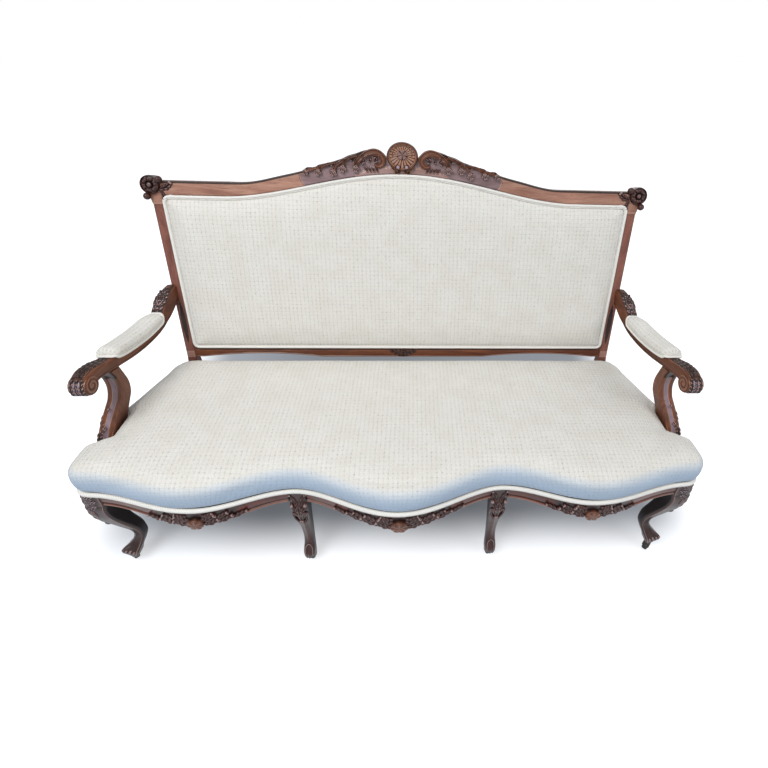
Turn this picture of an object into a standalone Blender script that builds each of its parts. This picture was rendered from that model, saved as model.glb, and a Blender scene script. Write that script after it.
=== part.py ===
"""Carved open-arm settee with a camelback crest, a serpentine seat and castors in front.

Metres, +Z up, +Y to the back, +X to the sitter's left. Sizes are named here at the top, and a
table whose name ends in shares holds shares of the sizes that it follows.
"""
import math

import bmesh
import bpy
from mathutils import Matrix, Vector

# Seat frame
rail_top = 0.352
rail_height = 0.050
rail_thickness = 0.038
front_half_width = 0.845
seat_taper = 0.111
rear_half_width = front_half_width - seat_taper
joint_gap = 0.0003

# Front line of the seat rails
centre_bow = 0.078
side_bow = 0.055
valley_line = -0.003
mid_leg_x = 0.278
lobe_x = 0.530
lobe_reach = 0.290
lobe_drop = 0.013
arch_rise = 0.006
rail_half_steps = 8

# Legs
castor_height = 0.0385
corner_block = 0.058
corner_sweep_x = 0.0345
corner_sweep_y = 0.0275
mid_block_width = 0.050
mid_block_depth = 0.050
mid_sweep = 0.012
leg_proud = 0.004
leg_corner_radius = 0.006

# Back frame, raked about the foot of its front face
back_rake = math.radians(11.84)
back_foot_y = 0.473
back_foot_z = 0.445
back_thickness = 0.030
post_width = 0.028
post_inset = 0.024
post_flare = 0.0135
post_foot_x = rear_half_width - post_inset
post_top_x = post_foot_x + post_flare
crest_joint_height = 0.500
panel_low_height = 0.033
panel_side_rise = 0.0285
panel_side_height = crest_joint_height + panel_side_rise
panel_crown = 0.0755
hump_half_width = 0.530
crest_end_rise = 0.069
crest_end_height = crest_joint_height + crest_end_rise
crest_rise = 0.102
panel_corner_radius = 0.020
opening_spans = 22
lower_rail_thickness = 0.026
lower_rail_scallop = 0.011
shell_radius = 0.042
shell_lift = 0.085
shell_height = crest_end_height + shell_lift
shell_relief = 0.015
volute_x = 0.067
volute_drop = 0.012
volute_height = shell_height - volute_drop
volute_radius = 0.026
scroll_half_width = 0.0065
scroll_relief = 0.006
finial_overhang = 0.011
finial_x = post_top_x + finial_overhang
finial_rise = 0.057
finial_height = crest_joint_height + finial_rise
finial_radius = 0.027
finial_relief = 0.013
knob_radius = 0.0115
rear_block = 0.040
rear_splay = 0.085

# Arms
arm_width = 0.050
arm_low_height = 0.575
arm_rise = 0.117
arm_top_height = arm_low_height + arm_rise
arm_lean_in = 0.026
arm_rear_overhang = 0.021
arm_corner_radius = 0.006
scroll_eye_y = 0.120
scroll_eye_rise = 0.059
scroll_eye_z = arm_low_height + scroll_eye_rise
scroll_drum_radius = 0.0235
support_width = 0.042
support_depth = 0.092
support_inset = 0.019
support_x = front_half_width - support_inset
support_y = 0.166

# Upholstery
welt_radius = 0.007
welt_overhang = 0.007
cushion_bulge = 0.011
cushion_side_height = 0.078
cushion_crown = 0.028
cushion_rear_y = 0.467
cushion_shoulder = 0.040
cushion_clearance_side = 0.017
cushion_step = support_x - support_width / 2 - cushion_clearance_side
cushion_clearance_front = 0.008
cushion_clearance_rear = 0.019
pad_crown = 0.020
pad_edge = 0.006
pad_depth = 0.012
back_welt_width = 0.0115
back_welt_relief = 0.0045
outside_back_crown = 0.006
arm_pad_height = 0.030
arm_pad_half_width = 0.0255
arm_welt_radius = 0.0035

# Hidden work inside the seat and the back
webbing_thickness = 0.002
webbing_width = 0.050
dust_cover_thickness = 0.001
spring_radius = 0.036
spring_height = 0.085
spring_cavity_inset = 0.070
spring_rear_inset = 0.086
spring_brace_gap = 0.033
brace_width = 0.036
brace_height = 0.038
glue_block_leg = 0.060
stuffing_over_springs = 0.004

# Castors
wheel_radius = 0.015
wheel_width = 0.016
wheel_side_play = 0.0006
wheel_round = 0.003
castor_trail = 0.012
axle_radius = 0.0022
axle_hole_gap = 0.0003
horn_cheek = 0.002
horn_top = 0.0028
horn_reach = 0.011
horn_boss = 0.0055
plate_radius = 0.014
plate_thickness = 0.0025
pivot_radius = 0.003
pivot_head = 0.0048
pivot_head_height = 0.0014

CUT_OVERRUN = 0.01

WALNUT = ("walnut_french_polish", (0.155, 0.052, 0.030), 0.32, 0.0)
DARK_WALNUT = ("walnut_carved_dark", (0.062, 0.026, 0.022), 0.42, 0.0)
BEECH = ("beech_seat_frame", (0.42, 0.27, 0.15), 0.6, 0.0)
CREAM = ("cream_waffle_cloth", (0.78, 0.75, 0.66), 0.9, 0.0)
CREAM_CORD = ("cream_welt_cord", (0.80, 0.78, 0.70), 0.9, 0.0)
JUTE = ("jute_webbing", (0.45, 0.33, 0.18), 0.95, 0.0)
CAMBRIC = ("black_cambric", (0.03, 0.03, 0.03), 0.95, 0.0)
SPRING_STEEL = ("spring_steel", (0.35, 0.35, 0.36), 0.4, 1.0)
BRASS = ("aged_brass", (0.32, 0.22, 0.10), 0.45, 1.0)
WHEEL_IRON = ("dark_castor_wheel", (0.05, 0.055, 0.06), 0.5, 0.0)


def clear_scene():
    for thing in list(bpy.data.objects):
        bpy.data.objects.remove(thing, do_unlink=True)


def new_collection(name):
    collection = bpy.data.collections.new(name)
    bpy.context.scene.collection.children.link(collection)
    return collection


def material_of(finish):
    name, colour, roughness, metallic = finish
    made = bpy.data.materials.get(name)
    if made is None:
        made = bpy.data.materials.new(name)
        made.use_nodes = True
        shader = made.node_tree.nodes["Principled BSDF"]
        shader.inputs["Base Color"].default_value = (*colour, 1.0)
        shader.inputs["Roughness"].default_value = roughness
        shader.inputs["Metallic"].default_value = metallic
        made.diffuse_color = (*colour, 1.0)
    return made


def place(name, data, finish, parent=None, cutter=False):
    """Links an object to the model or, as a wire, to the cutters."""
    thing = bpy.data.objects.new(name, data)
    if cutter:
        cutters.objects.link(thing)
        thing.hide_render = True
        thing.display_type = "WIRE"
    else:
        model.objects.link(thing)
        data.materials.append(material_of(finish))
    thing.parent = parent
    return thing


def mesh_from(name, points, faces):
    mesh = bpy.data.meshes.new(name)
    mesh.from_pydata([tuple(point) for point in points], [], faces)
    work = bmesh.new()
    work.from_mesh(mesh)
    bmesh.ops.recalc_face_normals(work, faces=work.faces)
    work.to_mesh(mesh)
    work.free()
    mesh.update()
    return mesh


def row_at(rows, key):
    """A smooth value for each column of a table whose first column rises."""
    i = 0
    while i < len(rows) - 2 and key > rows[i + 1][0]:
        i += 1
    low, high = rows[i], rows[i + 1]
    before = rows[max(i - 1, 0)]
    after = rows[min(i + 2, len(rows) - 1)]
    span = high[0] - low[0]
    t = (key - low[0]) / span
    values = []
    for a, b, c, d in zip(before[1:], low[1:], high[1:], after[1:]):
        leave = (c - a) / (high[0] - before[0]) * span
        arrive = (d - b) / (after[0] - low[0]) * span
        values.append(
            (2 * t**3 - 3 * t**2 + 1) * b
            + (t**3 - 2 * t**2 + t) * leave
            + (3 * t**2 - 2 * t**3) * c
            + (t**3 - t**2) * arrive
        )
    return values


def keys_of(rows, between):
    """The rows' keys, with some evenly placed between each two."""
    keys = []
    for low, high in zip(rows, rows[1:]):
        for step in range(between + 1):
            keys.append(low[0] + (high[0] - low[0]) * step / (between + 1))
    return keys + [rows[-1][0]]


def rounded_ring(half_a, half_b, radius):
    """Twelve points of a rectangle with rounded corners, three to a corner."""
    radius = min(radius, half_a, half_b)
    ring = []
    for corner in range(4):
        sign_a = 1 if corner in (0, 3) else -1
        sign_b = 1 if corner in (0, 1) else -1
        for step in range(3):
            angle = math.radians(90 * corner + 45 * step)
            ring.append((
                sign_a * (half_a - radius) + radius * math.cos(angle),
                sign_b * (half_b - radius) + radius * math.sin(angle),
            ))
    return ring


def oval_ring(half_a, half_b, count):
    turns = [math.tau * step / count for step in range(count)]
    return [(half_a * math.cos(turn), half_b * math.sin(turn)) for turn in turns]


def loft(name, rings, finish, parent=None, cutter=False):
    """A closed body through rings of equal counts, with a flat cap at each end."""
    count = len(rings[0])
    points = [point for ring in rings for point in ring]
    faces = []
    for level in range(len(rings) - 1):
        for i in range(count):
            j = (i + 1) % count
            low, high = level * count, (level + 1) * count
            faces.append((low + i, low + j, high + j, high + i))
    faces.append(tuple(range(count)))
    faces.append(tuple(range((len(rings) - 1) * count, len(rings) * count)))
    return place(name, mesh_from(name, points, faces), finish, parent, cutter)


def plate(name, outline, thickness, finish, parent=None, holes=()):
    """A flat piece of a given thickness, centred on its own XY plane."""
    curve = bpy.data.curves.new(name, "CURVE")
    curve.dimensions = "2D"
    curve.fill_mode = "BOTH"
    curve.extrude = thickness / 2
    for loop in (outline, *holes):
        spline = curve.splines.new("POLY")
        spline.points.add(len(loop) - 1)
        for point, (x, y) in zip(spline.points, loop):
            point.co = (x, y, 0.0, 1.0)
        spline.use_cyclic_u = True
    return place(name, curve, finish, parent)


def tube(name, path, radius, finish, parent=None, cyclic=False, sides=1):
    """A round cord along a path."""
    curve = bpy.data.curves.new(name, "CURVE")
    curve.dimensions = "3D"
    curve.fill_mode = "FULL"
    curve.bevel_depth = radius
    curve.bevel_resolution = sides
    curve.use_fill_caps = True
    spline = curve.splines.new("POLY")
    spline.points.add(len(path) - 1)
    for point, place_at in zip(spline.points, path):
        point.co = (*place_at, 1.0)
    spline.use_cyclic_u = cyclic
    return place(name, curve, finish, parent)


def turned(name, profile, segments, finish, parent=None, closed=False, cutter=False):
    """A profile in the XZ plane, outer side top to bottom, turned about Z."""
    mesh = bpy.data.meshes.new(name)
    count = len(profile)
    edges = [(i, i + 1) for i in range(count - 1)]
    if closed:
        edges.append((count - 1, 0))
    mesh.from_pydata([(x, 0.0, z) for x, z in profile], edges, [])
    thing = place(name, mesh, finish, parent, cutter)
    screw = thing.modifiers.new("turn", "SCREW")
    screw.axis = "Z"
    screw.steps = segments
    screw.render_steps = segments
    screw.use_merge_vertices = True
    screw.merge_threshold = joint_gap / 30
    return thing


def box_mesh(name, low, high):
    mesh = bpy.data.meshes.new(name)
    work = bmesh.new()
    bmesh.ops.create_cube(work, size=1.0)
    size = [b - a for a, b in zip(low, high)]
    middle = [(a + b) / 2 for a, b in zip(low, high)]
    bmesh.ops.transform(
        work, matrix=Matrix.Translation(middle) @ Matrix.Diagonal((*size, 1.0)), verts=work.verts
    )
    work.to_mesh(mesh)
    work.free()
    return mesh


def box(name, low, high, finish=None, parent=None, cutter=False):
    return place(name, box_mesh(name, low, high), finish, parent, cutter)


def rod(name, radius, start, end, segments, finish=None, parent=None, cutter=False):
    """A round bar between two points."""
    start, end = Vector(start), Vector(end)
    along = end - start
    mesh = bpy.data.meshes.new(name)
    work = bmesh.new()
    bmesh.ops.create_cone(
        work, cap_ends=True, segments=segments, radius1=radius, radius2=radius, depth=along.length
    )
    turn = Vector((0, 0, 1)).rotation_difference(along).to_matrix().to_4x4()
    bmesh.ops.transform(
        work, matrix=Matrix.Translation((start + end) / 2) @ turn, verts=work.verts
    )
    work.to_mesh(mesh)
    work.free()
    return place(name, mesh, finish, parent, cutter)


def ball(name, radius, centre, parent=None):
    mesh = bpy.data.meshes.new(name)
    work = bmesh.new()
    bmesh.ops.create_uvsphere(work, u_segments=10, v_segments=6, radius=radius)
    bmesh.ops.translate(work, vec=Vector(centre), verts=work.verts)
    work.to_mesh(mesh)
    work.free()
    return place(name, mesh, None, parent, cutter=True)


def combine(thing, other, operation):
    modifier = thing.modifiers.new(operation.lower(), "BOOLEAN")
    modifier.operation = operation
    modifier.object = other
    modifier.solver = "EXACT"


def empty(name, location, parent=None):
    thing = bpy.data.objects.new(name, None)
    model.objects.link(thing)
    thing.parent = parent
    thing.location = location
    return thing


def side_name(stem, side):
    return f"{stem}_{'right' if side > 0 else 'left'}"


# Lines that many pieces share


def front_line(x):
    """The front face of the seat rails at a distance from the middle."""
    x = abs(x)
    if x < mid_leg_x:
        wave = 0.5 + 0.5 * math.cos(math.pi * x / mid_leg_x)
        return valley_line - centre_bow * wave**0.85
    reach = lobe_x - mid_leg_x if x < lobe_x else lobe_reach
    return valley_line - side_bow * lobe_wave(x, reach)


def lobe_wave(x, reach):
    away = min(abs(x - lobe_x) / reach, 1.0)
    return 0.5 + 0.5 * math.cos(math.pi * away)


side_line_shares = (
    (0.0, 0.0), (0.10, 0.0), (0.22, 0.07), (0.44, 0.33), (0.66, 0.63), (0.83, 0.86), (1.0, 1.0),
)


def side_line(y):
    """The outer face of a side rail at a distance from the front."""
    start = corner_block - leg_proud
    share = (y - start) / (back_foot_y - joint_gap - start)
    inset = row_at(side_line_shares, min(max(share, 0.0), 1.0))[0]
    return front_half_width - inset * (front_half_width - rear_half_width)


def rail_foot(x):
    """The lower front edge of the front rail, with a drop at each bow and an arch beside it."""
    x = abs(x)
    if x < mid_leg_x:
        wave = 0.5 + 0.5 * math.cos(math.pi * x / mid_leg_x)
    else:
        wave = lobe_wave(x, lobe_x - mid_leg_x if x < lobe_x else lobe_reach)
    return rail_top - rail_height + arch_rise - (arch_rise + lobe_drop) * wave**1.5


def post_x(height):
    """The middle of a back post at a height in the plane of the back."""
    return post_foot_x + (post_top_x - post_foot_x) * height / crest_joint_height


def back_point(x, depth, height):
    """A point of the raked back, as world coordinates before the shift to the middle."""
    return Vector((
        x,
        back_foot_y + depth * math.cos(back_rake) + height * math.sin(back_rake),
        back_foot_z - depth * math.sin(back_rake) + height * math.cos(back_rake),
    ))


def back_face_y(z):
    return back_foot_y + (z - back_foot_z) * math.tan(back_rake)


def panel_top(x):
    """The camelback lower edge of the crest."""
    share = min(abs(x) / hump_half_width, 1.0)
    return panel_side_height + panel_crown * (0.5 + 0.5 * math.cos(math.pi * share)) ** 0.9


# Legs

corner_leg_shares = (
    (0.0, 0.18, 0.66), (0.053, 0.27, 0.74), (0.116, 0.65, 0.62), (0.196, 0.97, 0.56),
    (0.26, 1.0, 0.58), (0.349, 0.886, 0.65), (0.451, 0.596, 0.74), (0.563, 0.275, 0.84),
    (0.675, 0.015, 0.92), (0.786, -0.07, 0.97), (0.85, 0.0, 1.0), (1.0, 0.0, 1.0),
)
mid_leg_shares = (
    (0.0, -0.55, 0.66, 0.68), (0.07, -0.5, 0.68, 0.70), (0.16, 0.55, 0.58, 0.62),
    (0.26, 1.0, 0.57, 0.62), (0.42, 0.75, 0.66, 0.71), (0.58, 0.1, 0.80, 0.84),
    (0.74, -0.45, 0.96, 0.96), (0.83, -0.35, 1.0, 1.0), (0.86, 0.0, 1.0, 1.0), (1.0, 0.0, 1.0, 1.0),
)


def leg_height(share):
    return castor_height + share * (rail_top - castor_height)


def corner_leg_centre():
    return front_half_width - corner_block / 2, corner_block / 2 - leg_proud


def corner_leg(side):
    block_x, block_y = corner_leg_centre()
    rings = []
    for share, sweep, half in corner_leg_shares:
        x = block_x - sweep * corner_sweep_x
        y = block_y + sweep * corner_sweep_y
        size = half * corner_block / 2
        ring = rounded_ring(size, size, leg_corner_radius)
        rings.append([Vector((side * (x + a), y + b, leg_height(share))) for a, b in ring])
    return loft(side_name("corner_leg", side), rings, WALNUT, root)


def mid_leg_centre():
    return mid_leg_x, valley_line - leg_proud + mid_block_depth / 2


def mid_leg(side):
    block_x, block_y = mid_leg_centre()
    rings = []
    for share, sweep, half_x, half_y in mid_leg_shares:
        y = block_y + sweep * mid_sweep
        ring = rounded_ring(
            half_x * mid_block_width / 2, half_y * mid_block_depth / 2, leg_corner_radius
        )
        rings.append([Vector((side * (block_x + a), y + b, leg_height(share))) for a, b in ring])
    return loft(side_name("mid_leg", side), rings, WALNUT, root)


def rail_seat_y():
    """Where a side rail stops in front of the rear post."""
    return back_foot_y - joint_gap


rear_leg_shares = (
    (0.0, 1.0, 0.80, 0.85), (0.28, 0.60, 0.84, 0.95), (0.62, 0.19, 0.92, 1.0),
    (0.85, 0.0, 1.0, 1.0), (1.0, 0.0, 1.0, 1.0),
)


def rear_post(side):
    """The rear leg, the block that takes the rails, and the raked post, in one stick."""
    half = rear_block / 2
    block_x = rear_half_width - half
    block_y = back_foot_y + half
    rings = []
    for share, splay, half_x, half_y in rear_leg_shares:
        ring = rounded_ring(half_x * half, half_y * half, leg_corner_radius / 2)
        z = share * rail_top
        rings.append([
            Vector((side * (block_x + a), block_y + splay * rear_splay + b, z)) for a, b in ring
        ])
    neck = rounded_ring(
        (half + post_width / 2) / 2, (half + back_thickness / 2) / 2, leg_corner_radius / 2
    )
    neck_z = (rail_top + back_foot_z) / 2
    neck_x = (block_x + post_foot_x) / 2
    neck_y = back_foot_y + half * 0.9
    rings.append([Vector((side * (neck_x + a), neck_y + b, neck_z)) for a, b in neck])
    section = rounded_ring(post_width / 2, back_thickness / 2, leg_corner_radius / 2)
    for share in (0.0, 0.25, 0.5, 0.75, 1.0):
        height = share * (crest_joint_height - joint_gap)
        rings.append([
            back_point(side * (post_x(height) + a), back_thickness / 2 + b, height)
            for a, b in section
        ])
    return loft(side_name("rear_post", side), rings, WALNUT, root)


# Seat rails

rail_ledge_share = 0.45
rail_bead_share = 0.09


def rail_stations(start, middle, end):
    """Places along a rail, as many on each side of its bow."""
    half = rail_half_steps
    before = [start + (middle - start) * i / half for i in range(half)]
    return before + [middle + (end - middle) * i / half for i in range(half + 1)]


def front_rail(name, stations):
    """A serpentine rail with a flat top, a flat ledge behind for the webbing and a shaped foot."""
    ledge = rail_thickness * rail_ledge_share
    bead = rail_thickness * rail_bead_share
    foot = rail_top - rail_height
    rings = []
    for x in stations:
        front = front_line(x)
        low = rail_foot(x)
        profile = (
            (front, rail_top), (front, low + 3 * bead), (front - bead, low + 2 * bead),
            (front - bead, low + bead), (front, low), (front + ledge, low),
            (front + ledge + bead, foot), (front + rail_thickness, foot),
            (front + rail_thickness, rail_top),
        )
        rings.append([Vector((x, y, z)) for y, z in profile])
    return loft(name, rings, WALNUT, root)


def side_rail_rows():
    """Stations of a side rail, as (y, outer x)."""
    start = corner_block - leg_proud + joint_gap
    end = rail_seat_y()
    steps = 10
    rows = []
    for i in range(steps + 1):
        y = start + (end - start) * i / steps
        rows.append((y, side_line(y) - leg_proud * (1 - i / steps)))
    return rows


def side_rail(side):
    low = rail_top - rail_height
    rings = []
    for y, outer in side_rail_rows():
        inner = outer - rail_thickness
        profile = ((outer, rail_top), (outer, low), (inner, low), (inner, rail_top))
        rings.append([Vector((side * x, y, z)) for x, z in profile])
    return loft(side_name("side_rail", side), rings, WALNUT, root)


def rear_rail_front():
    return cushion_rear_y - rail_thickness * 0.3


def rear_rail():
    reach = rear_half_width - rear_block - joint_gap
    front = rear_rail_front()
    return box(
        "rear_seat_rail", (-reach, front, rail_top - rail_height),
        (reach, front + rail_thickness, rail_top), BEECH, root,
    )


def brace(side):
    """A bar across the seat, from the back of a mid leg to the rear rail."""
    x, y = mid_leg_centre()
    start = y + mid_block_depth / 2 + joint_gap
    low = rail_top - rail_height
    inner, outer = sorted((side * (x - brace_width / 2), side * (x + brace_width / 2)))
    return box(
        side_name("seat_brace", side), (inner, start, low),
        (outer, rear_rail_front() - joint_gap, low + brace_height), BEECH, root,
    )


def glue_block(side):
    """A block in the corner of the rear rail and the side rail, cut to the side rail's curve."""
    low = rail_top - rail_height + webbing_thickness
    high = rail_top - webbing_thickness
    rear = rear_rail_front() - joint_gap
    front = rear - glue_block_leg
    rows = [(x - rail_thickness - joint_gap, y) for y, x in side_rail_rows()]
    curve = [(x, y) for x, y in rows if front < y < rear]
    for edge in (front, rear):
        for (x0, y0), (x1, y1) in zip(rows, rows[1:]):
            if y0 <= edge < y1:
                curve.append((x0 + (x1 - x0) * (edge - y0) / (y1 - y0), edge))
    curve.sort(key=lambda point: point[1])
    corners = curve + [(curve[-1][0] - glue_block_leg, rear)]
    rings = [[Vector((side * x, y, z)) for x, y in corners] for z in (low, high)]
    return loft(side_name("glue_block", side), rings, BEECH, root)


# Carved sprays on the front rail

leaf_height_shares = (1.0, 0.55, 0.72, 0.15)
leaf_section_shares = ((-1.0, 0.0), (1.0, 0.0), (0.7, 0.7), (0.0, 1.0), (-0.7, 0.7))
leaf_half_height = 0.0165
leaf_relief = 0.0045


def rail_leaf(name, stations):
    """A raised leaf spray along the foot of a bow, flat on the rail's bead."""
    bead = rail_thickness * rail_bead_share
    reach = len(leaf_height_shares) - 1
    rings = []
    for step in range(-reach, reach + 1):
        x = stations[rail_half_steps + step]
        share = leaf_height_shares[abs(step)]
        y = front_line(x) - bead - joint_gap
        z = rail_foot(x) + leaf_half_height * 0.9
        rings.append([
            Vector((x, y - b * leaf_relief * (0.4 + 0.6 * share), z + a * share * leaf_half_height))
            for a, b in leaf_section_shares
        ])
    return loft(name, rings, DARK_WALNUT, root)


# Back frame


def arc(centre, radius, start, end, steps):
    """Points on an arc, angles in degrees."""
    made = []
    for i in range(steps + 1):
        angle = math.radians(start + (end - start) * i / steps)
        made.append((centre[0] + radius * math.cos(angle), centre[1] + radius * math.sin(angle)))
    return made


crest_top_shares = (
    (0.085, 0.80), (0.108, 0.91), (0.136, 0.98), (0.170, 1.0), (0.215, 0.96), (0.258, 0.88),
    (0.34, 0.72), (0.566, 0.353), (0.679, 0.211), (0.849, 0.02), (1.0, 0.0), (1.4, 0.0),
)


def crest_top(x):
    """The upper edge of the crest, outside the shell."""
    return crest_end_height + crest_rise * row_at(crest_top_shares, abs(x) / hump_half_width)[0]


def crest_rail():
    """One plank: camelback lower edge, scrolled upper edge, ends turned down to the posts."""
    joint = crest_joint_height
    outer = post_x(joint) + post_width / 2
    inner = post_x(joint) - post_width / 2
    boss = finial_radius * 0.93
    right = [(outer, joint)]
    right += arc((finial_x, finial_height), boss, -60, 150, 9)
    end = finial_x - boss
    for i in range(1, 9):
        x = end + (hump_half_width * 0.85 - end) * i / 8
        right.append((x, crest_top(x)))
    for share, rise in reversed(crest_top_shares[:9]):
        right.append((share * hump_half_width, crest_end_height + crest_rise * rise))
    lobe = arc((0.0, shell_height), shell_radius * 0.93, 0, 90, 6)
    right += lobe[:-1]
    corner = (inner - panel_corner_radius, panel_side_height - panel_corner_radius)
    lower = [(inner, joint)] + arc(corner, panel_corner_radius, 0, 90, 4)
    steps = opening_spans // 2
    for i in range(1, steps):
        x = opening_corner() * (1 - i / steps)
        lower.append((x, panel_top(x)))
    outline = right + [lobe[-1]] + [(-x, z) for x, z in reversed(right)]
    outline += [(-x, z) for x, z in lower] + [(0.0, panel_top(0.0))] + list(reversed(lower))
    thing = plate("crest_rail", outline, back_thickness, WALNUT, back_frame)
    stand_in_back(thing, back_thickness / 2)
    return thing


def stand_in_back(thing, depth):
    """Turns a plate upright into the plane of the back, at a depth behind its front face."""
    thing.rotation_euler = (math.radians(90), 0.0, 0.0)
    thing.location = (0.0, depth, 0.0)


def lower_rail_foot(x, reach):
    """The scalloped lower edge: a boss in the middle and a long arch on each side."""
    share = abs(x) / reach
    if share < 0.06:
        return 0.0
    arch = math.sin(math.pi * min((share - 0.06) / 0.80, 1.0))
    return lower_rail_scallop * max(arch, 0.0) ** 0.6


def lower_back_rail():
    foot_in = post_x(0.0) - post_width / 2 - joint_gap
    top = panel_low_height + panel_corner_radius
    top_in = post_x(top) - post_width / 2 - joint_gap
    steps = 24
    foot = []
    for i in range(steps + 1):
        x = foot_in * i / steps
        foot.append((x, lower_rail_foot(x, foot_in)))
    corner = (top_in - panel_corner_radius, top)
    upper = arc(corner, panel_corner_radius, 0, -90, 4)
    outline = foot + upper
    outline += [(-x, z) for x, z in reversed(upper)]
    outline += [(-x, z) for x, z in reversed(foot[1:])]
    thing = plate("lower_back_rail", outline, lower_rail_thickness, WALNUT, back_frame)
    stand_in_back(thing, back_thickness / 2)
    return thing


def crest_shell():
    """A round shell: a raised rim, a dished face and a domed heart."""
    radius, relief = shell_radius, shell_relief
    profile = (
        (0.0, relief), (radius * 0.22, relief * 0.93), (radius * 0.34, relief * 0.62),
        (radius * 0.74, relief * 0.55), (radius * 0.82, relief * 0.80), (radius * 0.93, relief * 0.80),
        (radius, relief * 0.5), (radius, 0.0), (0.0, 0.0),
    )
    thing = turned("crest_shell", profile, 24, DARK_WALNUT, back_frame)
    thing.rotation_euler = (math.radians(90), 0.0, 0.0)
    thing.location = (0.0, -joint_gap, shell_height)
    return thing


crest_scroll_shares = (
    (0.00, 0.35, -0.36, 0.5), (0.10, 0.10, -0.77, 0.9), (0.22, -0.42, -0.62, 1.0),
    (0.36, -0.65, -0.05, 1.0), (0.52, -0.35, 0.58, 1.0), (0.66, 0.40, 0.86, 1.0),
    (0.80, 1.40, 0.62, 1.0), (0.90, 2.08, 0.10, 1.3), (1.00, 2.72, -0.64, 0.4),
)


def crest_scroll(side):
    """A raised C-scroll, from the eye beside the shell over to its leaf, on the crest's face."""
    stations = 20
    table = [row_at(crest_scroll_shares, i / stations) for i in range(stations + 1)]
    path = [
        (volute_x + across * volute_radius, volute_height + up * volute_radius)
        for across, up, width in table
    ]
    rings = []
    for i in range(stations + 1):
        before, after = path[max(i - 1, 0)], path[min(i + 1, stations)]
        along = Vector((after[0] - before[0], after[1] - before[1])).normalized()
        depth = scroll_relief / 2
        ring = []
        for a, b in oval_ring(table[i][2] * scroll_half_width, depth, 6):
            x = path[i][0] - along.y * a
            z = path[i][1] + along.x * a
            ring.append(Vector((side * x, b - depth - joint_gap, z)))
        rings.append(ring)
    return loft(side_name("crest_scroll", side), rings, DARK_WALNUT, back_frame)


def finial(side):
    """A round rosette facing front, with a ball on top and one at the side."""
    radius, relief = finial_radius, finial_relief
    profile = (
        (0.0, relief), (radius * 0.28, relief * 0.92), (radius * 0.42, relief * 0.62),
        (radius * 0.78, relief * 0.80), (radius, relief * 0.45), (radius, 0.0), (0.0, 0.0),
    )
    name = side_name("finial", side)
    thing = turned(name, profile, 20, DARK_WALNUT, back_frame)
    thing.rotation_euler = (math.radians(90), 0.0, 0.0)
    thing.location = (side * finial_x, -joint_gap, finial_height)
    reach = radius + knob_radius * 0.65
    for label, angle in (("top", 152), ("side", -72)):
        turn = math.radians(angle)
        knob = ball(
            f"{name}_{label}_ball", knob_radius,
            (
                side * (finial_x + reach * math.cos(turn)),
                -knob_radius - joint_gap,
                finial_height + reach * math.sin(turn),
            ),
            back_frame,
        )
        combine(thing, knob, "UNION")
    return thing


# Arms

arm_rows_shares = (
    (0.000, 1.000, 0.641, 0.359, 0.84), (0.045, 1.000, 0.701, 0.316, 0.88),
    (0.100, 1.000, 0.675, 0.308, 0.90), (0.145, 0.986, 0.624, 0.291, 0.90),
    (0.200, 0.971, 0.556, 0.256, 0.90), (0.240, 0.957, 0.504, 0.231, 0.90),
    (0.322, 0.899, 0.436, 0.171, 0.90), (0.424, 0.826, 0.350, 0.077, 0.90),
    (0.590, 0.710, 0.274, 0.000, 0.88), (0.735, 0.565, 0.291, 0.017, 0.84),
    (0.808, 0.449, 0.359, 0.094, 0.80), (0.848, 0.377, 0.573, 0.171, 0.78),
    (0.894, 0.246, 0.795, 0.282, 0.72), (0.952, 0.101, 0.949, 0.453, 0.66),
    (1.000, 0.000, 1.000, 0.556, 0.62),
)
arm_landing_shares = (0.145, 0.424)
arm_front_y = 0.104
arm_rear_y = 0.520


def arm_y(share):
    return arm_front_y + share * (arm_rear_y - arm_front_y)


def arm_share(y):
    return (y - arm_front_y) / (arm_rear_y - arm_front_y)


def arm_row(share):
    """Middle, top, underside and width of the arm; the underside is straight over the support."""
    inward, top, foot, width = row_at(arm_rows_shares, share)
    start, end = arm_landing_shares
    if start < share < end:
        low, high = row_at(arm_rows_shares, start)[2], row_at(arm_rows_shares, end)[2]
        foot = low + (high - low) * (share - start) / (end - start)
    rear_x = post_foot_x + arm_rear_overhang
    front_x = support_x - arm_lean_in
    tall = arm_top_height - arm_low_height
    return [
        rear_x + inward * (front_x - rear_x), arm_low_height + top * tall,
        arm_low_height + foot * tall, width * arm_width,
    ]


def arm_stations():
    return keys_of(arm_rows_shares, 0)


def arm_at(y):
    """Middle, top and underside of the arm as built, straight between its stations."""
    share = arm_share(y)
    stations = arm_stations()
    i = 0
    while i < len(stations) - 2 and share > stations[i + 1]:
        i += 1
    low, high = stations[i], stations[i + 1]
    t = (share - low) / (high - low)
    return [a + (b - a) * t for a, b in zip(arm_row(low), arm_row(high))]


def arm(side):
    """The arm rail: fixed to the post, dipped under the pad, with a scroll at its front."""
    rings = []
    for share in arm_stations():
        x, high, low, width = arm_row(share)
        half_width = width / 2
        half_height = (high - low) / 2
        ring = []
        for a, b in rounded_ring(half_width, half_height, arm_corner_radius):
            z = (high + low) / 2 + b
            y = arm_y(share)
            if share == 1.0:
                y = back_face_y(z) - joint_gap
            ring.append(Vector((side * (x + a), y, z)))
        rings.append(ring)
    thing = loft(side_name("arm", side), rings, WALNUT, root)
    x = arm_at(scroll_eye_y)[0]
    drum = rod(
        side_name("arm_scroll_drum", side), scroll_drum_radius,
        (side * (x - arm_width * 0.47), scroll_eye_y, scroll_eye_z),
        (side * (x + arm_width * 0.47), scroll_eye_y, scroll_eye_z), 16, parent=root, cutter=True,
    )
    combine(thing, drum, "UNION")
    return thing


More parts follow.
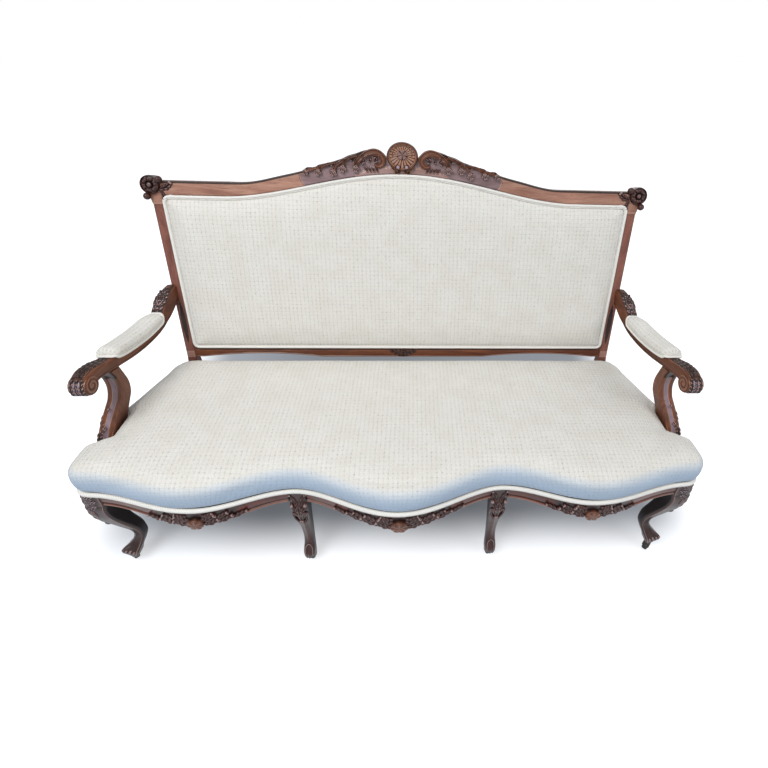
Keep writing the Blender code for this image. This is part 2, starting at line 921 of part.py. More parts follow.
support_shares = (
    (0.0, 0.0, 0.0, 0.95, 1.0), (0.314, -0.048, 0.152, 1.0, 0.87),
    (0.45, -0.190, 0.326, 1.0, 0.74), (0.544, -0.381, 0.489, 1.0, 0.63),
    (0.616, -0.643, 0.625, 1.0, 0.52), (0.758, -0.786, 0.679, 1.0, 0.42),
    (0.90, -0.762, 0.620, 1.0, 0.37), (1.0, -0.738, 0.543, 1.0, 0.40),
)


def arm_support(side):
    """The S-curved support between the side rail and the arm."""
    base = rail_top + joint_gap
    rings = []
    for share in keys_of(support_shares, 0):
        shift_x, shift_y, wide, deep = row_at(support_shares, share)
        x = support_x + shift_x * support_width
        y = support_y + shift_y * support_depth
        top = arm_at(y)[2]
        ring = []
        for a, b in rounded_ring(
            wide * support_width / 2, deep * support_depth / 2, arm_corner_radius
        ):
            z = base + share * (top - base)
            if share == 1.0:
                z = arm_at(y + b)[2] - joint_gap
            ring.append(Vector((side * (x + a), y + b, z)))
        rings.append(ring)
    return loft(side_name("arm_support", side), rings, WALNUT, root)


arm_pad_front_y = 0.205
arm_pad_rear_y = 0.436
arm_pad_shares = (
    (0.0, 0.72, 0.45), (0.02, 0.90, 0.72), (0.07, 1.0, 0.92), (0.2, 1.0, 1.0), (0.5, 1.0, 1.0),
    (0.8, 1.0, 1.0), (0.93, 1.0, 0.92), (0.98, 0.90, 0.72), (1.0, 0.72, 0.45),
)
arm_pad_side_shares = ((0.93, 0.0), (0.97, 0.22), (1.04, 0.45), (0.92, 0.76), (0.55, 0.95))


def arm_pad_stations():
    """The pad's own rows, with the arm's stations among them so that its foot lies flat."""
    length = arm_pad_rear_y - arm_pad_front_y
    keys = [arm_pad_front_y + share * length for share in keys_of(arm_pad_shares, 0)]
    own = list(keys)
    for share in arm_stations():
        y = arm_y(share)
        if own[0] < y < own[-1] and min(abs(y - key) for key in own) > joint_gap:
            keys.append(y)
        elif own[0] < y < own[-1]:
            keys = [y if abs(y - key) <= joint_gap else key for key in keys]
    return sorted(keys)


def arm_pad_size(y):
    share = (y - arm_pad_front_y) / (arm_pad_rear_y - arm_pad_front_y)
    width, height = row_at(arm_pad_shares, min(max(share, 0.0), 1.0))
    return width * arm_pad_half_width, height * arm_pad_height


def arm_pad(side):
    """A stuffed pad with a flat foot, drawn-in sides and a crowned top."""
    right = list(arm_pad_side_shares)
    section = right + [(0.0, 1.0)] + [(-a, b) for a, b in reversed(right)]
    rings = []
    for y in arm_pad_stations():
        half, tall = arm_pad_size(y)
        x, top = arm_at(y)[:2]
        rings.append([
            Vector((side * (x + a * half), y, top + joint_gap + b * tall)) for a, b in section
        ])
    return loft(side_name("arm_pad", side), rings, CREAM, root)


def arm_welt(side):
    """A cord round the foot of the pad."""
    plan = [(arm_pad_size(y)[0], y) for y in arm_pad_stations()]
    plan += [(-x, y) for x, y in reversed(plan)]
    path = []
    for across, y in inset_loop(plan, -arm_welt_radius - 4 * joint_gap):
        top = max(arm_at(y + step)[1] for step in (-arm_welt_radius, 0.0, arm_welt_radius))
        path.append((side * (arm_at(y)[0] + across), y, top + joint_gap + arm_welt_radius))
    return tube(side_name("arm_welt", side), path, arm_welt_radius, CREAM_CORD, root, cyclic=True)


# Upholstery of seat and back


def smooth_step(value, low, high):
    t = min(max((value - low) / (high - low), 0.0), 1.0)
    return t * t * (3 - 2 * t)


def seat_edge(y):
    """The side of the seat cover, proud of the rail."""
    return side_line(y) + welt_overhang


front_corner_radius = 0.030
seat_front_y_shares = (0.35, 0.70)
seat_rear_y_shares = (0.12, 0.32, 0.52, 0.70, 0.86, 1.0)


def seat_side():
    """The right side of the seat cover, from front to back, let in round the arm support."""
    start = valley_line - welt_overhang + front_corner_radius
    front = support_y - support_depth / 2 - cushion_clearance_front
    rear = support_y + support_depth / 2 + cushion_clearance_rear
    points = [(seat_edge(start), start)]
    for share in seat_front_y_shares:
        y = start + (front - start) * share
        points.append((seat_edge(y), y))
    points += [(seat_edge(front), front), (cushion_step, front)]
    points.append((cushion_step, (front + rear) / 2))
    points += [(cushion_step, rear), (seat_edge(rear), rear)]
    for share in seat_rear_y_shares:
        y = rear + (cushion_rear_y - rear) * share
        points.append((seat_edge(y), y))
    return points


def seat_outline():
    """Four runs of points: front, right, rear and left, each starting at a corner."""
    radius = front_corner_radius
    edge_x = front_half_width + welt_overhang
    middle = (edge_x - radius, valley_line - welt_overhang + radius)

    def corner(angle):
        turn = math.radians(angle)
        return middle[0] + radius * math.cos(turn), middle[1] + radius * math.sin(turn)

    half = [corner(angle) for angle in (-45, -60, -75)]
    steps = 13
    for i in range(steps):
        x = middle[0] * (1 - i / steps)
        half.append((x, front_line(x) - welt_overhang))
    front = [(-x, y) for x, y in half] + [(0.0, front_line(0.0) - welt_overhang)]
    front += list(reversed(half))
    right = [corner(angle) for angle in (-45, -30, -15)] + seat_side()
    reach = right[-1][0]
    across = len(front) - 1
    rear = [(reach * (1 - 2 * i / across), cushion_rear_y) for i in range(across + 1)]
    left = [(-x, y) for x, y in reversed(right)]
    return front, right, rear, left


def loop_of(runs):
    """One closed loop from runs whose ends meet."""
    loop = []
    for run in runs:
        loop += run[:-1]
    return loop


def held_at_rear(point, swollen):
    """Lets the sides swell, but not the part between the rear posts."""
    hold = smooth_step(point[1], cushion_rear_y * 0.6, cushion_rear_y * 0.92)
    return tuple(b + (a - b) * hold for a, b in zip(point, swollen))


def inset_loop(loop, distance):
    """A counter-clockwise loop moved inwards by a distance, mitred at its corners."""
    count = len(loop)
    normals = []
    for i in range(count):
        (ax, ay), (bx, by) = loop[i], loop[(i + 1) % count]
        length = math.hypot(bx - ax, by - ay)
        normals.append(((ay - by) / length, (bx - ax) / length))
    moved = []
    for i in range(count):
        (ax, ay), (bx, by) = normals[i - 1], normals[i]
        spread = max(1 + ax * bx + ay * by, 0.6)
        moved.append((
            loop[i][0] + (ax + bx) / spread * distance,
            loop[i][1] + (ay + by) / spread * distance,
        ))
    return moved


def patch_grid(loop, across, along):
    """A grid of points inside a loop of four runs, each blended from the four sides."""
    def front(i):
        return Vector(loop[i])

    def right(j):
        return Vector(loop[across + j])

    def rear(i):
        return Vector(loop[2 * across + along - i])

    def left(j):
        return Vector(loop[(2 * across + 2 * along - j) % len(loop)])

    grid = []
    for j in range(along + 1):
        v = j / along
        row = []
        for i in range(across + 1):
            u = i / across
            ruled = front(i) * (1 - v) + rear(i) * v + left(j) * (1 - u) + right(j) * u
            corners = (front(0) * (1 - u) + front(across) * u) * (1 - v)
            corners += (rear(0) * (1 - u) + rear(across) * u) * v
            row.append(ruled - corners)
        grid.append(row)
    return grid


def cushion_mesh(name, outline, across, along, rings, crown, lift):
    """A crowned cover: rings of (inset, level) round the sides, then a domed grid on top.

    lift turns a flat point and a level into a point in space."""
    count = len(outline)
    points = []
    for inset, level in rings:
        moved = inset_loop(outline, inset)
        if inset < 0:
            moved = [held_at_rear(a, b) for a, b in zip(outline, moved)]
        points += [lift(point, level) for point in moved]
    faces = []
    for level in range(len(rings) - 1):
        for i in range(count):
            j = (i + 1) % count
            low, high = level * count, (level + 1) * count
            faces.append((low + i, low + j, high + j, high + i))
    top = (len(rings) - 1) * count
    inset, level = rings[-1]
    grid = patch_grid(inset_loop(outline, inset), across, along)
    index = {}
    for i in range(across):
        index[(i, 0)] = top + i
        index[(across - i, along)] = top + across + along + i
    for j in range(along):
        index[(across, j)] = top + across + j
        index[(0, along - j)] = top + 2 * across + along + j
    for j in range(1, along):
        for i in range(1, across):
            u, v = 2 * i / across - 1, 2 * j / along - 1
            dome = ((1 - abs(u) ** 6) * (1 - abs(v) ** 2.6)) ** 0.75
            index[(i, j)] = len(points)
            points.append(lift(grid[j][i], level + crown * dome))
    for j in range(along):
        for i in range(across):
            faces.append((index[(i, j)], index[(i + 1, j)], index[(i + 1, j + 1)], index[(i, j + 1)]))
    faces.append(tuple(range(count)))
    return mesh_from(name, points, faces)


def seat_cushion():
    runs = seat_outline()
    across, along = len(runs[0]) - 1, len(runs[1]) - 1
    outline = loop_of(runs)
    base = rail_top + joint_gap
    tuck = 2 * welt_radius + 3 * joint_gap
    side = cushion_side_height
    rings = (
        (tuck, 0.0), (tuck, tuck), (welt_radius * 0.4, tuck + welt_radius * 0.9),
        (-cushion_bulge * 0.8, side * 0.42), (-cushion_bulge, side * 0.58),
        (cushion_bulge * 0.2, side * 0.82), (cushion_shoulder, side),
    )

    def lift(point, level):
        return Vector((point[0], point[1], base + level))

    mesh = cushion_mesh("seat_cushion", outline, across, along, rings, cushion_crown, lift)
    thing = place("seat_cushion", mesh, CREAM, root)
    cavity = [
        [Vector((x, y, z)) for x, y in spring_well()]
        for z in (base - CUT_OVERRUN, spring_top() + stuffing_over_springs)
    ]
    combine(thing, loft("spring_well", cavity, None, root, cutter=True), "DIFFERENCE")
    return thing


def spring_well():
    """The outline, seen from above, of the space that the springs stand in."""
    front_reach = cushion_step - spring_cavity_inset
    rear_reach = rear_half_width - spring_rear_inset
    front = spring_cavity_inset * 0.75
    rear = cushion_rear_y - spring_cavity_inset
    return (
        (-front_reach, front), (front_reach, front), (rear_reach, rear), (-rear_reach, rear),
    )


def spring_foot():
    return rail_top - rail_height + joint_gap


def spring_top():
    return spring_foot() + spring_height


def seat_welt():
    """The thick cord on the top edge of the rails, from one arm support round to the other."""
    runs = seat_outline()
    across, along = len(runs[0]) - 1, len(runs[1]) - 1
    loop = inset_loop(loop_of(runs), welt_radius)
    reach = 3 + len(seat_front_y_shares)
    right = loop[across // 2:across + reach + 1]
    stop = support_y - support_depth / 2 - joint_gap
    right.append((seat_edge(stop) - welt_radius, stop))
    flat = [(-x, y) for x, y in reversed(right[1:])] + right
    height = rail_top + joint_gap + welt_radius
    return tube("seat_welt", [(x, y, height) for x, y in flat], welt_radius, CREAM_CORD, root)


def opening_corner():
    """Where the opening's upper right corner is at 45 degrees."""
    diagonal = panel_corner_radius * (1 - math.sqrt(0.5)) + joint_gap
    return post_x(panel_side_height) - post_width / 2 - diagonal


def opening_outline():
    """Four runs round the opening in the back frame: foot, right, top and left."""
    radius = panel_corner_radius
    diagonal = radius * (1 - math.sqrt(0.5))
    across, along = opening_spans, 7
    low = panel_low_height

    def side_x(height):
        return post_x(height) - post_width / 2 - joint_gap

    corner_low = (side_x(low) - diagonal, low + joint_gap + diagonal)
    corner_high = (side_x(panel_side_height) - diagonal, panel_side_height - joint_gap - diagonal)
    foot = []
    top = []
    for i in range(across + 1):
        share = 2 * i / across - 1
        x = share * corner_low[0]
        inside = side_x(low) - radius
        rise = 0.0
        if abs(x) > inside:
            rise = radius - math.sqrt(max(radius**2 - (abs(x) - inside) ** 2, 0.0))
        foot.append((x, low + joint_gap + rise))
        x = -share * corner_high[0]
        inside = side_x(panel_side_height) - radius
        drop = 0.0
        if abs(x) > inside:
            drop = radius - math.sqrt(max(radius**2 - (abs(x) - inside) ** 2, 0.0))
        top.append((x, panel_top(x) - joint_gap - drop))
    foot[0], foot[-1] = (-corner_low[0], corner_low[1]), corner_low
    top[0], top[-1] = corner_high, (-corner_high[0], corner_high[1])
    right = [corner_low]
    for i in range(1, along):
        height = corner_low[1] + (corner_high[1] - corner_low[1]) * i / along
        low_end, high_end = low + radius, panel_side_height - radius
        away = max(low_end - height, height - high_end, 0.0)
        pull = radius - math.sqrt(max(radius**2 - away**2, 0.0))
        right.append((side_x(height) - pull, height))
    right.append(corner_high)
    left = [(-x, z) for x, z in reversed(right)]
    return foot, right, top, left


def back_pad():
    """The front upholstery: a border under the double cord, then a crowned field."""
    runs = opening_outline()
    across, along = len(runs[0]) - 1, len(runs[1]) - 1
    cord = back_welt_width + joint_gap
    rings = (
        (joint_gap, -pad_depth), (joint_gap, 0.0), (cord, 0.0), (cord, pad_edge),
        (cord * 1.9, pad_edge * 1.6),
    )

    def lift(point, level):
        return Vector((point[0], -level, point[1]))

    mesh = cushion_mesh("back_pad", loop_of(runs), across, along, rings, pad_crown - pad_edge, lift)
    return place("back_pad", mesh, CREAM, back_frame)


def back_welt():
    """The flat double cord round the edge of the back pad."""
    loop = loop_of(opening_outline())
    inner, outer = back_welt_width, joint_gap
    width = inner - outer
    section = (
        (outer, joint_gap), (outer + width * 0.2, back_welt_relief),
        (outer + width * 0.5, back_welt_relief * 0.6), (outer + width * 0.8, back_welt_relief),
        (inner, joint_gap),
    )
    count = len(loop)
    size = len(section)
    points = []
    for inset, level in section:
        points += [(x, -level, z) for x, z in inset_loop(loop, inset)]
    faces = []
    for k in range(size):
        for i in range(count):
            j = (i + 1) % count
            low, high = k * count, (k + 1) % size * count
            faces.append((low + i, low + j, high + j, high + i))
    return place("back_welt", mesh_from("back_welt", points, faces), CREAM_CORD, back_frame)


def outside_back():
    """The cloth-covered panel that closes the back."""
    runs = opening_outline()
    across, along = len(runs[0]) - 1, len(runs[1]) - 1
    depth = back_thickness - outside_back_crown
    rings = ((joint_gap, 0.0), (pad_edge, outside_back_crown))

    def lift(point, level):
        return Vector((point[0], depth + level, point[1]))

    mesh = cushion_mesh("outside_back", loop_of(runs), across, along, rings, joint_gap, lift)
    return place("outside_back", mesh, CREAM, back_frame)


def strap_holes(low, high, columns, rows, strap):
    """The holes between crossed straps that fill a rectangle."""
    gap_x = (high[0] - low[0] - (columns + 1) * strap) / columns
    gap_y = (high[1] - low[1] - (rows + 1) * strap) / rows
    holes = []
    for column in range(columns):
        for row in range(rows):
            x = low[0] + strap + column * (gap_x + strap)
            y = low[1] + strap + row * (gap_y + strap)
            holes.append([(x, y), (x, y + gap_y), (x + gap_x, y + gap_y), (x + gap_x, y)])
    return holes


def under_seat_outline(tack_share):
    """The edge of a cloth that is tacked under the rails, notched round the legs."""
    tack = rail_thickness * tack_share
    notch_x = mid_block_width / 2 + joint_gap * 2
    notch_y = valley_line - leg_proud + mid_block_depth + joint_gap * 2
    right = [(0.0, front_line(0.0) + tack)]
    steps = 6
    for i in range(1, steps + 1):
        x = (mid_leg_x - notch_x) * i / steps
        right.append((x, front_line(x) + tack))
    right += [(mid_leg_x - notch_x, notch_y), (mid_leg_x + notch_x, notch_y)]
    stop = front_half_width - corner_block - joint_gap * 2
    for i in range(steps + 1):
        x = mid_leg_x + notch_x + (stop - mid_leg_x - notch_x) * i / steps
        right.append((x, front_line(x) + tack))
    rows = side_rail_rows()
    right.append((stop, rows[1][0]))
    right += [(x - rail_thickness + tack / 2, y) for y, x in rows[1:-1]]
    post_x_inner = rear_half_width - rear_block - joint_gap * 2
    right += [(post_x_inner, rows[-2][0]), (post_x_inner, rear_rail_front() + tack)]
    return right + [(-x, y) for x, y in reversed(right[1:])]


def seat_webbing():
    """Jute straps, lengthwise and crosswise, tacked under the rails."""
    level = rail_top - rail_height - joint_gap - webbing_thickness / 2
    reach = rear_half_width - rear_block - webbing_width
    front = valley_line - leg_proud + mid_block_depth
    holes = strap_holes((-reach, front), (reach, rear_rail_front()), 7, 2, webbing_width)
    thing = plate("seat_webbing", under_seat_outline(0.58), webbing_thickness, JUTE, root, holes)
    thing.location.z = level
    return thing


def back_webbing():
    """Straps behind the back pad, tacked inside the frame."""
    reach = post_x(panel_low_height) - post_width / 2 - joint_gap * 2
    low = panel_low_height + panel_corner_radius + joint_gap
    high = panel_side_height - panel_corner_radius - joint_gap
    outline = [(-reach, low), (reach, low), (reach, high), (-reach, high)]
    holes = strap_holes((-reach, low), (reach, high), 7, 2, webbing_width)
    thing = plate("back_webbing", outline, webbing_thickness, JUTE, back_frame, holes)
    stand_in_back(thing, pad_depth + joint_gap + webbing_thickness / 2)
    return thing


spring_centre_share = 0.4374


def spring_unit():
    """The seat springs, clear of the braces and tied near the top by a lattice of cord."""
    well = spring_well()
    margin = spring_radius + stuffing_over_springs
    front, rear = well[0][1] + margin, well[2][1] - margin
    reach = min(well[1][0], well[2][0]) - margin
    beside_brace = mid_leg_x + brace_width / 2 + spring_radius + spring_brace_gap
    right = (mid_leg_x * spring_centre_share, beside_brace, reach)
    columns = [-x for x in reversed(right)] + list(right)
    tie = spring_radius * 0.12
    foot, top = spring_foot(), spring_top()
    waist = spring_radius * 0.62
    profile = (
        (0.0, spring_height), (spring_radius, spring_height), (waist, spring_height * 0.5),
        (spring_radius, 0.0), (0.0, 0.0),
    )
    thing = box(
        "seat_springs", (-reach, (front + rear) / 2 - tie, top - 2 * tie),
        (reach, (front + rear) / 2 + tie, top - tie / 2), SPRING_STEEL, root,
    )
    for column, x in enumerate(columns):
        cross = box(
            f"spring_tie_{column + 1}", (x - tie, front, top - 2 * tie), (x + tie, rear, top - tie / 2),
            parent=root, cutter=True,
        )
        combine(thing, cross, "UNION")
        for row, y in (("front", front), ("rear", rear)):
            coil = turned(
                f"spring_{row}_{column + 1}", profile, 6, SPRING_STEEL, root, cutter=True
            )
            coil.location = (x, y, foot)
            combine(thing, coil, "UNION")
    return thing


def dust_cover():
    """Black cambric under the webbing."""
    thing = plate(
        "dust_cover", under_seat_outline(0.62), dust_cover_thickness, CAMBRIC, root
    )
    level = rail_top - rail_height - 2 * joint_gap - webbing_thickness
    thing.location.z = level - dust_cover_thickness / 2
    return thing


# Castors


def castor(label, x, y, turn):
    """A plate on the foot, a horn that swivels under it, and a wheel that rolls in the horn."""
    plate_low = castor_height - joint_gap - plate_thickness
    horn_high = plate_low - joint_gap
    horn_low = horn_high - horn_top
    head_low = horn_low - joint_gap - pivot_head_height
    profile = (
        (0.0, castor_height - joint_gap), (plate_radius, castor_height - joint_gap),
        (plate_radius, plate_low), (pivot_radius, plate_low), (pivot_radius, horn_low - joint_gap),
        (pivot_head, horn_low - joint_gap), (pivot_head, head_low), (0.0, head_low),
    )
    turned(f"castor_plate_{label}", profile, 12, BRASS, root).location = (x, y, 0.0)
    swivel = empty(f"castor_swivel_{label}", (x, y, 0.0), root)
    swivel.rotation_euler = (0.0, 0.0, math.radians(turn))
    half = wheel_width / 2 + wheel_side_play + horn_cheek
    lean = math.atan2(castor_trail, horn_low - wheel_radius)
    outline = [(horn_reach, horn_high), (horn_reach, horn_low)]
    centre = (-castor_trail, wheel_radius)
    outline += [
        (u, z) for u, z in arc(centre, horn_boss, 20 - math.degrees(lean), -200 - math.degrees(lean), 6)
    ]
    outline += [(-horn_reach, horn_low), (-horn_reach, horn_high)]
    rings = [[Vector((across, u, z)) for u, z in outline] for across in (-half, half)]
    horn = loft(f"castor_horn_{label}", rings, BRASS, swivel)
    slot = wheel_width / 2 + wheel_side_play
    gap = box(
        f"castor_slot_{label}", (-slot, -castor_trail - wheel_radius * 2, -wheel_radius),
        (slot, horn_reach * 2, horn_low), parent=swivel, cutter=True,
    )
    combine(horn, gap, "DIFFERENCE")
    hole = rod(
        f"castor_pivot_hole_{label}", pivot_radius + axle_hole_gap, (0, 0, horn_low - CUT_OVERRUN),
        (0, 0, horn_high + CUT_OVERRUN), 12, parent=swivel, cutter=True,
    )
    combine(horn, hole, "DIFFERENCE")
    axle_hole = rod(
        f"castor_axle_hole_{label}", axle_radius + axle_hole_gap,
        (-half - CUT_OVERRUN, -castor_trail, wheel_radius),
        (half + CUT_OVERRUN, -castor_trail, wheel_radius), 12, parent=swivel, cutter=True,
    )
    combine(horn, axle_hole, "DIFFERENCE")
    rod(
        f"castor_axle_{label}", axle_radius, (-half, -castor_trail, wheel_radius),
        (half, -castor_trail, wheel_radius), 12, BRASS, swivel,
    )
    bore = axle_radius + axle_hole_gap
    edge = wheel_width / 2
    profile = (
        (bore, edge), (wheel_radius - wheel_round, edge), (wheel_radius, edge - wheel_round),
        (wheel_radius, wheel_round - edge), (wheel_radius - wheel_round, -edge), (bore, -edge),
    )
    wheel = turned(f"castor_wheel_{label}", profile, 20, WHEEL_IRON, swivel, closed=True)
    wheel.location = (0.0, -castor_trail, wheel_radius)
    wheel.rotation_euler = (0.0, math.radians(90), 0.0)


def castors():
    block_x, block_y = corner_leg_centre()
    sweep = corner_leg_shares[0][1]
    corner = (block_x - sweep * corner_sweep_x, block_y + sweep * corner_sweep_y)
    block_x, block_y = mid_leg_centre()
    middle = (block_x, block_y + mid_leg_shares[0][1] * mid_sweep)
    castor("corner_left", -corner[0], corner[1], -135)
    castor("mid_left", -middle[0], middle[1], 170)
    castor("mid_right", middle[0], middle[1], -170)
    castor("corner_right", corner[0], corner[1], -47)


def centre_on_origin():
    """Moves the whole model so that the origin is under the middle of its box."""
    graph = bpy.context.evaluated_depsgraph_get()
    reach = []
    for thing in model.objects:
        if thing.type == "EMPTY":
            continue
        shape = thing.evaluated_get(graph)
        mesh = shape.to_mesh()
        reach += [(shape.matrix_world @ vertex.co).y for vertex in mesh.vertices]
        shape.to_mesh_clear()
    root.location.y = -(min(reach) + max(reach)) / 2


clear_scene()
model = new_collection("settee")
cutters = new_collection("cutters")
root = empty("settee_root", (0.0, 0.0, 0.0))
back_frame = empty("back_plane", (0.0, back_foot_y, back_foot_z), root)
back_frame.rotation_euler = (-back_rake, 0.0, 0.0)

crest_rail()
crest_shell()
lower_back_rail()
rear_rail()
mid_edge = mid_block_width / 2 + joint_gap
corner_edge = front_half_width - corner_block - joint_gap
bows = {
    "centre": rail_stations(mid_edge - mid_leg_x, 0.0, mid_leg_x - mid_edge),
    "left": rail_stations(-corner_edge, -lobe_x, -mid_leg_x - mid_edge),
    "right": rail_stations(mid_leg_x + mid_edge, lobe_x, corner_edge),
}
for bow, places in bows.items():
    front_rail(f"front_rail_{bow}", places)
    rail_leaf(f"rail_leaf_{bow}", places)
for hand in (-1, 1):
    crest_scroll(hand)
    finial(hand)
    rear_post(hand)
    side_rail(hand)
    brace(hand)
    glue_block(hand)
    corner_leg(hand)
    mid_leg(hand)
    arm(hand)
    arm_support(hand)
    arm_pad(hand)
    arm_welt(hand)
seat_cushion()
seat_welt()
back_pad()
back_welt()
outside_back()
back_webbing()
seat_webbing()
spring_unit()
dust_cover()
castors()
bpy.context.view_layer.update()
centre_on_origin()
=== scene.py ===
"""Carved open-arm settee: show-wood, carving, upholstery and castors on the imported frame.

Metres, +Z up, +Y to the back, +X to the sitter's left. The shapes are worked out in the seat's
own frame, whose Y is zero at the valleys of the front rail, and are then shifted to the frame's.
"""
import math

import bpy
import numpy as np
from mathutils import Matrix, Vector


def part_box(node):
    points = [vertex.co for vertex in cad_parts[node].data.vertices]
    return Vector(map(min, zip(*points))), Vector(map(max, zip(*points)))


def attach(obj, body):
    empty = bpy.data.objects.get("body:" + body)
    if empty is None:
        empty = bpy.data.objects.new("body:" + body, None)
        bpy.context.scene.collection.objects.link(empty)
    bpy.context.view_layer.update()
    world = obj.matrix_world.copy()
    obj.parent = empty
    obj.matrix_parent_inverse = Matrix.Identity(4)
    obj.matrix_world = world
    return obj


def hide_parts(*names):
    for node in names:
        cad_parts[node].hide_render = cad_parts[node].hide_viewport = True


bl_info = {
    "name": "Carved Open-Arm Settee",
    "version": (1, 0, 0),
    "blender": (4, 5, 0),
    "location": "View3D > Sidebar > Settee",
    "description": "Dresses the frame of a carved settee with show-wood, carving and upholstery",
    "category": "Add Mesh",
}

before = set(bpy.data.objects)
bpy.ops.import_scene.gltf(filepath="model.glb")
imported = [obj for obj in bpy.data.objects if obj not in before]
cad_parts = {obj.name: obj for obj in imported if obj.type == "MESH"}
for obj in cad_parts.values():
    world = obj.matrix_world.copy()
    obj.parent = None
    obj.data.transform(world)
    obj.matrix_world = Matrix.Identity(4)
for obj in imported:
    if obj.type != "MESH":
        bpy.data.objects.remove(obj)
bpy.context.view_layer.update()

# Sizes of the seat frame that the dressed pieces share
JOINT_GAP = 0.0003
RAIL_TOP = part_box("side_rail_right")[1].z
RAIL_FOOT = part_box("side_rail_right")[0].z
CORNER_BLOCK = 0.058
LEG_PROUD = 0.004
SHIFT_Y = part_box("side_rail_right")[0].y - (CORNER_BLOCK - LEG_PROUD + JOINT_GAP)
FRONT_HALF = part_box("side_rail_right")[1].x + LEG_PROUD
REAR_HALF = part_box("rear_post_right")[1].x
CENTRE_BOW = 0.078
SIDE_BOW = 0.055
VALLEY_Y = -0.003
MID_LEG_X = (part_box("mid_leg_right")[0].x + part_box("mid_leg_right")[1].x) / 2
LOBE_X = 0.530
LOBE_REACH = 0.290
LOBE_DROP = 0.013
ARCH_RISE = 0.006
WELT_RADIUS = 0.007
WELT_OVERHANG = 0.007

# Sizes of the raked back
BACK_RAKE = math.radians(11.84)
BACK_FOOT_Y = 0.473
BACK_FOOT_Z = 0.445
BACK_THICKNESS = 0.030
POST_WIDTH = 0.028
POST_FOOT_X = 0.710
POST_FLARE = 0.0135
CREST_JOINT = 0.500
PANEL_LOW = 0.033
PANEL_SIDE = 0.5285
PANEL_CROWN = 0.0755
PANEL_CORNER = 0.020
HUMP_HALF = 0.530
CREST_END = 0.569
CREST_RISE = 0.102
FINIAL_X = 0.7345
FINIAL_HEIGHT = 0.557
FINIAL_RADIUS = 0.027
SHELL_HEIGHT = 0.6535
SHELL_HALF_WIDTH = 0.0464
SHELL_HALF_HEIGHT = 0.0405

SIDES = (-1, 1)


# Numbers and lines


def linear(hex_colour):
    """An sRGB hex colour as the linear RGBA that shaders read."""
    channels = [int(hex_colour[i:i + 2], 16) / 255 for i in (1, 3, 5)]
    bent = [c / 12.92 if c <= 0.04045 else ((c + 0.055) / 1.055) ** 2.4 for c in channels]
    return (*bent, 1.0)


def smooth(value, low, high):
    """0 below low, 1 above high, and a cubic ease between them."""
    t = np.clip((np.asarray(value, float) - low) / (high - low), 0.0, 1.0)
    return t * t * (3 - 2 * t)


def bump_at(value, centre, half_width):
    """A bell of height 1: the square of a cosine, zero past half_width."""
    t = np.clip(np.abs(np.asarray(value, float) - centre) / half_width, 0.0, 1.0)
    return np.cos(t * math.pi / 2) ** 2


def table_at(rows, keys):
    """A table's columns at the keys: cubic pieces whose slope at a row is its neighbours' slope."""
    rows = np.asarray(rows, float)
    keys = np.asarray(keys, float)
    place = np.clip(np.searchsorted(rows[:, 0], keys, side="left") - 1, 0, len(rows) - 2)
    low, high = rows[place], rows[place + 1]
    before = rows[np.maximum(place - 1, 0)]
    after = rows[np.minimum(place + 2, len(rows) - 1)]
    span = high[..., :1] - low[..., :1]
    t = (keys[..., None] - low[..., :1]) / span
    leave = (high - before) / (high[..., :1] - before[..., :1]) * span
    arrive = (after - low) / (after[..., :1] - low[..., :1]) * span
    value = (2 * t**3 - 3 * t**2 + 1) * low + (t**3 - 2 * t**2 + t) * leave
    value += (3 * t**2 - 2 * t**3) * high + (t**3 - t**2) * arrive
    return np.moveaxis(value[..., 1:], -1, 0)


def evenly(points, count):
    """Points spread evenly by length along the straight runs between the given ones."""
    points = np.asarray(points, float)
    steps = np.linalg.norm(np.diff(points, axis=0), axis=1)
    total = np.concatenate(([0.0], np.cumsum(steps)))
    places = np.linspace(0.0, total[-1], count)
    return np.stack([np.interp(places, total, column) for column in points.T], axis=1)


def curve_through(points, count):
    """A smooth line through the points, as cubic pieces, with its new points evenly spread."""
    points = np.asarray(points, float)
    keys = np.arange(len(points), dtype=float)
    rows = np.column_stack((keys, points))
    fine = np.stack(table_at(rows, np.linspace(0.0, keys[-1], 12 * len(points))), axis=1)
    return evenly(fine, count)


def unit(vectors):
    """The vectors at length 1."""
    return vectors / np.maximum(np.linalg.norm(vectors, axis=-1, keepdims=True), 1e-12)


def path_sides(path):
    """The left-hand normals of a flat path, from the neighbours of each point."""
    along = unit(np.gradient(path, axis=0))
    return np.stack((-along[:, 1], along[:, 0]), axis=1)


def lobe_wave(x):
    """The side bow's swell: half a cosine on each side of its middle, steeper towards the leg."""
    x = np.abs(x)
    reach = np.where(x < LOBE_X, LOBE_X - MID_LEG_X, LOBE_REACH)
    return 0.5 + 0.5 * np.cos(math.pi * np.minimum(np.abs(x - LOBE_X) / reach, 1.0))


def centre_wave(x):
    """The middle bow's swell: half a cosine from the centre to the mid leg."""
    return 0.5 + 0.5 * np.cos(math.pi * np.minimum(np.abs(x) / MID_LEG_X, 1.0))


def front_line(x):
    """The front face of the seat rails, seen from above."""
    x = np.asarray(x, float)
    inner = VALLEY_Y - CENTRE_BOW * centre_wave(x) ** 0.85
    return np.where(np.abs(x) < MID_LEG_X, inner, VALLEY_Y - SIDE_BOW * lobe_wave(x))


def front_normal(x):
    """The outward direction of the front rail's face, seen from above."""
    step = 0.001
    slope = (front_line(x + step) - front_line(x - step)) / (2 * step)
    return unit(np.stack((slope, -np.ones_like(slope)), axis=-1))


def rail_low(x):
    """The lower edge of the front rail: a drop at each bow and an arch beside it."""
    wave = np.where(np.abs(x) < MID_LEG_X, centre_wave(x), lobe_wave(x))
    return RAIL_FOOT + ARCH_RISE - (ARCH_RISE + LOBE_DROP) * wave**1.5


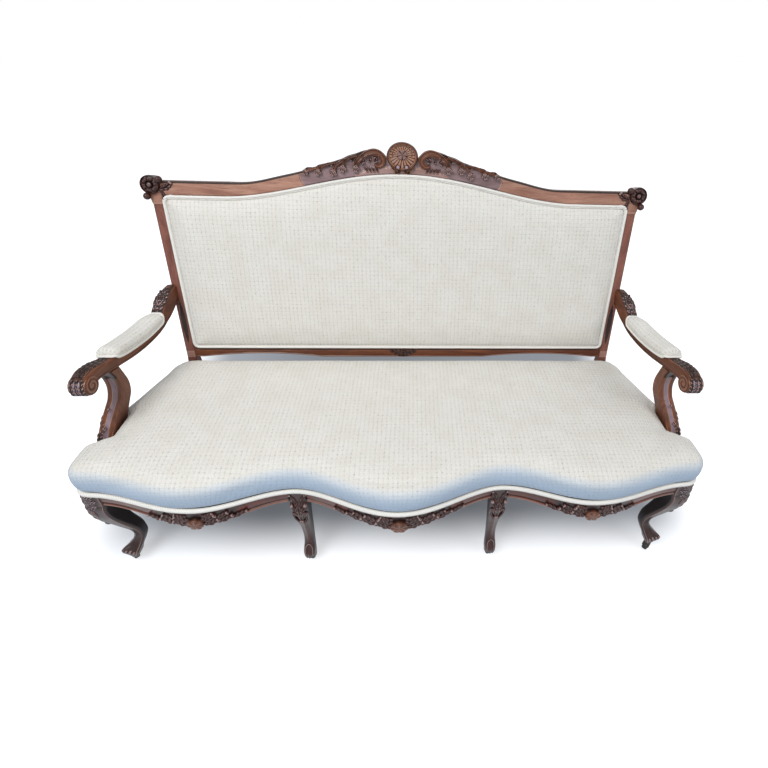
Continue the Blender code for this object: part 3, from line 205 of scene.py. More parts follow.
SIDE_LINE_SHARES = (
    (0.0, 0.0), (0.10, 0.0), (0.22, 0.07), (0.44, 0.33), (0.66, 0.63), (0.83, 0.86), (1.0, 1.0),
)


def side_line(y):
    """The outer face of a side rail, seen from above, from the corner leg back to the post."""
    start = CORNER_BLOCK - LEG_PROUD
    share = np.clip((np.asarray(y, float) - start) / (BACK_FOOT_Y - JOINT_GAP - start), 0.0, 1.0)
    return FRONT_HALF - table_at(SIDE_LINE_SHARES, share)[0] * (FRONT_HALF - REAR_HALF)


def post_x(height):
    """The middle of a back post at a height in the plane of the back."""
    return POST_FOOT_X + POST_FLARE * height / CREST_JOINT


def raked(x, depth, height):
    """A point of the raked back: depth runs behind its front face, height up its slope."""
    x, depth, height = np.broadcast_arrays(x, depth, height)
    return np.stack((
        x,
        BACK_FOOT_Y + depth * math.cos(BACK_RAKE) + height * math.sin(BACK_RAKE),
        BACK_FOOT_Z - depth * math.sin(BACK_RAKE) + height * math.cos(BACK_RAKE),
    ), axis=-1)


def panel_top(x):
    """The camelback lower edge of the crest: half a cosine over the hump."""
    share = np.minimum(np.abs(x) / HUMP_HALF, 1.0)
    return PANEL_SIDE + PANEL_CROWN * (0.5 + 0.5 * np.cos(math.pi * share)) ** 0.9


# Meshes from whole arrays


def ring_quads(low, high):
    """The quads between rows of point numbers that each run round a ring."""
    quads = np.stack((low, np.roll(low, -1, 1), np.roll(high, -1, 1), high), axis=-1)
    return quads.reshape(-1, 4)


class Body:
    """Gathers grids of points into one mesh, each point with a tone value and maybe a UV.
    The tone holds real rubbing and bloom of the polish, and painted shade and painted highlight.
    """

    def __init__(self):
        self.points, self.wear, self.uv = [], [], []
        self.sizes, self.corners = [], []
        self.count = 0

    def add_faces(self, faces):
        faces = np.asarray(faces)
        self.corners.append(faces.reshape(-1))
        self.sizes.append(np.full(len(faces), faces.shape[1]))

    def loft(self, rings, wear=None, uv=None, closed=False):
        """Rings of points, (stations, around, 3), joined into a skin; closed joins last to first.

        The skin is turned so that it encloses a positive volume, and each end gets one face."""
        rings = np.asarray(rings, float)
        stations, around = rings.shape[:2]
        index = np.arange(stations * around).reshape(stations, around)
        if closed:
            index = np.vstack((index, index[:1]))
        quads = ring_quads(index[:-1], index[1:])
        flat = rings.reshape(-1, 3)
        a, b, c, d = (flat[quads[:, i]] - flat.mean(0) for i in range(4))
        volume = np.einsum("ij,ij->i", a, np.cross(b, c)) + np.einsum("ij,ij->i", a, np.cross(c, d))
        caps = np.stack((np.arange(around)[::-1], (stations - 1) * around + np.arange(around)))
        if volume.sum() < 0:
            quads, caps = quads[:, ::-1], caps[:, ::-1]
        self.add_faces(quads + self.count)
        if not closed:
            self.add_faces(caps + self.count)
        self.keep(flat, wear, uv)

    def keep(self, flat, wear, uv):
        self.points.append(flat)
        level = np.full(len(flat), 0.5) if wear is None else np.broadcast_to(wear, len(flat))
        self.wear.append(np.asarray(level, float).reshape(-1))
        self.uv.append(np.zeros((len(flat), 2)) if uv is None else np.asarray(uv).reshape(-1, 2))
        self.count += len(flat)

    def mirrored(self):
        """The same body on the other side of the middle, its faces turned to stay outward."""
        twin = Body()
        twin.points = [points * (-1, 1, 1) for points in self.points]
        twin.wear, twin.uv = list(self.wear), list(self.uv)
        for corners, sizes in zip(self.corners, self.sizes):
            size = sizes[0]
            twin.corners.append(corners.reshape(-1, size)[:, ::-1].reshape(-1))
            twin.sizes.append(sizes)
        twin.count = self.count
        return twin

    def build(self, name, material, sharp, uv_name=None):
        """The mesh object, at the origin, smooth but for edges sharper than an angle."""
        points = np.vstack(self.points) + (0.0, SHIFT_Y, 0.0)
        corners = np.concatenate(self.corners)
        sizes = np.concatenate(self.sizes)
        starts = np.concatenate(([0], np.cumsum(sizes)[:-1]))
        mesh = bpy.data.meshes.new(name)
        mesh.vertices.add(len(points))
        mesh.vertices.foreach_set("co", points.astype(np.float32).ravel())
        mesh.loops.add(len(corners))
        mesh.loops.foreach_set("vertex_index", corners.astype(np.int32))
        mesh.polygons.add(len(sizes))
        mesh.polygons.foreach_set("loop_start", starts.astype(np.int32))
        mesh.update(calc_edges=True)
        # Per-point value: real rubbing and bloom, with painted shade in hollows and on shaded
        # faces, and painted highlight on ridges
        wear_and_shade_values = mesh.attributes.new("wear", "FLOAT", "POINT")
        wear_and_shade_values.data.foreach_set("value", np.concatenate(self.wear).astype(np.float32))
        if uv_name:
            layer = mesh.uv_layers.new(name=uv_name)
            layer.data.foreach_set("uv", np.vstack(self.uv)[corners].astype(np.float32).ravel())
        mesh.validate()
        mesh.shade_smooth()
        mesh.set_sharp_from_angle(angle=math.radians(sharp))
        thing = bpy.data.objects.new(name, mesh)
        bpy.context.scene.collection.objects.link(thing)
        mesh.materials.append(material)
        return thing


def rounded_section(half_a, half_b, radius, corner_points=4, side_points=0):
    """A rectangle with rounded corners, as shares for whole arrays of half sizes.

    Each corner is a quarter turn of the radius, and side_points more lie along each side."""
    turns = np.radians(np.linspace(0.0, 90.0, corner_points))
    across, up = [], []
    for corner in range(4):
        sign_a = 1 if corner in (0, 3) else -1
        sign_b = 1 if corner in (0, 1) else -1
        angle = turns + math.radians(90 * corner)
        across.append(sign_a * (half_a - radius)[:, None] + radius[:, None] * np.cos(angle))
        up.append(sign_b * (half_b - radius)[:, None] + radius[:, None] * np.sin(angle))
        if side_points:
            following = (corner + 1) % 4
            next_a = 1 if following in (0, 3) else -1
            next_b = 1 if following in (0, 1) else -1
            start = angle[-1]
            shares = np.arange(1, side_points + 1) / (side_points + 1)
            a0 = sign_a * (half_a - radius) + radius * math.cos(start)
            b0 = sign_b * (half_b - radius) + radius * math.sin(start)
            a1 = next_a * (half_a - radius) + radius * math.cos(start)
            b1 = next_b * (half_b - radius) + radius * math.sin(start)
            across.append(a0[:, None] + (a1 - a0)[:, None] * shares)
            up.append(b0[:, None] + (b1 - b0)[:, None] * shares)
    return np.concatenate(across, axis=1), np.concatenate(up, axis=1)


def tube_rings(path, radius, around):
    """Rings round a closed path that runs nearly level: each is a circle square to the path."""
    along = unit(np.roll(path, -1, axis=0) - np.roll(path, 1, axis=0))
    side = unit(np.cross(along, (0.0, 0.0, 1.0)))
    top = np.cross(side, along)
    turn = np.linspace(0.0, math.tau, around, endpoint=False)[None, :, None]
    circle = np.cos(turn) * side[:, None] + np.sin(turn) * top[:, None]
    return path[:, None] + radius * circle


# Finishes


WHITE = (1.0, 1.0, 1.0, 1.0)


def add(tree, kind, settings=None, links=None):
    """Adds a node, sets its properties, and gives its inputs a value or another node's output."""
    node = tree.nodes.new(kind)
    for name, value in (settings or {}).items():
        setattr(node, name, value)
    for key, value in (links or {}).items():
        if isinstance(value, bpy.types.NodeSocket):
            tree.links.new(value, node.inputs[key])
        else:
            node.inputs[key].default_value = value
    return node


def noise(tree, place, size, detail, roughness=0.5, distortion=0.0):
    """A noise node whose broadest blotches are about a size across, in metres."""
    return add(tree, "ShaderNodeTexNoise", links={
        "Vector": place, "Scale": 1 / size, "Detail": detail, "Roughness": roughness,
        "Distortion": distortion,
    })


def ramp(tree, value, low, high, start=0.0, end=1.0, kind="LINEAR"):
    """A value carried from the span low to high onto start to end, and held beyond them."""
    return add(tree, "ShaderNodeMapRange", {"interpolation_type": kind}, {
        "Value": value, "From Min": low, "From Max": high, "To Min": start, "To Max": end,
    }).outputs["Result"]


def blend(tree, share, first, second):
    """The first colour, turning into the second as the share grows."""
    return add(tree, "ShaderNodeMix", {"data_type": "RGBA"}, {
        "Factor": share, 6: first, 7: second,
    }).outputs[2]


def maths(tree, operation, *values):
    """The result of an operation on numbers."""
    links = dict(enumerate(values))
    return add(tree, "ShaderNodeMath", {"operation": operation}, links).outputs["Value"]


def vector_maths(tree, operation, *values, result="Vector", **named):
    """The result of an operation on vectors."""
    links = {**dict(enumerate(values)), **named}
    return add(tree, "ShaderNodeVectorMath", {"operation": operation}, links).outputs[result]


def object_place(tree):
    """The object's own coordinates, in metres."""
    return add(tree, "ShaderNodeTexCoord").outputs["Object"]


def along_grain(tree, place, scale):
    """Coordinates stretched along the grain, where the scale is small."""
    return add(tree, "ShaderNodeMapping", links={
        "Vector": place, "Scale": scale,
    }).outputs["Vector"]


def ruled(tree, place, period):
    """Lines ruled at a period: the size of a sine along X and along Y, zero on each line."""
    waves = vector_maths(tree, "SINE", vector_maths(tree, "SCALE", place, Scale=math.pi / period))
    waves = vector_maths(tree, "ABSOLUTE", waves)
    return add(tree, "ShaderNodeSeparateXYZ", links={"Vector": waves}).outputs


def wear_and_shade_of(tree):
    """The per-point value of the mesh, which paints shade and highlight as well as real rubbing."""
    return add(tree, "ShaderNodeAttribute", {"attribute_name": "wear"}).outputs["Fac"]


def looked_at(tree):
    """1 for a ray that shows the thing, straight, mirrored or through another, and 0 for light."""
    ray = add(tree, "ShaderNodeLightPath").outputs
    shown = maths(tree, "MAXIMUM", ray["Is Camera Ray"], ray["Is Glossy Ray"])
    return maths(tree, "MAXIMUM", shown, ray["Is Transmission Ray"])


def new_material(name):
    """A material with only its output node, and that node."""
    made = bpy.data.materials.new(name)
    made.use_nodes = True
    made.node_tree.nodes.clear()
    return made, made.node_tree, made.node_tree.nodes.new("ShaderNodeOutputMaterial")


def surface(tree, out, colour, roughness, height, strength, distance, more=None):
    """Ends a material with its shader, whose relief is a height over a distance in metres."""
    relief = add(tree, "ShaderNodeBump", links={
        "Height": height, "Strength": strength, "Distance": distance,
    })
    shader = add(tree, "ShaderNodeBsdfPrincipled", links={
        "Base Color": colour, "Roughness": roughness, "Normal": relief.outputs["Normal"],
        **(more or {}),
    })
    tree.links.new(shader.outputs["BSDF"], out.inputs["Surface"])


GRAIN_AXES = {"x": (0.10, 1.0, 1.0), "y": (1.0, 0.10, 1.0), "z": (1.0, 1.0, 0.10)}
# Roughness of the shellac film, from its clear spots to its dull ones
FILM_ROUGHNESS = (0.30, 0.46)


def polished_walnut(name, axis, hollow, body, streak, rub_and_sheen):
    """French-polished walnut: straight red-brown grain under a thin glossy film of shellac.

    To the eye it is warm streaks 3 to 12 mm wide along the board, open pores as fine dark ticks,
    near-black hollows, paler edges and ridges, and a grey-mauve bloom where the film has dulled.
    The near-black is old wax together with painted shade in recesses and on faces turned from the
    light; the paler edges are polish thinned where hands have been, together with a painted
    highlight. The per-point attribute drives these: dark below 0.46, pale above 0.56, bloomed
    above 1.05, and a painted silvery highlight above 1.60."""
    made, tree, out = new_material(name)
    place = object_place(tree)
    grained = along_grain(tree, place, GRAIN_AXES[axis])
    broad = noise(tree, grained, 0.030, 5.0, 0.62, 1.4).outputs["Fac"]
    fine = noise(tree, grained, 0.006, 6.0, 0.7).outputs["Fac"]
    pores = noise(tree, grained, 0.0016, 2.0).outputs["Fac"]
    cloudy = noise(tree, place, 0.16, 2.0).outputs["Fac"]
    wear_and_shade_values = wear_and_shade_of(tree)
    streaks = ramp(tree, broad, 0.36, 0.66)
    wood = blend(tree, streaks, body, streak)
    bloom = blend(tree, streaks, linear("#82707a"), linear("#4f4049"))
    for value, low, high, most, colour in (
        (fine, 0.35, 0.75, 0.42, hollow),               # grain lines
        (pores, 0.60, 0.72, 0.35, hollow),              # open pores
        (cloudy, 0.35, 0.70, 0.28, hollow),             # darker patches of the board
        (wear_and_shade_values, 0.46, 0.10, 0.92, linear("#130a0a")),    # old wax in the hollows, and painted shade in recesses and on faces turned from the light
        (wear_and_shade_values, 0.56, 0.95, 0.66, rub_and_sheen),                  # pale edges: thinned polish, and a painted highlight on ridges
        (wear_and_shade_values, 1.05, 1.55, 0.90, bloom),                # dulled film
        (wear_and_shade_values, 1.60, 1.95, 0.85, linear("#a89db0")),    # painted silvery highlight on ribs and turned faces
    ):
        wood = blend(tree, ramp(tree, value, low, high, 0.0, most), wood, colour)
    film = ramp(tree, fine, 0.3, 0.8, *FILM_ROUGHNESS)
    surface(tree, out, wood, film, pores, 0.25, 0.00025, {
        "Specular IOR Level": 0.30, "Coat Weight": 0.10, "Coat Roughness": 0.18,
    })
    return made


FINE_THREAD = 0.0016


def waffle_cloth(name, cloth, warm, fleck, period):
    """Cotton waffle cloth: a 12.5 mm check with sunk lines, and a grey weft dash at each crossing.

    To the eye it is a matt cream field ruled into small soft squares, with short grey dashes that
    come and go. Threads of 1.6 mm roughen the squares and fleck them. The per-point attribute
    tints it with painted shade: a cool blue-grey shade above 1.0, on faces turned away from the
    light, and a grey shade below 0.45, in the tucks."""
    made, tree, out = new_material(name)
    uv = add(tree, "ShaderNodeUVMap", {"uv_map": "weave"}).outputs["UV"]
    drift = noise(tree, uv, 0.06, 2.0).outputs
    shifted = vector_maths(tree, "MULTIPLY_ADD", drift["Color"], (period * 0.45,) * 3, uv)
    sunk = ruled(tree, shifted, period)
    across, along, gate = (
        ramp(tree, sunk[axis], high, low, kind="SMOOTHSTEP")
        for axis, high, low in (("X", 0.50, 0.05), ("Y", 0.58, 0.08), ("X", 0.86, 0.42))
    )
    dash = maths(tree, "MULTIPLY", along, gate)
    faint = maths(tree, "MULTIPLY", across, 0.60)
    groove = maths(tree, "MAXIMUM", across, along)
    thread = noise(tree, uv, FINE_THREAD, 3.0, 0.6).outputs["Fac"]
    mottle = noise(tree, uv, 0.010, 4.0, 0.8).outputs["Fac"]
    mark = maths(tree, "MAXIMUM", dash, faint)
    mark = maths(tree, "MULTIPLY", mark, ramp(tree, mottle, 0.38, 0.62, 0.0, 0.80))
    mark = maths(tree, "MAXIMUM", mark, ramp(tree, thread, 0.46, 0.70, 0.0, 0.80))
    ground = blend(tree, ramp(tree, drift["Fac"], 0.35, 0.65), cloth, warm)
    colour = blend(tree, mark, ground, fleck)
    wear_and_shade_values = wear_and_shade_of(tree)
    # Painted shade: cool blue-grey above 1.0, and grey in the tucks below 0.45
    for start, end, share, cast in ((1.0, 1.5, 0.62, "#96bbdf"), (0.45, 0.10, 0.70, "#77746f")):
        colour = blend(tree, ramp(tree, wear_and_shade_values, start, end, 0.0, share), colour, linear(cast))
    height = maths(tree, "MULTIPLY_ADD", groove, -2.0, thread)
    surface(tree, out, colour, 0.93, height, 0.5, 0.0005, {
        "Sheen Weight": 0.12, "Sheen Roughness": 0.5, "Specular IOR Level": 0.2,
    })
    return made


def cord_cloth(name, cloth, shade, pitch):
    """Cotton cloth sewn round a cord: a matt off-white skin whose slanting weave shows as ribs.

    To the eye it is paler and smoother than the seat, with small bumps at a steady pitch."""
    made, tree, out = new_material(name)
    uv = add(tree, "ShaderNodeUVMap", {"uv_map": "weave"}).outputs["UV"]
    ribs = add(tree, "ShaderNodeTexWave", {"wave_type": "BANDS", "bands_direction": "DIAGONAL"}, {
        "Vector": uv, "Scale": 0.31 / pitch, "Distortion": 1.2, "Detail": 1.0, "Detail Scale": 2.0,
    }).outputs["Fac"]
    mottle = noise(tree, uv, 0.009, 3.0).outputs["Fac"]
    colour = blend(tree, maths(tree, "MULTIPLY", ribs, mottle), shade, cloth)
    surface(tree, out, colour, 0.9, ribs, 0.5, 0.0005, {
        "Sheen Weight": 0.12, "Specular IOR Level": 0.2,
    })
    return made


def sawn_beech(name):
    """Sawn beech rails, left bare: pale tan with small darker flecks along the grain."""
    made, tree, out = new_material(name)
    grained = along_grain(tree, object_place(tree), (0.15, 1.0, 1.0))
    flecks = noise(tree, grained, 0.004, 4.0).outputs["Fac"]
    level = ramp(tree, flecks, 0.35, 0.70)
    colour = blend(tree, level, linear("#b98d5e"), linear("#8f6640"))
    surface(tree, out, colour, 0.7, flecks, 0.5, 0.0004)
    return made


def plain_weave(name, thread, gap, pitch):
    """A plain woven cloth: crossed threads at a pitch, darker in the pits between them."""
    made, tree, out = new_material(name)
    split = ruled(tree, object_place(tree), pitch)
    level = maths(tree, "MULTIPLY", split["X"], split["Y"])
    surface(tree, out, blend(tree, level, gap, thread), 0.95, level, 0.6, 0.0005)
    return made


def dull_metal(name, clean, stained, roughness, metallic):
    """Old cast or drawn metal: a dull skin, mottled at 3 mm where it is tarnished or handled."""
    made, tree, out = new_material(name)
    spots = noise(tree, object_place(tree), 0.003, 5.0, 0.7).outputs["Fac"]
    level = ramp(tree, spots, 0.38, 0.62)
    film = ramp(tree, level, 0.0, 1.0, roughness, roughness + 0.25)
    colour = blend(tree, level, clean, stained)
    surface(tree, out, colour, film, spots, 0.4, 0.0002, {"Metallic": metallic})
    return made


# Half sizes and middle of the box on the floor where the lift stays low, for a painted shadow round
# the object, and the fade outside it, in metres
SHADE_HALF = (0.84, 0.58)
SHADE_MIDDLE_Y = 0.50
SHADE_FADE = 0.26


def stage_floor(name, colour):
    """Matt painted floor: pale and even, and lifted to white for the camera away from the object.

    The lift grows with the distance outside a box on the floor, so the floor stays grey inside the
    box: a painted shadow round the object, over the rendered soft shadow."""
    made, tree, out = new_material(name)
    apart = vector_maths(tree, "SUBTRACT", object_place(tree), (0.0, SHADE_MIDDLE_Y, 0.0))
    apart = vector_maths(tree, "ABSOLUTE", apart)
    apart = vector_maths(tree, "SUBTRACT", apart, (*SHADE_HALF, 0.0))
    apart = vector_maths(tree, "MAXIMUM", apart, (0.0, 0.0, 0.0))
    away = vector_maths(tree, "LENGTH", apart, result="Value")
    lift = ramp(tree, away, 0.0, SHADE_FADE, 0.03, 0.95, kind="SMOOTHSTEP")
    matt = add(tree, "ShaderNodeBsdfDiffuse", links={"Color": colour})
    strength = maths(tree, "MULTIPLY", looked_at(tree), lift)
    glow = add(tree, "ShaderNodeEmission", links={"Color": WHITE, "Strength": strength})
    both = add(tree, "ShaderNodeAddShader", links={
        0: matt.outputs["BSDF"], 1: glow.outputs["Emission"],
    })
    tree.links.new(both.outputs["Shader"], out.inputs["Surface"])
    return made


# Upholstery


def coons(front, right, rear, left):
    """A grid inside four runs of points: each point is blended from the four sides.

    Front and rear run from left to right, left and right run from front to rear."""
    u = np.linspace(0.0, 1.0, len(front))[None, :, None]
    v = np.linspace(0.0, 1.0, len(right))[:, None, None]
    ruled = front[None] * (1 - v) + rear[None] * v + left[:, None] * (1 - u) + right[:, None] * u
    corners = (front[0] * (1 - u) + front[-1] * u) * (1 - v)
    return ruled - corners - (rear[0] * (1 - u) + rear[-1] * u) * v


def inset_loop(loop, distance):
    """A counter-clockwise loop moved inwards by a distance, mitred at its corners."""
    steps = unit(np.roll(loop, -1, axis=0) - loop)
    ahead = np.stack((-steps[:, 1], steps[:, 0]), axis=1)
    behind = np.roll(ahead, 1, axis=0)
    spread = np.maximum(1 + np.einsum("ij,ij->i", ahead, behind), 0.6)
    return loop + (ahead + behind) / spread[:, None] * distance


def loop_of(front, right, rear, left):
    """One counter-clockwise loop from four runs."""
    return np.vstack((front[:-1], right[:-1], rear[::-1][:-1], left[::-1][:-1]))


# The painted cool shade of a stuffed cover is full in front of FRONT_COOL_Y and fades to REST_COOL
# behind it
PLAIN_TONE = 0.5
FRONT_COOL_Y = 0.02
FRONT_COOL_FADE = 0.05
REST_COOL = 0.25


def stuffed(runs, profile, dome, lift, tones=None):
    """A stuffed cover: rings of (inset, level) round its sides, then a domed grid inside them.

    dome gives the added height from the grid's shares across and along, each from -1 to 1. lift
    turns flat points and levels into space. tones are the per-point values of the rings, which
    paint shade: a cool shade above 1.0, full in front and weaker behind, and a grey shade in tucks
    below 0.45. The UV is the flat place, run on outwards by the length of cloth down the side.
    Returns the body and the count of points in its two hem rings."""
    loop = loop_of(*runs)
    across, along = len(runs[0]) - 1, len(runs[1]) - 1
    count = len(loop)
    made = Body()
    profile = np.asarray(profile, float)
    drop = np.linalg.norm(np.diff(profile, axis=0), axis=1)[::-1].cumsum()[::-1]
    points, weave = [], []
    for (inset, level), length in zip(profile, np.append(drop, 0.0)):
        ring = inset_loop(loop, inset)
        points.append(lift(ring, np.full(count, level)))
        weave.append(inset_loop(loop, profile[-1, 0] - length))
    rim = inset_loop(loop, profile[-1, 0])
    rim = np.vstack((rim, rim[:1]))
    front, right = rim[:across + 1], rim[across:across + along + 1]
    rear = rim[across + along:2 * across + along + 1][::-1]
    left = rim[2 * across + along:][::-1]
    grid = coons(front, right, rear, left)[1:-1, 1:-1]
    u = np.linspace(-1.0, 1.0, across + 1)[None, 1:-1]
    v = np.linspace(-1.0, 1.0, along + 1)[1:-1, None]
    level = profile[-1, 1] + dome(u, v)
    points.append(lift(grid.reshape(-1, 2), np.broadcast_to(level, grid.shape[:2]).reshape(-1)))
    weave.append(grid.reshape(-1, 2))
    rings = np.arange(len(profile) * count).reshape(len(profile), count)
    made.add_faces(ring_quads(rings[:-1], rings[1:]))
    top = np.append(rings[-1], rings[-1, 0])
    index = np.empty((along + 1, across + 1), int)
    index[0] = top[:across + 1]
    index[:, -1] = top[across:across + along + 1]
    index[-1] = top[across + along:2 * across + along + 1][::-1]
    index[:, 0] = top[2 * across + along:][::-1]
    inner = np.arange(grid.size // 2)
    index[1:-1, 1:-1] = rings.size + inner.reshape(grid.shape[:2])
    field = np.stack((index[:-1, :-1], index[:-1, 1:], index[1:, 1:], index[1:, :-1]), axis=-1)
    made.add_faces(field.reshape(-1, 4))
    made.add_faces(np.arange(count)[::-1][None])
    tone = np.full(rings.size + inner.size, PLAIN_TONE)
    if tones is not None:
        tone[:rings.size] = np.repeat(tones, count)
    points = np.vstack(points)
    # Painted cool shade: full on the cover's front, weaker behind
    front = smooth(points[:, 1], FRONT_COOL_Y + FRONT_COOL_FADE, FRONT_COOL_Y)
    kept = REST_COOL + (1 - REST_COOL) * front
    tone = np.where(tone > 1.0, 1.0 + (tone - 1.0) * kept, tone)
    made.keep(points, tone, np.vstack(weave))
    return made, 2 * count


# The cloth simulation of the covers
SWELL_FRAMES = 20
SWELL_STEPS = 2
COVER_BENDING = 0.4


def swell(thing, hem, pressure, limit):
    """Lets a stitched cover swell as cloth under an even push from inside, its hem held.

    No point moves further than the limit from its cut place: the move is the limit times the
    hyperbolic tangent of its length over the limit. The cover is then subdivided once."""
    mesh = thing.data
    cut = np.empty(len(mesh.vertices) * 3, np.float32)
    mesh.vertices.foreach_get("co", cut)
    held = thing.vertex_groups.new(name="hem")
    held.add(list(range(hem)), 1.0, "REPLACE")
    cover = thing.modifiers.new("cover", "CLOTH")
    cover.settings.quality = SWELL_STEPS
    cover.settings.effector_weights.gravity = 0.0
    cover.settings.use_pressure = True
    cover.settings.uniform_pressure_force = pressure
    cover.settings.vertex_group_mass = "hem"
    cover.settings.bending_stiffness = COVER_BENDING
    cover.point_cache.frame_start, cover.point_cache.frame_end = 1, SWELL_FRAMES
    for number in range(1, SWELL_FRAMES + 1):
        bpy.context.scene.frame_set(number)
    grown = thing.evaluated_get(bpy.context.evaluated_depsgraph_get()).data
    after = np.empty(len(mesh.vertices) * 3, np.float32)
    grown.vertices.foreach_get("co", after)
    bpy.context.scene.frame_set(1)
    thing.modifiers.remove(cover)
    thing.vertex_groups.remove(held)
    move = (after - cut).reshape(-1, 3)
    length = np.maximum(np.linalg.norm(move, axis=1, keepdims=True), 1e-9)
    move *= limit * np.tanh(length / limit) / length
    mesh.vertices.foreach_set("co", cut + move.reshape(-1))
    finer = thing.modifiers.new("finer", "SUBSURF")
    finer.levels = finer.render_levels = 1
    with bpy.context.temp_override(object=thing, active_object=thing):
        bpy.ops.object.modifier_apply(modifier=finer.name)


# The seat: its straight rear edge, the rise of its rear half and the round of its front corners
SEAT_REAR_Y = 0.467
REAR_RISE = 0.009
CORNER_ROUND = 0.042
SEAT_SPANS = (100, 34)
SEAT_TUCK = 2 * WELT_RADIUS + 3 * JOINT_GAP
SEAT_PROFILE = (
    (SEAT_TUCK, 0.0), (SEAT_TUCK, 0.0076), (0.0110, 0.0086), (0.0070, 0.0100), (0.0032, 0.0124),
    (0.0004, 0.0170), (-0.0018, 0.0240), (-0.0034, 0.0330), (-0.0042, 0.0440), (-0.0038, 0.0560),
    (-0.0018, 0.0700), (0.0030, 0.0778), (0.0100, 0.0838), (0.0195, 0.0875), (0.0300, 0.0900),
)
# Per-point values of the seat's rings: from 1.1 to 1.5 they paint a cool blue shade on the front
# roll
SEAT_TONES = (0.5, 0.5, 0.5, 0.9, 1.3, 1.5, 1.5, 1.5, 1.5, 1.45, 1.35, 1.22, 1.1, 0.95, 0.7)
# The cord on the seat's edge: its radius, how far it leans out and sits up, and its UV length
WELT_DRAWN, WELT_LEAN, WELT_LIFT = 0.0064, 0.0016, 0.0036
WELT_UV_RUN = 2.35
SUPPORT_FACE = 0.797
SUPPORT_SPAN = (0.114, 0.222)


def arc(middle, radius, turn):
    """Points of a circle at the given angles."""
    return np.stack((middle[0] + radius * np.cos(turn), middle[1] + radius * np.sin(turn)), axis=1)


def seat_runs():
    """The edge of the seat cover in four runs: serpentine front, sides and a straight rear."""
    across, along = SEAT_SPANS
    radius = CORNER_ROUND
    middle = (FRONT_HALF + WELT_OVERHANG - radius, VALLEY_Y - WELT_OVERHANG + radius)
    turn = np.radians(np.linspace(-90.0, 0.0, 13))
    corner = arc(middle, radius, turn)
    x = np.linspace(0.0, middle[0], 90)
    bow = np.stack((x, front_line(x) - WELT_OVERHANG), axis=1)
    half = evenly(np.vstack((bow[:-1], corner[:7])), across // 2 + 1)
    front = np.vstack((half[:0:-1] * (-1, 1), half))
    y = np.linspace(middle[1], SEAT_REAR_Y, 60)
    side = np.stack((side_line(y) + WELT_OVERHANG, y), axis=1)
    right = evenly(np.vstack((corner[6:-1], side)), along + 1)
    rear = np.stack((np.linspace(-1.0, 1.0, across + 1) * right[-1, 0],
                     np.full(across + 1, SEAT_REAR_Y)), axis=1)
    return front, right, rear, right * (-1, 1)


def round_support(flat):
    """Draws the seat's side in where it passes the arm support, and lets it out again behind."""
    x, y = np.abs(flat[:, 0]), flat[:, 1]
    inside = smooth(y, SUPPORT_SPAN[0] - 0.010, SUPPORT_SPAN[0] + 0.002)
    inside *= 1 - smooth(y, SUPPORT_SPAN[1] - 0.002, SUPPORT_SPAN[1] + 0.014)
    root = 0.68
    edge = side_line(y) + WELT_OVERHANG
    pull = 1 + inside * ((SUPPORT_FACE - root) / (edge - root) - 1)
    x = np.where(x > root, root + (x - root) * pull, x)
    return np.stack((np.sign(flat[:, 0]) * x, y), axis=1)


def seat_cover():
    """The domed seat: a full front roll, a long low crown, and sides let in round the supports."""
    def dome(u, v):
        return 0.0155 * (1 - np.abs(u) ** 12) * (1 - np.abs(v) ** 3)

    def lift(flat, level):
        x, y = round_support(flat).T
        root, limit = 0.60, REAR_HALF - POST_WIDTH - 2 * JOINT_GAP
        edge = side_line(y) + WELT_OVERHANG + 0.0046
        pull = 1 + smooth(flat[:, 1], 0.43, 0.462) * ((limit - root) / (edge - root) - 1)
        x = np.where(np.abs(x) > root, np.sign(x) * (root + (np.abs(x) - root) * pull), x)
        level = level + REAR_RISE * smooth(flat[:, 1], 0.25, 0.45) * smooth(level, 0.045, 0.080)
        return np.stack((x, np.minimum(y, SEAT_REAR_Y), RAIL_TOP + JOINT_GAP + level), axis=1)

    return stuffed(seat_runs(), SEAT_PROFILE, dome, lift, SEAT_TONES)


def seat_welt():
    """The thick cord on the front edge of the rails: a circle carried along the seat's edge.

    Below the rail's top the circle is pressed flat against the wood behind it. It starts at one
    arm support and runs round the front to the other."""
    stop = SUPPORT_SPAN[0] + 0.006
    front, right = seat_runs()[:2]
    across = len(front) - 1
    loop = loop_of(*seat_runs())[across // 2:across + len(right) // 2]
    half = loop[loop[:, 1] < stop]
    half = np.vstack((half, (side_line(stop) + WELT_OVERHANG, stop)))
    edge = evenly(np.vstack((half[:0:-1] * (-1, 1), half)), 420)
    outward = -path_sides(edge)
    turn = np.linspace(0.0, math.tau, 20, endpoint=False)
    out = WELT_LEAN + WELT_DRAWN * np.cos(turn)
    up = WELT_LIFT + WELT_DRAWN * np.sin(turn)
    near_mid = 1 - smooth(np.abs(np.abs(edge[:, 0]) - MID_LEG_X), 0.0255, 0.030)
    block = FRONT_HALF - CORNER_BLOCK
    near_corner = smooth(np.abs(edge[:, 0]), block - LEG_PROUD, block)
    near_corner = near_corner * (1 - smooth(edge[:, 1], CORNER_BLOCK - LEG_PROUD, CORNER_BLOCK))
    wood = JOINT_GAP * 2 + LEG_PROUD * np.maximum(near_mid, near_corner)[:, None]
    out = np.where(up[None] < JOINT_GAP, np.maximum(out[None], wood), out[None]) - WELT_OVERHANG
    flat = edge[:, None] + outward[:, None] * out[..., None]
    level = np.broadcast_to(RAIL_TOP + np.where(up > 0, np.maximum(up, JOINT_GAP), up), out.shape)
    along = np.linspace(0.0, 1.0, len(edge)) * WELT_UV_RUN
    made = Body()
    made.loft(
        np.concatenate((flat, level[..., None]), axis=-1),
        uv=np.stack(np.broadcast_arrays(along[:, None], turn[None] * WELT_DRAWN), axis=-1),
    )
    return made


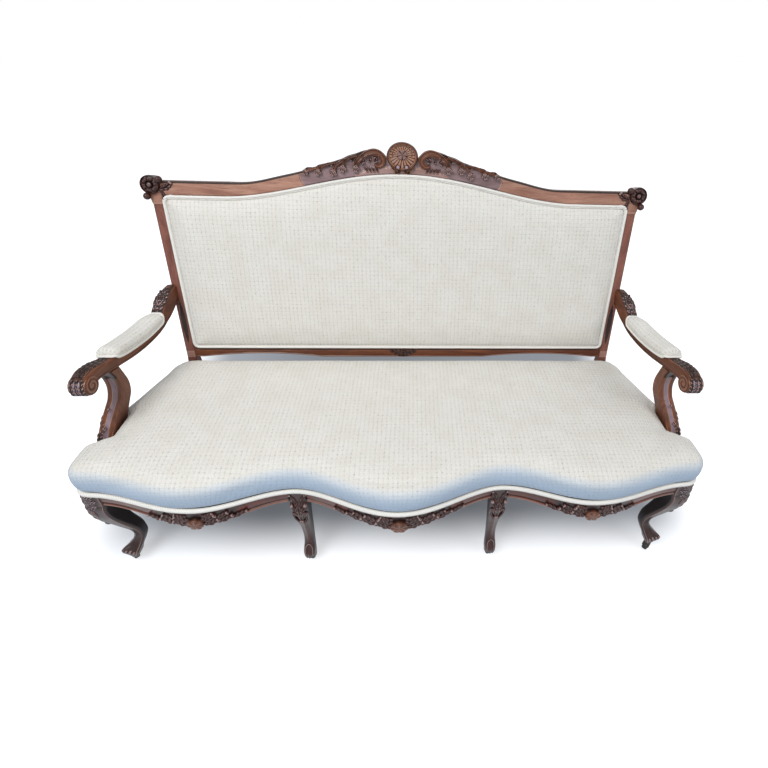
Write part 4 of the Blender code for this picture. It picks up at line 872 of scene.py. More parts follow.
def opening_runs(across, along):
    """The opening in the back frame, in its own plane: foot, right, top and left."""
    radius = PANEL_CORNER

    def side_x(height):
        return post_x(height) - POST_WIDTH / 2 - JOINT_GAP

    lean = math.atan(POST_FLARE / CREST_JOINT)
    turn = np.radians(np.linspace(-90.0, 0.0, 13)) - lean / 2
    low_middle = (side_x(PANEL_LOW + radius) - radius, PANEL_LOW + JOINT_GAP + radius)
    top_middle = (side_x(PANEL_SIDE - radius) - radius, PANEL_SIDE - JOINT_GAP - radius)
    low, high = arc(low_middle, radius, turn), arc(top_middle, radius, turn + math.pi / 2)
    foot_x = np.linspace(0.0, low[0, 0], 40)[:-1]
    foot = np.vstack((np.stack((foot_x, np.full(39, PANEL_LOW + JOINT_GAP)), 1), low[:7]))
    x = np.linspace(0.0, high[-1, 0], 80)[:-1]
    top = np.vstack((np.stack((x, panel_top(x) - JOINT_GAP), 1), high[:5:-1]))
    foot, top = evenly(foot, across // 2 + 1), evenly(top, across // 2 + 1)
    right = evenly(np.vstack((low[6:], high[:7])), along + 1)
    foot = np.vstack((foot[:0:-1] * (-1, 1), foot))
    top = np.vstack((top[:0:-1] * (-1, 1), top))
    return foot, right, top, right * (-1, 1)


CORD_WIDTH = 0.0115
PAD_CROWN = 0.020


def back_cover():
    """The stuffed back: tacked down inside the double cord, rolled over and gently crowned."""
    edge = CORD_WIDTH + JOINT_GAP
    profile = (
        (JOINT_GAP, -0.012), (JOINT_GAP, 0.0), (edge, 0.0), (edge + 0.0002, 0.0028),
        (edge + 0.0016, 0.0056), (edge + 0.0042, 0.0078), (edge + 0.0076, 0.0092),
    )

    def dome(u, v):
        return (PAD_CROWN - 0.0092) * (1 - np.abs(u) ** 12) * (1 - np.abs(v) ** 4)

    def lift(flat, level):
        return raked(flat[:, 0], -level, flat[:, 1])

    # The rings tucked into the cord take 0.1 to 0.42: a painted grey shade in the tuck
    return stuffed(opening_runs(88, 36), profile, dome, lift, (0.1, 0.1, 0.1, 0.3, 0.42, 0.5, 0.5))


def back_cord():
    """The double cord round the back: two flat half-rounds side by side, round the opening."""
    loop = loop_of(*opening_runs(224, 92))
    turn = np.radians(np.linspace(0.0, 180.0, 7))
    half = np.array((CORD_WIDTH * 0.38, CORD_WIDTH * 0.12))
    inset = np.concatenate((half[0] - half[0] * np.cos(turn), CORD_WIDTH - half[1]
                            - half[1] * np.cos(turn[1:])))
    level = np.concatenate((np.sin(turn) * 0.0046, np.sin(turn[1:]) * 0.0034)) + JOINT_GAP
    flat = np.stack([inset_loop(loop, JOINT_GAP + across) for across in inset], axis=1)
    along = np.cumsum(np.linalg.norm(np.roll(loop, -1, axis=0) - loop, axis=1))
    made = Body()
    made.loft(
        raked(flat[..., 0], -level, flat[..., 1]),
        uv=np.stack(np.broadcast_arrays(along[:, None], inset[None] * 1.5), axis=-1),
        closed=True,
    )
    return made


def outside_cover():
    """The cloth stretched over the outside of the back: a flat field with a rounded edge."""
    depth = BACK_THICKNESS - 0.006
    profile = ((JOINT_GAP, 0.0), (JOINT_GAP, 0.0035), (0.0022, 0.0056), (0.006, 0.0060))

    def dome(u, v):
        return 0.0005 * (1 - u**4) * (1 - v**4)

    def lift(flat, level):
        return raked(flat[:, 0], depth + level, flat[:, 1])

    return stuffed(opening_runs(56, 22), profile, dome, lift)


# Carving motifs, each a closed skin laid on a face by place(across, up, outward)


BURY = 0.0012


def disc(made, reach, height, place, rings=26, around=96, wear=None):
    """A round carving as a polar grid: its height above the face is a function of share and angle.

    reach is the half width and half height. Its rim is carried below the face that it stands on."""
    share = np.concatenate(([1.0], np.linspace(1.0, 0.015, rings)))[:, None]
    angle = np.linspace(0.0, math.tau, around, endpoint=False)[None]
    share, angle = np.broadcast_arrays(share, angle)
    level = np.array(height(share, angle))
    level[0] = -BURY
    points = place(reach[0] * share * np.cos(angle), reach[1] * share * np.sin(angle), level)
    tone = np.full(share.shape, 0.5) if wear is None else np.array(wear(share, angle))
    # Painted shade where the carving meets the face
    tone[0] = 0.1
    made.loft(points, wear=tone.reshape(-1))


# Twice the share of a strip over which each end tapers, and the size left at its tip
STRIP_TAPER = 0.07
STRIP_END = 0.04


def strip(made, path, half_width, section, place):
    """A raised band along a flat path: section gives (across share, height, wear) rows.

    half_width may vary along the path. The width and the height shrink at both ends as the root
    of a sine."""
    path = np.asarray(path, float)
    count = len(path)
    side = path_sides(path)
    half_width = np.broadcast_to(half_width, count)
    section = np.asarray(section, float)
    place_along = np.linspace(0.0, 1.0, count)
    ends = np.sin(math.pi * np.clip(place_along / STRIP_TAPER, 0.0, 0.5)) ** 0.5
    ends = np.maximum(np.minimum(ends, ends[::-1]), STRIP_END)
    flat = path[:, None] + side[:, None] * (half_width * ends)[:, None, None] * section[None, :, :1]
    level = section[None, :, 1] * ends[:, None]
    level = np.where(section[None, :, 1] <= 0, section[None, :, 1], level)
    points = place(flat[..., 0], flat[..., 1], level)
    made.loft(points, wear=np.broadcast_to(section[None, :, 2], level.shape).reshape(-1))


def fillet_section(height):
    """A scroll band's section: a fillet along each edge and a sunk channel between them."""
    # Third column is tone: painted shade at the foot and in the channel, and pale fillet tops with
    # a painted highlight
    half = (
        (1.0, -BURY, 0.1), (1.0, height * 0.55, 0.3), (0.86, height * 0.95, 0.8),
        (0.62, height, 0.9), (0.46, height * 0.62, 0.35),
    )
    left = ((-across, out, tone) for across, out, tone in half)
    return (*left, (0.0, height * 0.50, 0.5), *half[::-1])


def round_section(height):
    """A plain half-round bead's section."""
    turn = np.radians(np.linspace(0.0, 180.0, 9))
    # Painted shade at the bead's foot, paler to its crown with a painted highlight
    rows = [(-1.0, -BURY, 0.1)]
    rows += [(-math.cos(a), height * math.sin(a), 0.2 + 0.7 * math.sin(a)) for a in turn]
    return [*rows, (1.0, -BURY, 0.1)]


def leaf(made, points, width, rise, place, lobes=4.5, curl=0.6, stations=46, shade=0.0,
         silver=False):
    """An acanthus leaf: a curved spine, lobed edges, a sunk mid vein and ribs slanting off it.

    Its height is the rise times a rounded section, cut by the vein and by a ripple that runs back
    from the spine to the edge; towards the tip the leaf lifts and folds over into a bead. shade
    darkens it as painted shade, or lightens it as painted light where it is above zero, and the
    flag for the ribs paints a silvery highlight on them."""
    path = curve_through(points, stations)
    side = path_sides(path)
    t = np.linspace(0.0, 1.0, stations)[:, None]
    s = np.linspace(-1.0, 1.0, 15)[None]
    body = np.sin(math.pi * np.clip(0.10 + 0.86 * t, 0.0, 1.0)) ** 0.65
    notch = np.abs(np.sin(math.pi * lobes * t)) ** 0.6
    edge = width * body * (0.72 + 0.28 * notch)
    tip = bump_at(t, 0.93, 0.10)
    edge = edge + width * 0.34 * tip
    ripple = np.cos(math.tau * (lobes * t - 0.55 * np.abs(s)))
    vein = np.exp(-(s / 0.13) ** 2) * (1 - tip)
    dish = np.sqrt(np.clip(1 - s**2, 0.0, 1.0))
    level = rise * (0.30 + 0.70 * dish) * (0.62 + 0.22 * ripple * np.abs(s) ** 0.5 - 0.42 * vein)
    level = level * (0.55 + 0.45 * smooth(t, 0.0, 0.2)) + rise * curl * tip * dish
    level = level * smooth(1.02 - t, 0.0, 0.05) * smooth(t + 0.02, 0.0, 0.06)
    # Painted shade in the vein, between the ribs, round the edge and at the foot; painted highlight
    # on the ribs and the folded tip
    tone = 0.45 + 0.35 * ripple * np.abs(s) ** 0.5 - 0.45 * vein
    tone = tone + 0.5 * tip * dish * smooth(shade, -0.34, -0.08)
    tone = np.clip(tone - 0.4 * np.abs(s) ** 6 + shade, 0.0, 0.95)
    # Painted silvery highlight on the ribs
    if silver:
        tone = np.where((ripple > 0.80) & (np.abs(s) > 0.30) & (np.abs(s) < 0.95), 1.88, tone)
    flat = path[:, None] + side[:, None] * (edge * s)[..., None]
    top = place(flat[..., 0], flat[..., 1], level)
    under = place(flat[:, ::-1, 0][:, [0, 7, 14]], flat[:, ::-1, 1][:, [0, 7, 14]],
                  np.full((stations, 3), -BURY))
    made.loft(
        np.concatenate((top, under), axis=1),
        wear=np.concatenate((tone, np.full((stations, 3), 0.1)), axis=1).reshape(-1),
    )


def trefoil(made, tip, heading, size, rise, place):
    """The end of a frond: three short leaves from one point, the middle one along the heading."""
    for turn, share in ((-52, 0.78), (52, 0.78), (0, 1.0)):
        angle = math.radians(heading + turn)
        step = np.array((math.cos(angle), math.sin(angle))) * size * share
        root = np.array(tip) - step * 0.25
        points = (root, root + step * 0.6, root + step * 1.1)
        # shade above zero lightens these leaves: a painted highlight
        leaf(made, points, size * 0.46 * share, rise * 1.2, place, lobes=1.5, curl=0.9, stations=18,
             shade=0.30)


def beads(made, path, count, radius, place):
    """A row of half-balls, spread evenly along a flat path."""
    turn = np.linspace(0.0, math.tau, 10, endpoint=False)
    rise = np.radians((-20.0, 0.0, 30.0, 58.0, 80.0))
    for x, y in evenly(path, count):
        level = np.broadcast_to((np.sin(rise) * radius)[:, None], (5, 10))
        ring = np.cos(rise)[:, None] * radius
        # Painted shade at each ball's foot and a painted highlight on its top
        made.loft(
            place(x + ring * np.cos(turn), y + ring * np.sin(turn), level),
            wear=np.repeat((0.1, 0.2, 0.6, 0.85, 0.9), 10),
        )


def spiral(eye, start, end, turns, from_angle, stations=60):
    """A flat volute round its eye, its radius shrinking by equal shares as it turns."""
    share = np.linspace(0.0, 1.0, stations)
    radius = start * (end / start) ** share
    angle = math.radians(from_angle) + math.tau * turns * share
    return np.stack((eye[0] + radius * np.cos(angle), eye[1] + radius * np.sin(angle)), axis=1)


# The raked back: crest, shell, scrolls, rosettes, posts and lower rail


def on_back(across, up, out):
    """Lays a carving on the front face of the back."""
    return raked(across, -np.asarray(out), up)


CREST_ROWS = (
    (0.0, 0.80), (0.045, 0.80), (0.057, 0.91), (0.072, 0.98), (0.090, 1.0), (0.114, 0.96),
    (0.137, 0.88), (0.158, 0.82), (0.180, 0.72), (0.240, 0.54), (0.300, 0.353), (0.360, 0.211),
    (0.450, 0.02), (0.530, 0.0), (0.760, 0.0),
)
CARVED_HALF = 0.306
CREST_RECESS = 0.0032
CREST_STEP = (0.0095, 0.0353)  # run and rise of the foot's edge outside the post
BOSS_RADIUS = FINIAL_RADIUS * 0.93


def crest_top(x):
    """The upper edge of the crest: a curve through its rows, and the shell's lobe above it."""
    x = np.abs(x)
    line = CREST_END + CREST_RISE * table_at(CREST_ROWS, np.minimum(x, 0.7))[0]
    lobe = SHELL_HALF_WIDTH * 0.93
    over = SHELL_HEIGHT + SHELL_HALF_HEIGHT * 0.93 * np.sqrt(np.clip(1 - (x / lobe) ** 2, 0.0, 1.0))
    over = np.where(x < lobe, over, 0.0)
    boss = np.sqrt(np.clip(BOSS_RADIUS**2 - (x - FINIAL_X) ** 2, 0.0, None))
    boss = np.where(np.abs(x - FINIAL_X) < BOSS_RADIUS, FINIAL_HEIGHT + boss, 0.0)
    line = np.where(x > FINIAL_X - 0.8 * BOSS_RADIUS, 0.0, line)
    return np.maximum(np.maximum(line, over), boss)


def crest_foot(x):
    """The lower edge of the crest: the camelback opening, and its ends turned down to the posts."""
    x = np.abs(x)
    inner = post_x(CREST_JOINT) - POST_WIDTH / 2
    outer = post_x(CREST_JOINT) + POST_WIDTH / 2
    low = panel_top(x)
    away = np.clip(x - (inner - PANEL_CORNER), 0.0, PANEL_CORNER)
    corner = PANEL_SIDE - PANEL_CORNER + np.sqrt(PANEL_CORNER**2 - away**2)
    low = np.where(x > inner - PANEL_CORNER, corner, low)
    low = np.where(x > inner, CREST_JOINT, low)
    boss = np.sqrt(np.clip(BOSS_RADIUS**2 - (x - FINIAL_X) ** 2, 0.0, None))
    step = CREST_JOINT + (x - outer) / CREST_STEP[0] * CREST_STEP[1]
    return np.where(x > outer, np.where(x < outer + CREST_STEP[0], step, FINIAL_HEIGHT - boss), low)


def crest_face(x, up, low, high):
    """How far the crest's front face stands out: its carved recess, and a bead along its top.

    The recess reaches the foot, and each of its ends is a hollow curve."""
    from_top, from_foot = high - up, up - low
    hollow = 0.013 * (1 - np.clip(from_foot / 0.034, 0.0, 1.0)) ** 2
    inside = smooth(CARVED_HALF - hollow - np.abs(x), 0.0, 0.003) * smooth(from_top, 0.0045, 0.0070)
    band = 0.0185 * smooth(0.155 - np.abs(x), 0.0, 0.07)
    inside = inside * np.where(band > 0.002, smooth(from_foot - band, -0.0015, 0.0015), 1.0)
    wing = smooth(np.abs(x), 0.05, 0.07) * smooth(FINIAL_X - BOSS_RADIUS - np.abs(x), -0.004, 0.004)
    bead = bump_at(from_top, 0.0030, 0.0028) * 0.0016 - bump_at(from_top, 0.0066, 0.0014) * 0.0012
    return bead * wing - CREST_RECESS * inside, inside


def crest_rail():
    """The camelback plank as sections across it, with its edges moulded and its middle sunk."""
    inner = post_x(CREST_JOINT) - POST_WIDTH / 2
    outer = post_x(CREST_JOINT) + POST_WIDTH / 2
    half = np.concatenate((
        np.linspace(0.0, 0.318, 150), np.linspace(0.325, inner - PANEL_CORNER - 0.002, 50),
        np.linspace(inner - PANEL_CORNER, inner - 0.0001, 9), (inner + 0.0001,),
        np.linspace(inner + 0.003, outer, 9),
        FINIAL_X + BOSS_RADIUS * np.sin(np.radians(np.linspace(10.0, 88.5, 15))),
    ))
    half = np.unique(half)
    x = np.concatenate((-half[:0:-1], half))
    low, high = crest_foot(x), crest_top(x)
    shares = np.unique(np.concatenate((
        np.linspace(0.0, 0.12, 7), np.linspace(0.12, 0.86, 13), np.linspace(0.86, 1.0, 12),
    )))
    tall = high - low
    front_up = low[:, None] + tall[:, None] * shares[None]
    edge = np.minimum(0.0045, tall / 3)
    near = np.minimum(front_up - low[:, None], high[:, None] - front_up)
    rounding = np.clip(1 - near / edge[:, None], 0.0, 1.0)
    inward = edge[:, None] * (1 - np.sqrt(1 - rounding**2)) * np.where(
        front_up > (low + high)[:, None] / 2, 1.0, 0.35
    )
    out, inside = crest_face(x[:, None], front_up, low[:, None], high[:, None])
    out = out - inward
    back = np.array((1.0, 0.93, 0.5, 0.07, 0.0))
    back_up = low[:, None] + tall[:, None] * back[None]
    back_out = np.broadcast_to((-0.027, -0.030, -0.030, -0.030, -0.028), back_up.shape)
    up = np.concatenate((front_up, back_up), axis=1)
    level = np.concatenate((out, back_out), axis=1)
    # Bloom in the sunk middle, and painted shade round the recess's edge
    tone = np.where(inside > 0.95, 1.50, 0.5 - 0.42 * smooth(inside, 0.0, 0.5))
    top_bead = smooth(0.0074 - (high[:, None] - front_up), 0.0, 0.0006)
    top_bead = top_bead * (np.abs(x) > 0.05)[:, None]
    tone = np.where(top_bead > 0.5, 0.10, tone)
    under = (np.abs(x) < 0.165)[:, None] & (front_up - low[:, None] < 0.0190) & (inside < 0.5)
    tone = np.where(under, 1.38, tone)
    tone = np.concatenate((tone, np.full(back_up.shape, 0.45)), axis=1)
    made = Body()
    made.loft(on_back(x[:, None], up, level), wear=tone.reshape(-1))
    return made


def crest_shell():
    """A scallop shell: a flat fanned face in a thick rolled rim, with a small fan and two volutes.

    The face's lines follow the cosine of eleven times the angle about the fan's middle."""
    middle = 0.10

    def parts(share, angle):
        across, up = share * np.cos(angle), share * np.sin(angle) - middle
        turn, away = np.arctan2(across, up), np.hypot(across, up)
        return np.abs(np.cos(11 * turn)), np.abs(np.cos(2.5 * turn)), away, np.cos(turn)

    def height(share, angle):
        line, lobe, away, above = parts(share, angle)
        face = smooth(share, 0.84, 0.79)
        dish = 0.0080 + 0.0016 * line**0.4 * face + 0.0036 * bump_at(share, 0.91, 0.11)
        dish = dish - 0.0018 * bump_at(share, 0.80, 0.03)
        hole = bump_at(away, 0.62, 0.055) * smooth(line, 0.80, 0.97) * smooth(above, -0.35, -0.1)
        fan = smooth(0.34 - away, 0.0, 0.05) * (0.0030 + 0.0016 * lobe) * face
        return dish - 0.0026 * hole * face + fan - 0.009 * smooth(share, 0.97, 1.0)

    def wear(share, angle):
        line, lobe, away, above = parts(share, angle)
        hole = bump_at(away, 0.62, 0.055) * smooth(line, 0.80, 0.97) * smooth(above, -0.35, -0.1)
        # Painted highlight on the flutes' ridges and the rim, painted shade in the flutes, the
        # holes and round the rim
        tone = 0.05 + 0.82 * smooth(line, 0.28, 0.66) - 0.85 * hole
        tone = np.where(away < 0.35, 0.10 + 1.35 * smooth(lobe, 0.25, 0.65), tone)
        for edge, level in ((0.785, 0.05), (0.815, 0.95), (0.840, 0.42), (0.950, 0.06)):
            tone = np.where(share > edge, level, tone)
        return tone

    made = Body()
    disc(made, (SHELL_HALF_WIDTH, SHELL_HALF_HEIGHT), height,
         lambda a, b, out: on_back(a, SHELL_HEIGHT + b, out), rings=44, around=220, wear=wear)
    for side in SIDES:
        lead = ((side * 0.0335, 0.6300), (side * 0.0270, 0.6190), (side * 0.0170, 0.6135))
        curl = np.vstack((
            curve_through(lead, 24),
            spiral((side * 0.0135, 0.6245), 0.0108, 0.0030, side * 0.95, -90, 40),
        ))
        strip(made, curl, np.linspace(0.0030, 0.0014, len(curl)), fillet_section(0.0130), on_back)
        # Each volute's ball: a painted silvery highlight in its middle and painted shade round its
        # foot
        disc(made, (0.0068, 0.0070), lambda s, a: 0.0172 * (1 - 0.35 * s**3),
             lambda a, b, out, side=side: on_back(side * 0.0125 + a, 0.6235 + b, out),
             rings=8, around=24, wear=lambda s, a: 1.85 - 1.8 * smooth(s, 0.66, 0.80))
        leaf(made, ((side * 0.004, 0.6140), (side * 0.014, 0.6080), (side * 0.024, 0.6085)), 0.0050,
             0.0045, on_back, lobes=2.5, stations=20)
    return made


SCROLL_LINE = (
    (0.1385, 0.6240), (0.1300, 0.6370), (0.1190, 0.6480), (0.1070, 0.6570), (0.0940, 0.6620),
    (0.0810, 0.6632), (0.0690, 0.6600), (0.0605, 0.6520), (0.0570, 0.6420), (0.0590, 0.6330),
    (0.0660, 0.6265), (0.0755, 0.6262), (0.0830, 0.6305),
)
FRONDS = (
    ((0.112, 0.656), (0.126, 0.652), (0.136, 0.639), (0.1375, 0.622), 0.0190, -88),
    ((0.132, 0.653), (0.154, 0.647), (0.171, 0.635), (0.1752, 0.621), 0.0190, -82),
    ((0.150, 0.648), (0.174, 0.638), (0.194, 0.624), (0.2023, 0.6083), 0.0200, -65),
    ((0.194, 0.632), (0.222, 0.626), (0.240, 0.617), (0.2475, 0.6086), 0.0180, -75),
    ((0.232, 0.621), (0.258, 0.614), (0.272, 0.610), (0.2821, 0.6057), 0.0150, -50),
)


def crest_band():
    """The broad band of the C-scroll and the fronds' stems: two fillets, each cut off by a line."""
    line = curve_through(SCROLL_LINE, 130)
    share = np.linspace(0.0, 1.0, len(line))
    half = np.interp(share, (0.0, 0.2, 0.5, 0.8, 1.0), (0.0044, 0.0084, 0.0104, 0.0082, 0.0046))
    # Third column is tone: painted shade at the band's foot and in the cut lines, and paler fillet
    # tops with a painted highlight
    edge = ((-1.0, -BURY, 0.1), (-1.0, 0.0034, 0.12), (-0.84, 0.0064, 0.62), (-0.66, 0.0066, 0.55),
            (-0.54, 0.0040, 0.06), (-0.42, 0.0034, 0.5))
    right = ((-across, out, tone) for across, out, tone in edge[::-1])
    section = (*edge, (0.0, 0.0030, 0.60), *right)
    made = Body()
    strip(made, line, half, section, on_back)
    for *spine, _, _ in FRONDS:
        strip(made, curve_through(spine, 40), np.linspace(0.0036, 0.0050, 40), section, on_back)
    return made


def crest_scroll():
    """The C-scroll beside the shell and the fronds that spring from it, on the right side.

    Each frond is a stem of two fillets that sweeps out from under the top edge to three leaves."""
    made = Body()
    for spine, width, rise in (
        (((0.0660, 0.6500), (0.0740, 0.6500), (0.0790, 0.6430), (0.0760, 0.6340)), 0.0072, 0.0078),
        (((0.1060, 0.6490), (0.1150, 0.6450), (0.1180, 0.6380), (0.1130, 0.6300)), 0.0080, 0.0072),
        (((0.0990, 0.6520), (0.0955, 0.6440), (0.0980, 0.6350)), 0.0056, 0.0058),
    ):
        # shade above zero lightens these leaves: a painted highlight
        leaf(made, spine, width, rise, on_back, lobes=2.5, stations=26, shade=0.16)
    for *spine, size, heading in FRONDS:
        trefoil(made, spine[-1], heading, size, 0.0062, on_back)
        root, bend = np.array(spine[1]), np.array(spine[2])
        leaf(made, (root + (0.003, 0.001), bend + (0.008, 0.003), bend + (0.016, -0.002)),
             0.0036, 0.0046, on_back, lobes=2.5, stations=20)
    for number in range(4):
        x = 0.074 + 0.0105 * number
        # Slightly lightened by shade above zero: a painted highlight
        leaf(made, ((x + 0.008, 0.6205), (x + 0.001, 0.6145), (x - 0.003, 0.6065)), 0.0042, 0.0042,
             on_back, lobes=1.5, stations=14, shade=0.1)
    return made


def finial():
    """A rosette: six lobed petals round a button inside a rolled rim, with a ball above and below.

    The petals follow the sine of three times the angle, and each is cut by a vein."""
    def height(share, angle):
        petal = np.abs(np.cos(3 * (angle + 0.3)))
        body = 0.0060 + 0.0055 * petal**0.7 * bump_at(share, 0.60, 0.32)
        body = body - 0.0030 * bump_at(share, 0.34, 0.09)
        body = body - 0.0024 * petal**12 * bump_at(share, 0.60, 0.26)
        button = 0.0050 * np.sqrt(np.clip(1 - (share / 0.30) ** 2, 0.0, 1.0))
        rim = 0.0035 * bump_at(share, 0.93, 0.08)
        return body + button + rim - 0.004 * smooth(share, 0.96, 1.0)

    def wear(share, angle):
        petal = np.abs(np.cos(3 * (angle + 0.3)))
        # Painted highlight on the petals, the button and the rim, and painted shade in the veins
        tone = 0.15 + 0.65 * petal * bump_at(share, 0.62, 0.30)
        tone = tone + 0.6 * (1 - smooth(share, 0.16, 0.28))
        return np.clip(tone + 0.5 * bump_at(share, 0.93, 0.06) - 0.5 * petal**12, 0.05, 0.9)

    made = Body()
    disc(made, (FINIAL_RADIUS, FINIAL_RADIUS), height,
         lambda a, b, out: on_back(FINIAL_X + a, FINIAL_HEIGHT + b, out), 30, 120, wear)
    reach = FINIAL_RADIUS + 0.0070
    rise = np.radians(np.linspace(-88.0, 88.0, 15))[:, None]
    turn = np.linspace(0.0, math.tau, 24, endpoint=False)[None]
    ball = 0.0102
    for angle in (152, -72):
        x = FINIAL_X + reach * math.cos(math.radians(angle))
        up = FINIAL_HEIGHT + reach * math.sin(math.radians(angle))
        made.loft(
            on_back(
                x + ball * np.cos(rise) * np.cos(turn), up + ball * np.cos(rise) * np.sin(turn),
                0.0105 + ball * np.sin(rise) + 0 * turn,
            ),
            wear=0.34,
        )
    leaf(made, ((FINIAL_X - 0.026, 0.546), (FINIAL_X - 0.040, 0.549), (FINIAL_X - 0.052, 0.557),
                (FINIAL_X - 0.060, 0.5655)), 0.0095, 0.0068, on_back, lobes=3.5)
    leaf(made, ((FINIAL_X - 0.024, 0.541), (FINIAL_X - 0.030, 0.534), (FINIAL_X - 0.032, 0.524),
                (FINIAL_X - 0.029, 0.515)), 0.0060, 0.0058, on_back, lobes=3.0)
    return made


REAR_BLOCK = 0.040
REAR_LEG_ROWS = (
    (0.0, 1.0, 0.80, 0.85), (0.28, 0.60, 0.84, 0.95), (0.62, 0.19, 0.92, 1.0),
    (0.85, 0.0, 1.0, 1.0), (1.0, 0.0, 1.0, 1.0),
)


def rear_post():
    """The rear leg, block and raked post as one stick, with a sunk lancet panel below the arm."""
    half = REAR_BLOCK / 2
    share = np.linspace(0.0, 1.0, 26)
    splay, wide, deep = table_at(REAR_LEG_ROWS, share)
    block_x, block_y = REAR_HALF - half, BACK_FOOT_Y + half
    radius = np.full(len(share), 0.0035)
    a, b = rounded_section(wide * half, deep * half, radius, 4, 9)
    leg = np.stack((
        block_x + a, block_y + splay[:, None] * 0.085 + b, 0 * a + share[:, None] * RAIL_TOP,
    ), axis=-1)
    leg_tone = np.full(a.shape, 0.5)
    up = np.concatenate((
        np.linspace(0.0, 0.21, 100), np.linspace(0.22, CREST_JOINT - JOINT_GAP, 24),
    ))
    ones = np.ones(len(up))
    a, b = rounded_section(ones * POST_WIDTH / 2, ones * BACK_THICKNESS / 2, ones * 0.0032, 4, 9)
    rise = up[:, None]
    along = np.clip((rise - 0.050) / 0.150, 0.0, 1.0)
    lancet = 0.0088 * np.sin(math.pi * along) ** 0.6 - np.abs(a)
    front = b < -BACK_THICKNESS / 2 + 0.0008
    sink = np.where(front, smooth(lancet, 0.0, 0.0014), 0.0)
    reeds = np.where(front, smooth(0.024 - rise, 0.0, 0.003), 0.0)
    reed = reeds * (0.5 + 0.5 * np.cos(math.tau * rise / 0.006))
    post = raked(post_x(rise) + a, BACK_THICKNESS / 2 + b + 0.0020 * sink - 0.0010 * reed, rise)
    # Painted shade in the sunk lancet and between the reeds, and bloom on the reeds
    tone = 0.5 - 0.42 * sink + 1.10 * reeds - 1.20 * reed
    # Painted shade on the post's outer side
    tone = tone - np.where(a > POST_WIDTH / 2 - 0.0030, 0.25, 0.0) * smooth(rise, 0.0, 0.01)
    neck_a, neck_b = rounded_section(
        np.array([(half + POST_WIDTH / 2) / 2]), np.array([(half + BACK_THICKNESS / 2) / 2]),
        np.array([0.0033]), 4, 9,
    )
    neck = np.stack((
        (block_x + POST_FOOT_X) / 2 + neck_a, BACK_FOOT_Y + half * 0.9 + neck_b,
        np.full(neck_a.shape, (RAIL_TOP + BACK_FOOT_Z) / 2),
    ), axis=-1)
    made = Body()
    made.loft(
        np.concatenate((leg, neck, post)),
        wear=np.concatenate((leg_tone, np.full(neck_a.shape, 0.5), tone)).reshape(-1),
    )
    return made


def lower_back_rail():
    """The rail under the back pad: two long scalloped arches, beaded, and a leafy boss between."""
    reach = POST_FOOT_X - POST_WIDTH / 2 - JOINT_GAP
    half = np.unique(np.concatenate((
        np.linspace(0.0, reach - PANEL_CORNER, 90), np.linspace(reach - PANEL_CORNER, reach, 12),
    )))
    x = np.concatenate((-half[:0:-1], half))
    share = np.abs(x) / reach
    low = 0.012 * np.sin(math.pi * np.clip((share - 0.40) / 0.56, 0.0, 1.0)) ** 0.9
    away = np.clip(np.abs(x) - (reach - PANEL_CORNER), 0.0, PANEL_CORNER)
    high = PANEL_LOW + PANEL_CORNER - np.sqrt(PANEL_CORNER**2 - away**2)
    shares = np.concatenate((np.linspace(0.0, 0.34, 10), np.linspace(0.40, 1.0, 12)))
    up = low[:, None] + (high - low)[:, None] * shares
    near = np.minimum(up - low[:, None], high[:, None] - up)
    rounding = np.clip(1 - near / 0.0025, 0.0, 1.0)
    out = -0.002 - 0.0025 * (1 - np.sqrt(1 - rounding**2))
    from_foot = up - low[:, None]
    bead = bump_at(from_foot, 0.0034, 0.0022)
    out = out + 0.0011 * bead - 0.0011 * bump_at(from_foot, 0.0064, 0.0014)
    from_top = high[:, None] - up
    out = out - 0.0011 * bump_at(from_top, 0.0075, 0.0020)
    # Paler bead with a painted highlight, painted shade in the groove, and painted shade along the
    # top under the back's cord
    tone = 0.5 + 0.32 * bead - 0.35 * bump_at(from_foot, 0.0064, 0.0016)
    tone = tone - 0.30 * smooth(0.0085 - from_top, 0.0, 0.002)
    back_shares = np.array((0.98, 0.5, 0.02))
    back_up = low[:, None] + (high - low)[:, None] * back_shares
    level = np.concatenate((out, np.full(back_up.shape, -0.028)), axis=1)
    up = np.concatenate((up, back_up), axis=1)
    flare = POST_FLARE * up / CREST_JOINT * (np.abs(x) / reach)[:, None] ** 8 * np.sign(x)[:, None]
    made = Body()
    made.loft(
        on_back(x[:, None] + flare, up, level),
        wear=np.concatenate((tone, np.full(back_up.shape, 0.45)), axis=1).reshape(-1),
    )

    def on_rail_face(across, height, out):
        return on_back(across, height, np.asarray(out) - 0.002)

    for side in SIDES:
        leaf(made, ((side * 0.003, 0.009), (side * 0.016, 0.012), (side * 0.030, 0.021),
                    (side * 0.043, 0.026)), 0.0095, 0.0058, on_rail_face, lobes=3.5, shade=-0.3)
    leaf(made, ((0.0, 0.030), (0.0, 0.018), (0.0, 0.003)), 0.0125, 0.0072, on_rail_face, lobes=3.5,
         shade=-0.3)
    return made


# Arms and their supports


ARM_ROWS = (
    (0.000, 1.000, 0.555, 0.320, 0.80), (0.045, 1.000, 0.612, 0.300, 0.86),
    (0.100, 1.000, 0.628, 0.300, 0.90), (0.145, 0.986, 0.606, 0.291, 0.90),
    (0.200, 0.971, 0.556, 0.256, 0.90), (0.240, 0.957, 0.504, 0.231, 0.90),
    (0.322, 0.899, 0.436, 0.171, 0.90), (0.424, 0.826, 0.350, 0.077, 0.90),
    (0.590, 0.710, 0.274, 0.000, 0.88), (0.735, 0.565, 0.291, 0.017, 0.84),
    (0.808, 0.449, 0.359, 0.094, 0.80), (0.848, 0.377, 0.573, 0.171, 0.78),
    (0.894, 0.246, 0.795, 0.282, 0.72), (0.952, 0.101, 0.949, 0.453, 0.66),
    (1.000, 0.000, 1.000, 0.556, 0.62),
)
ARM_FRONT_Y, ARM_REAR_Y = 0.104, 0.520
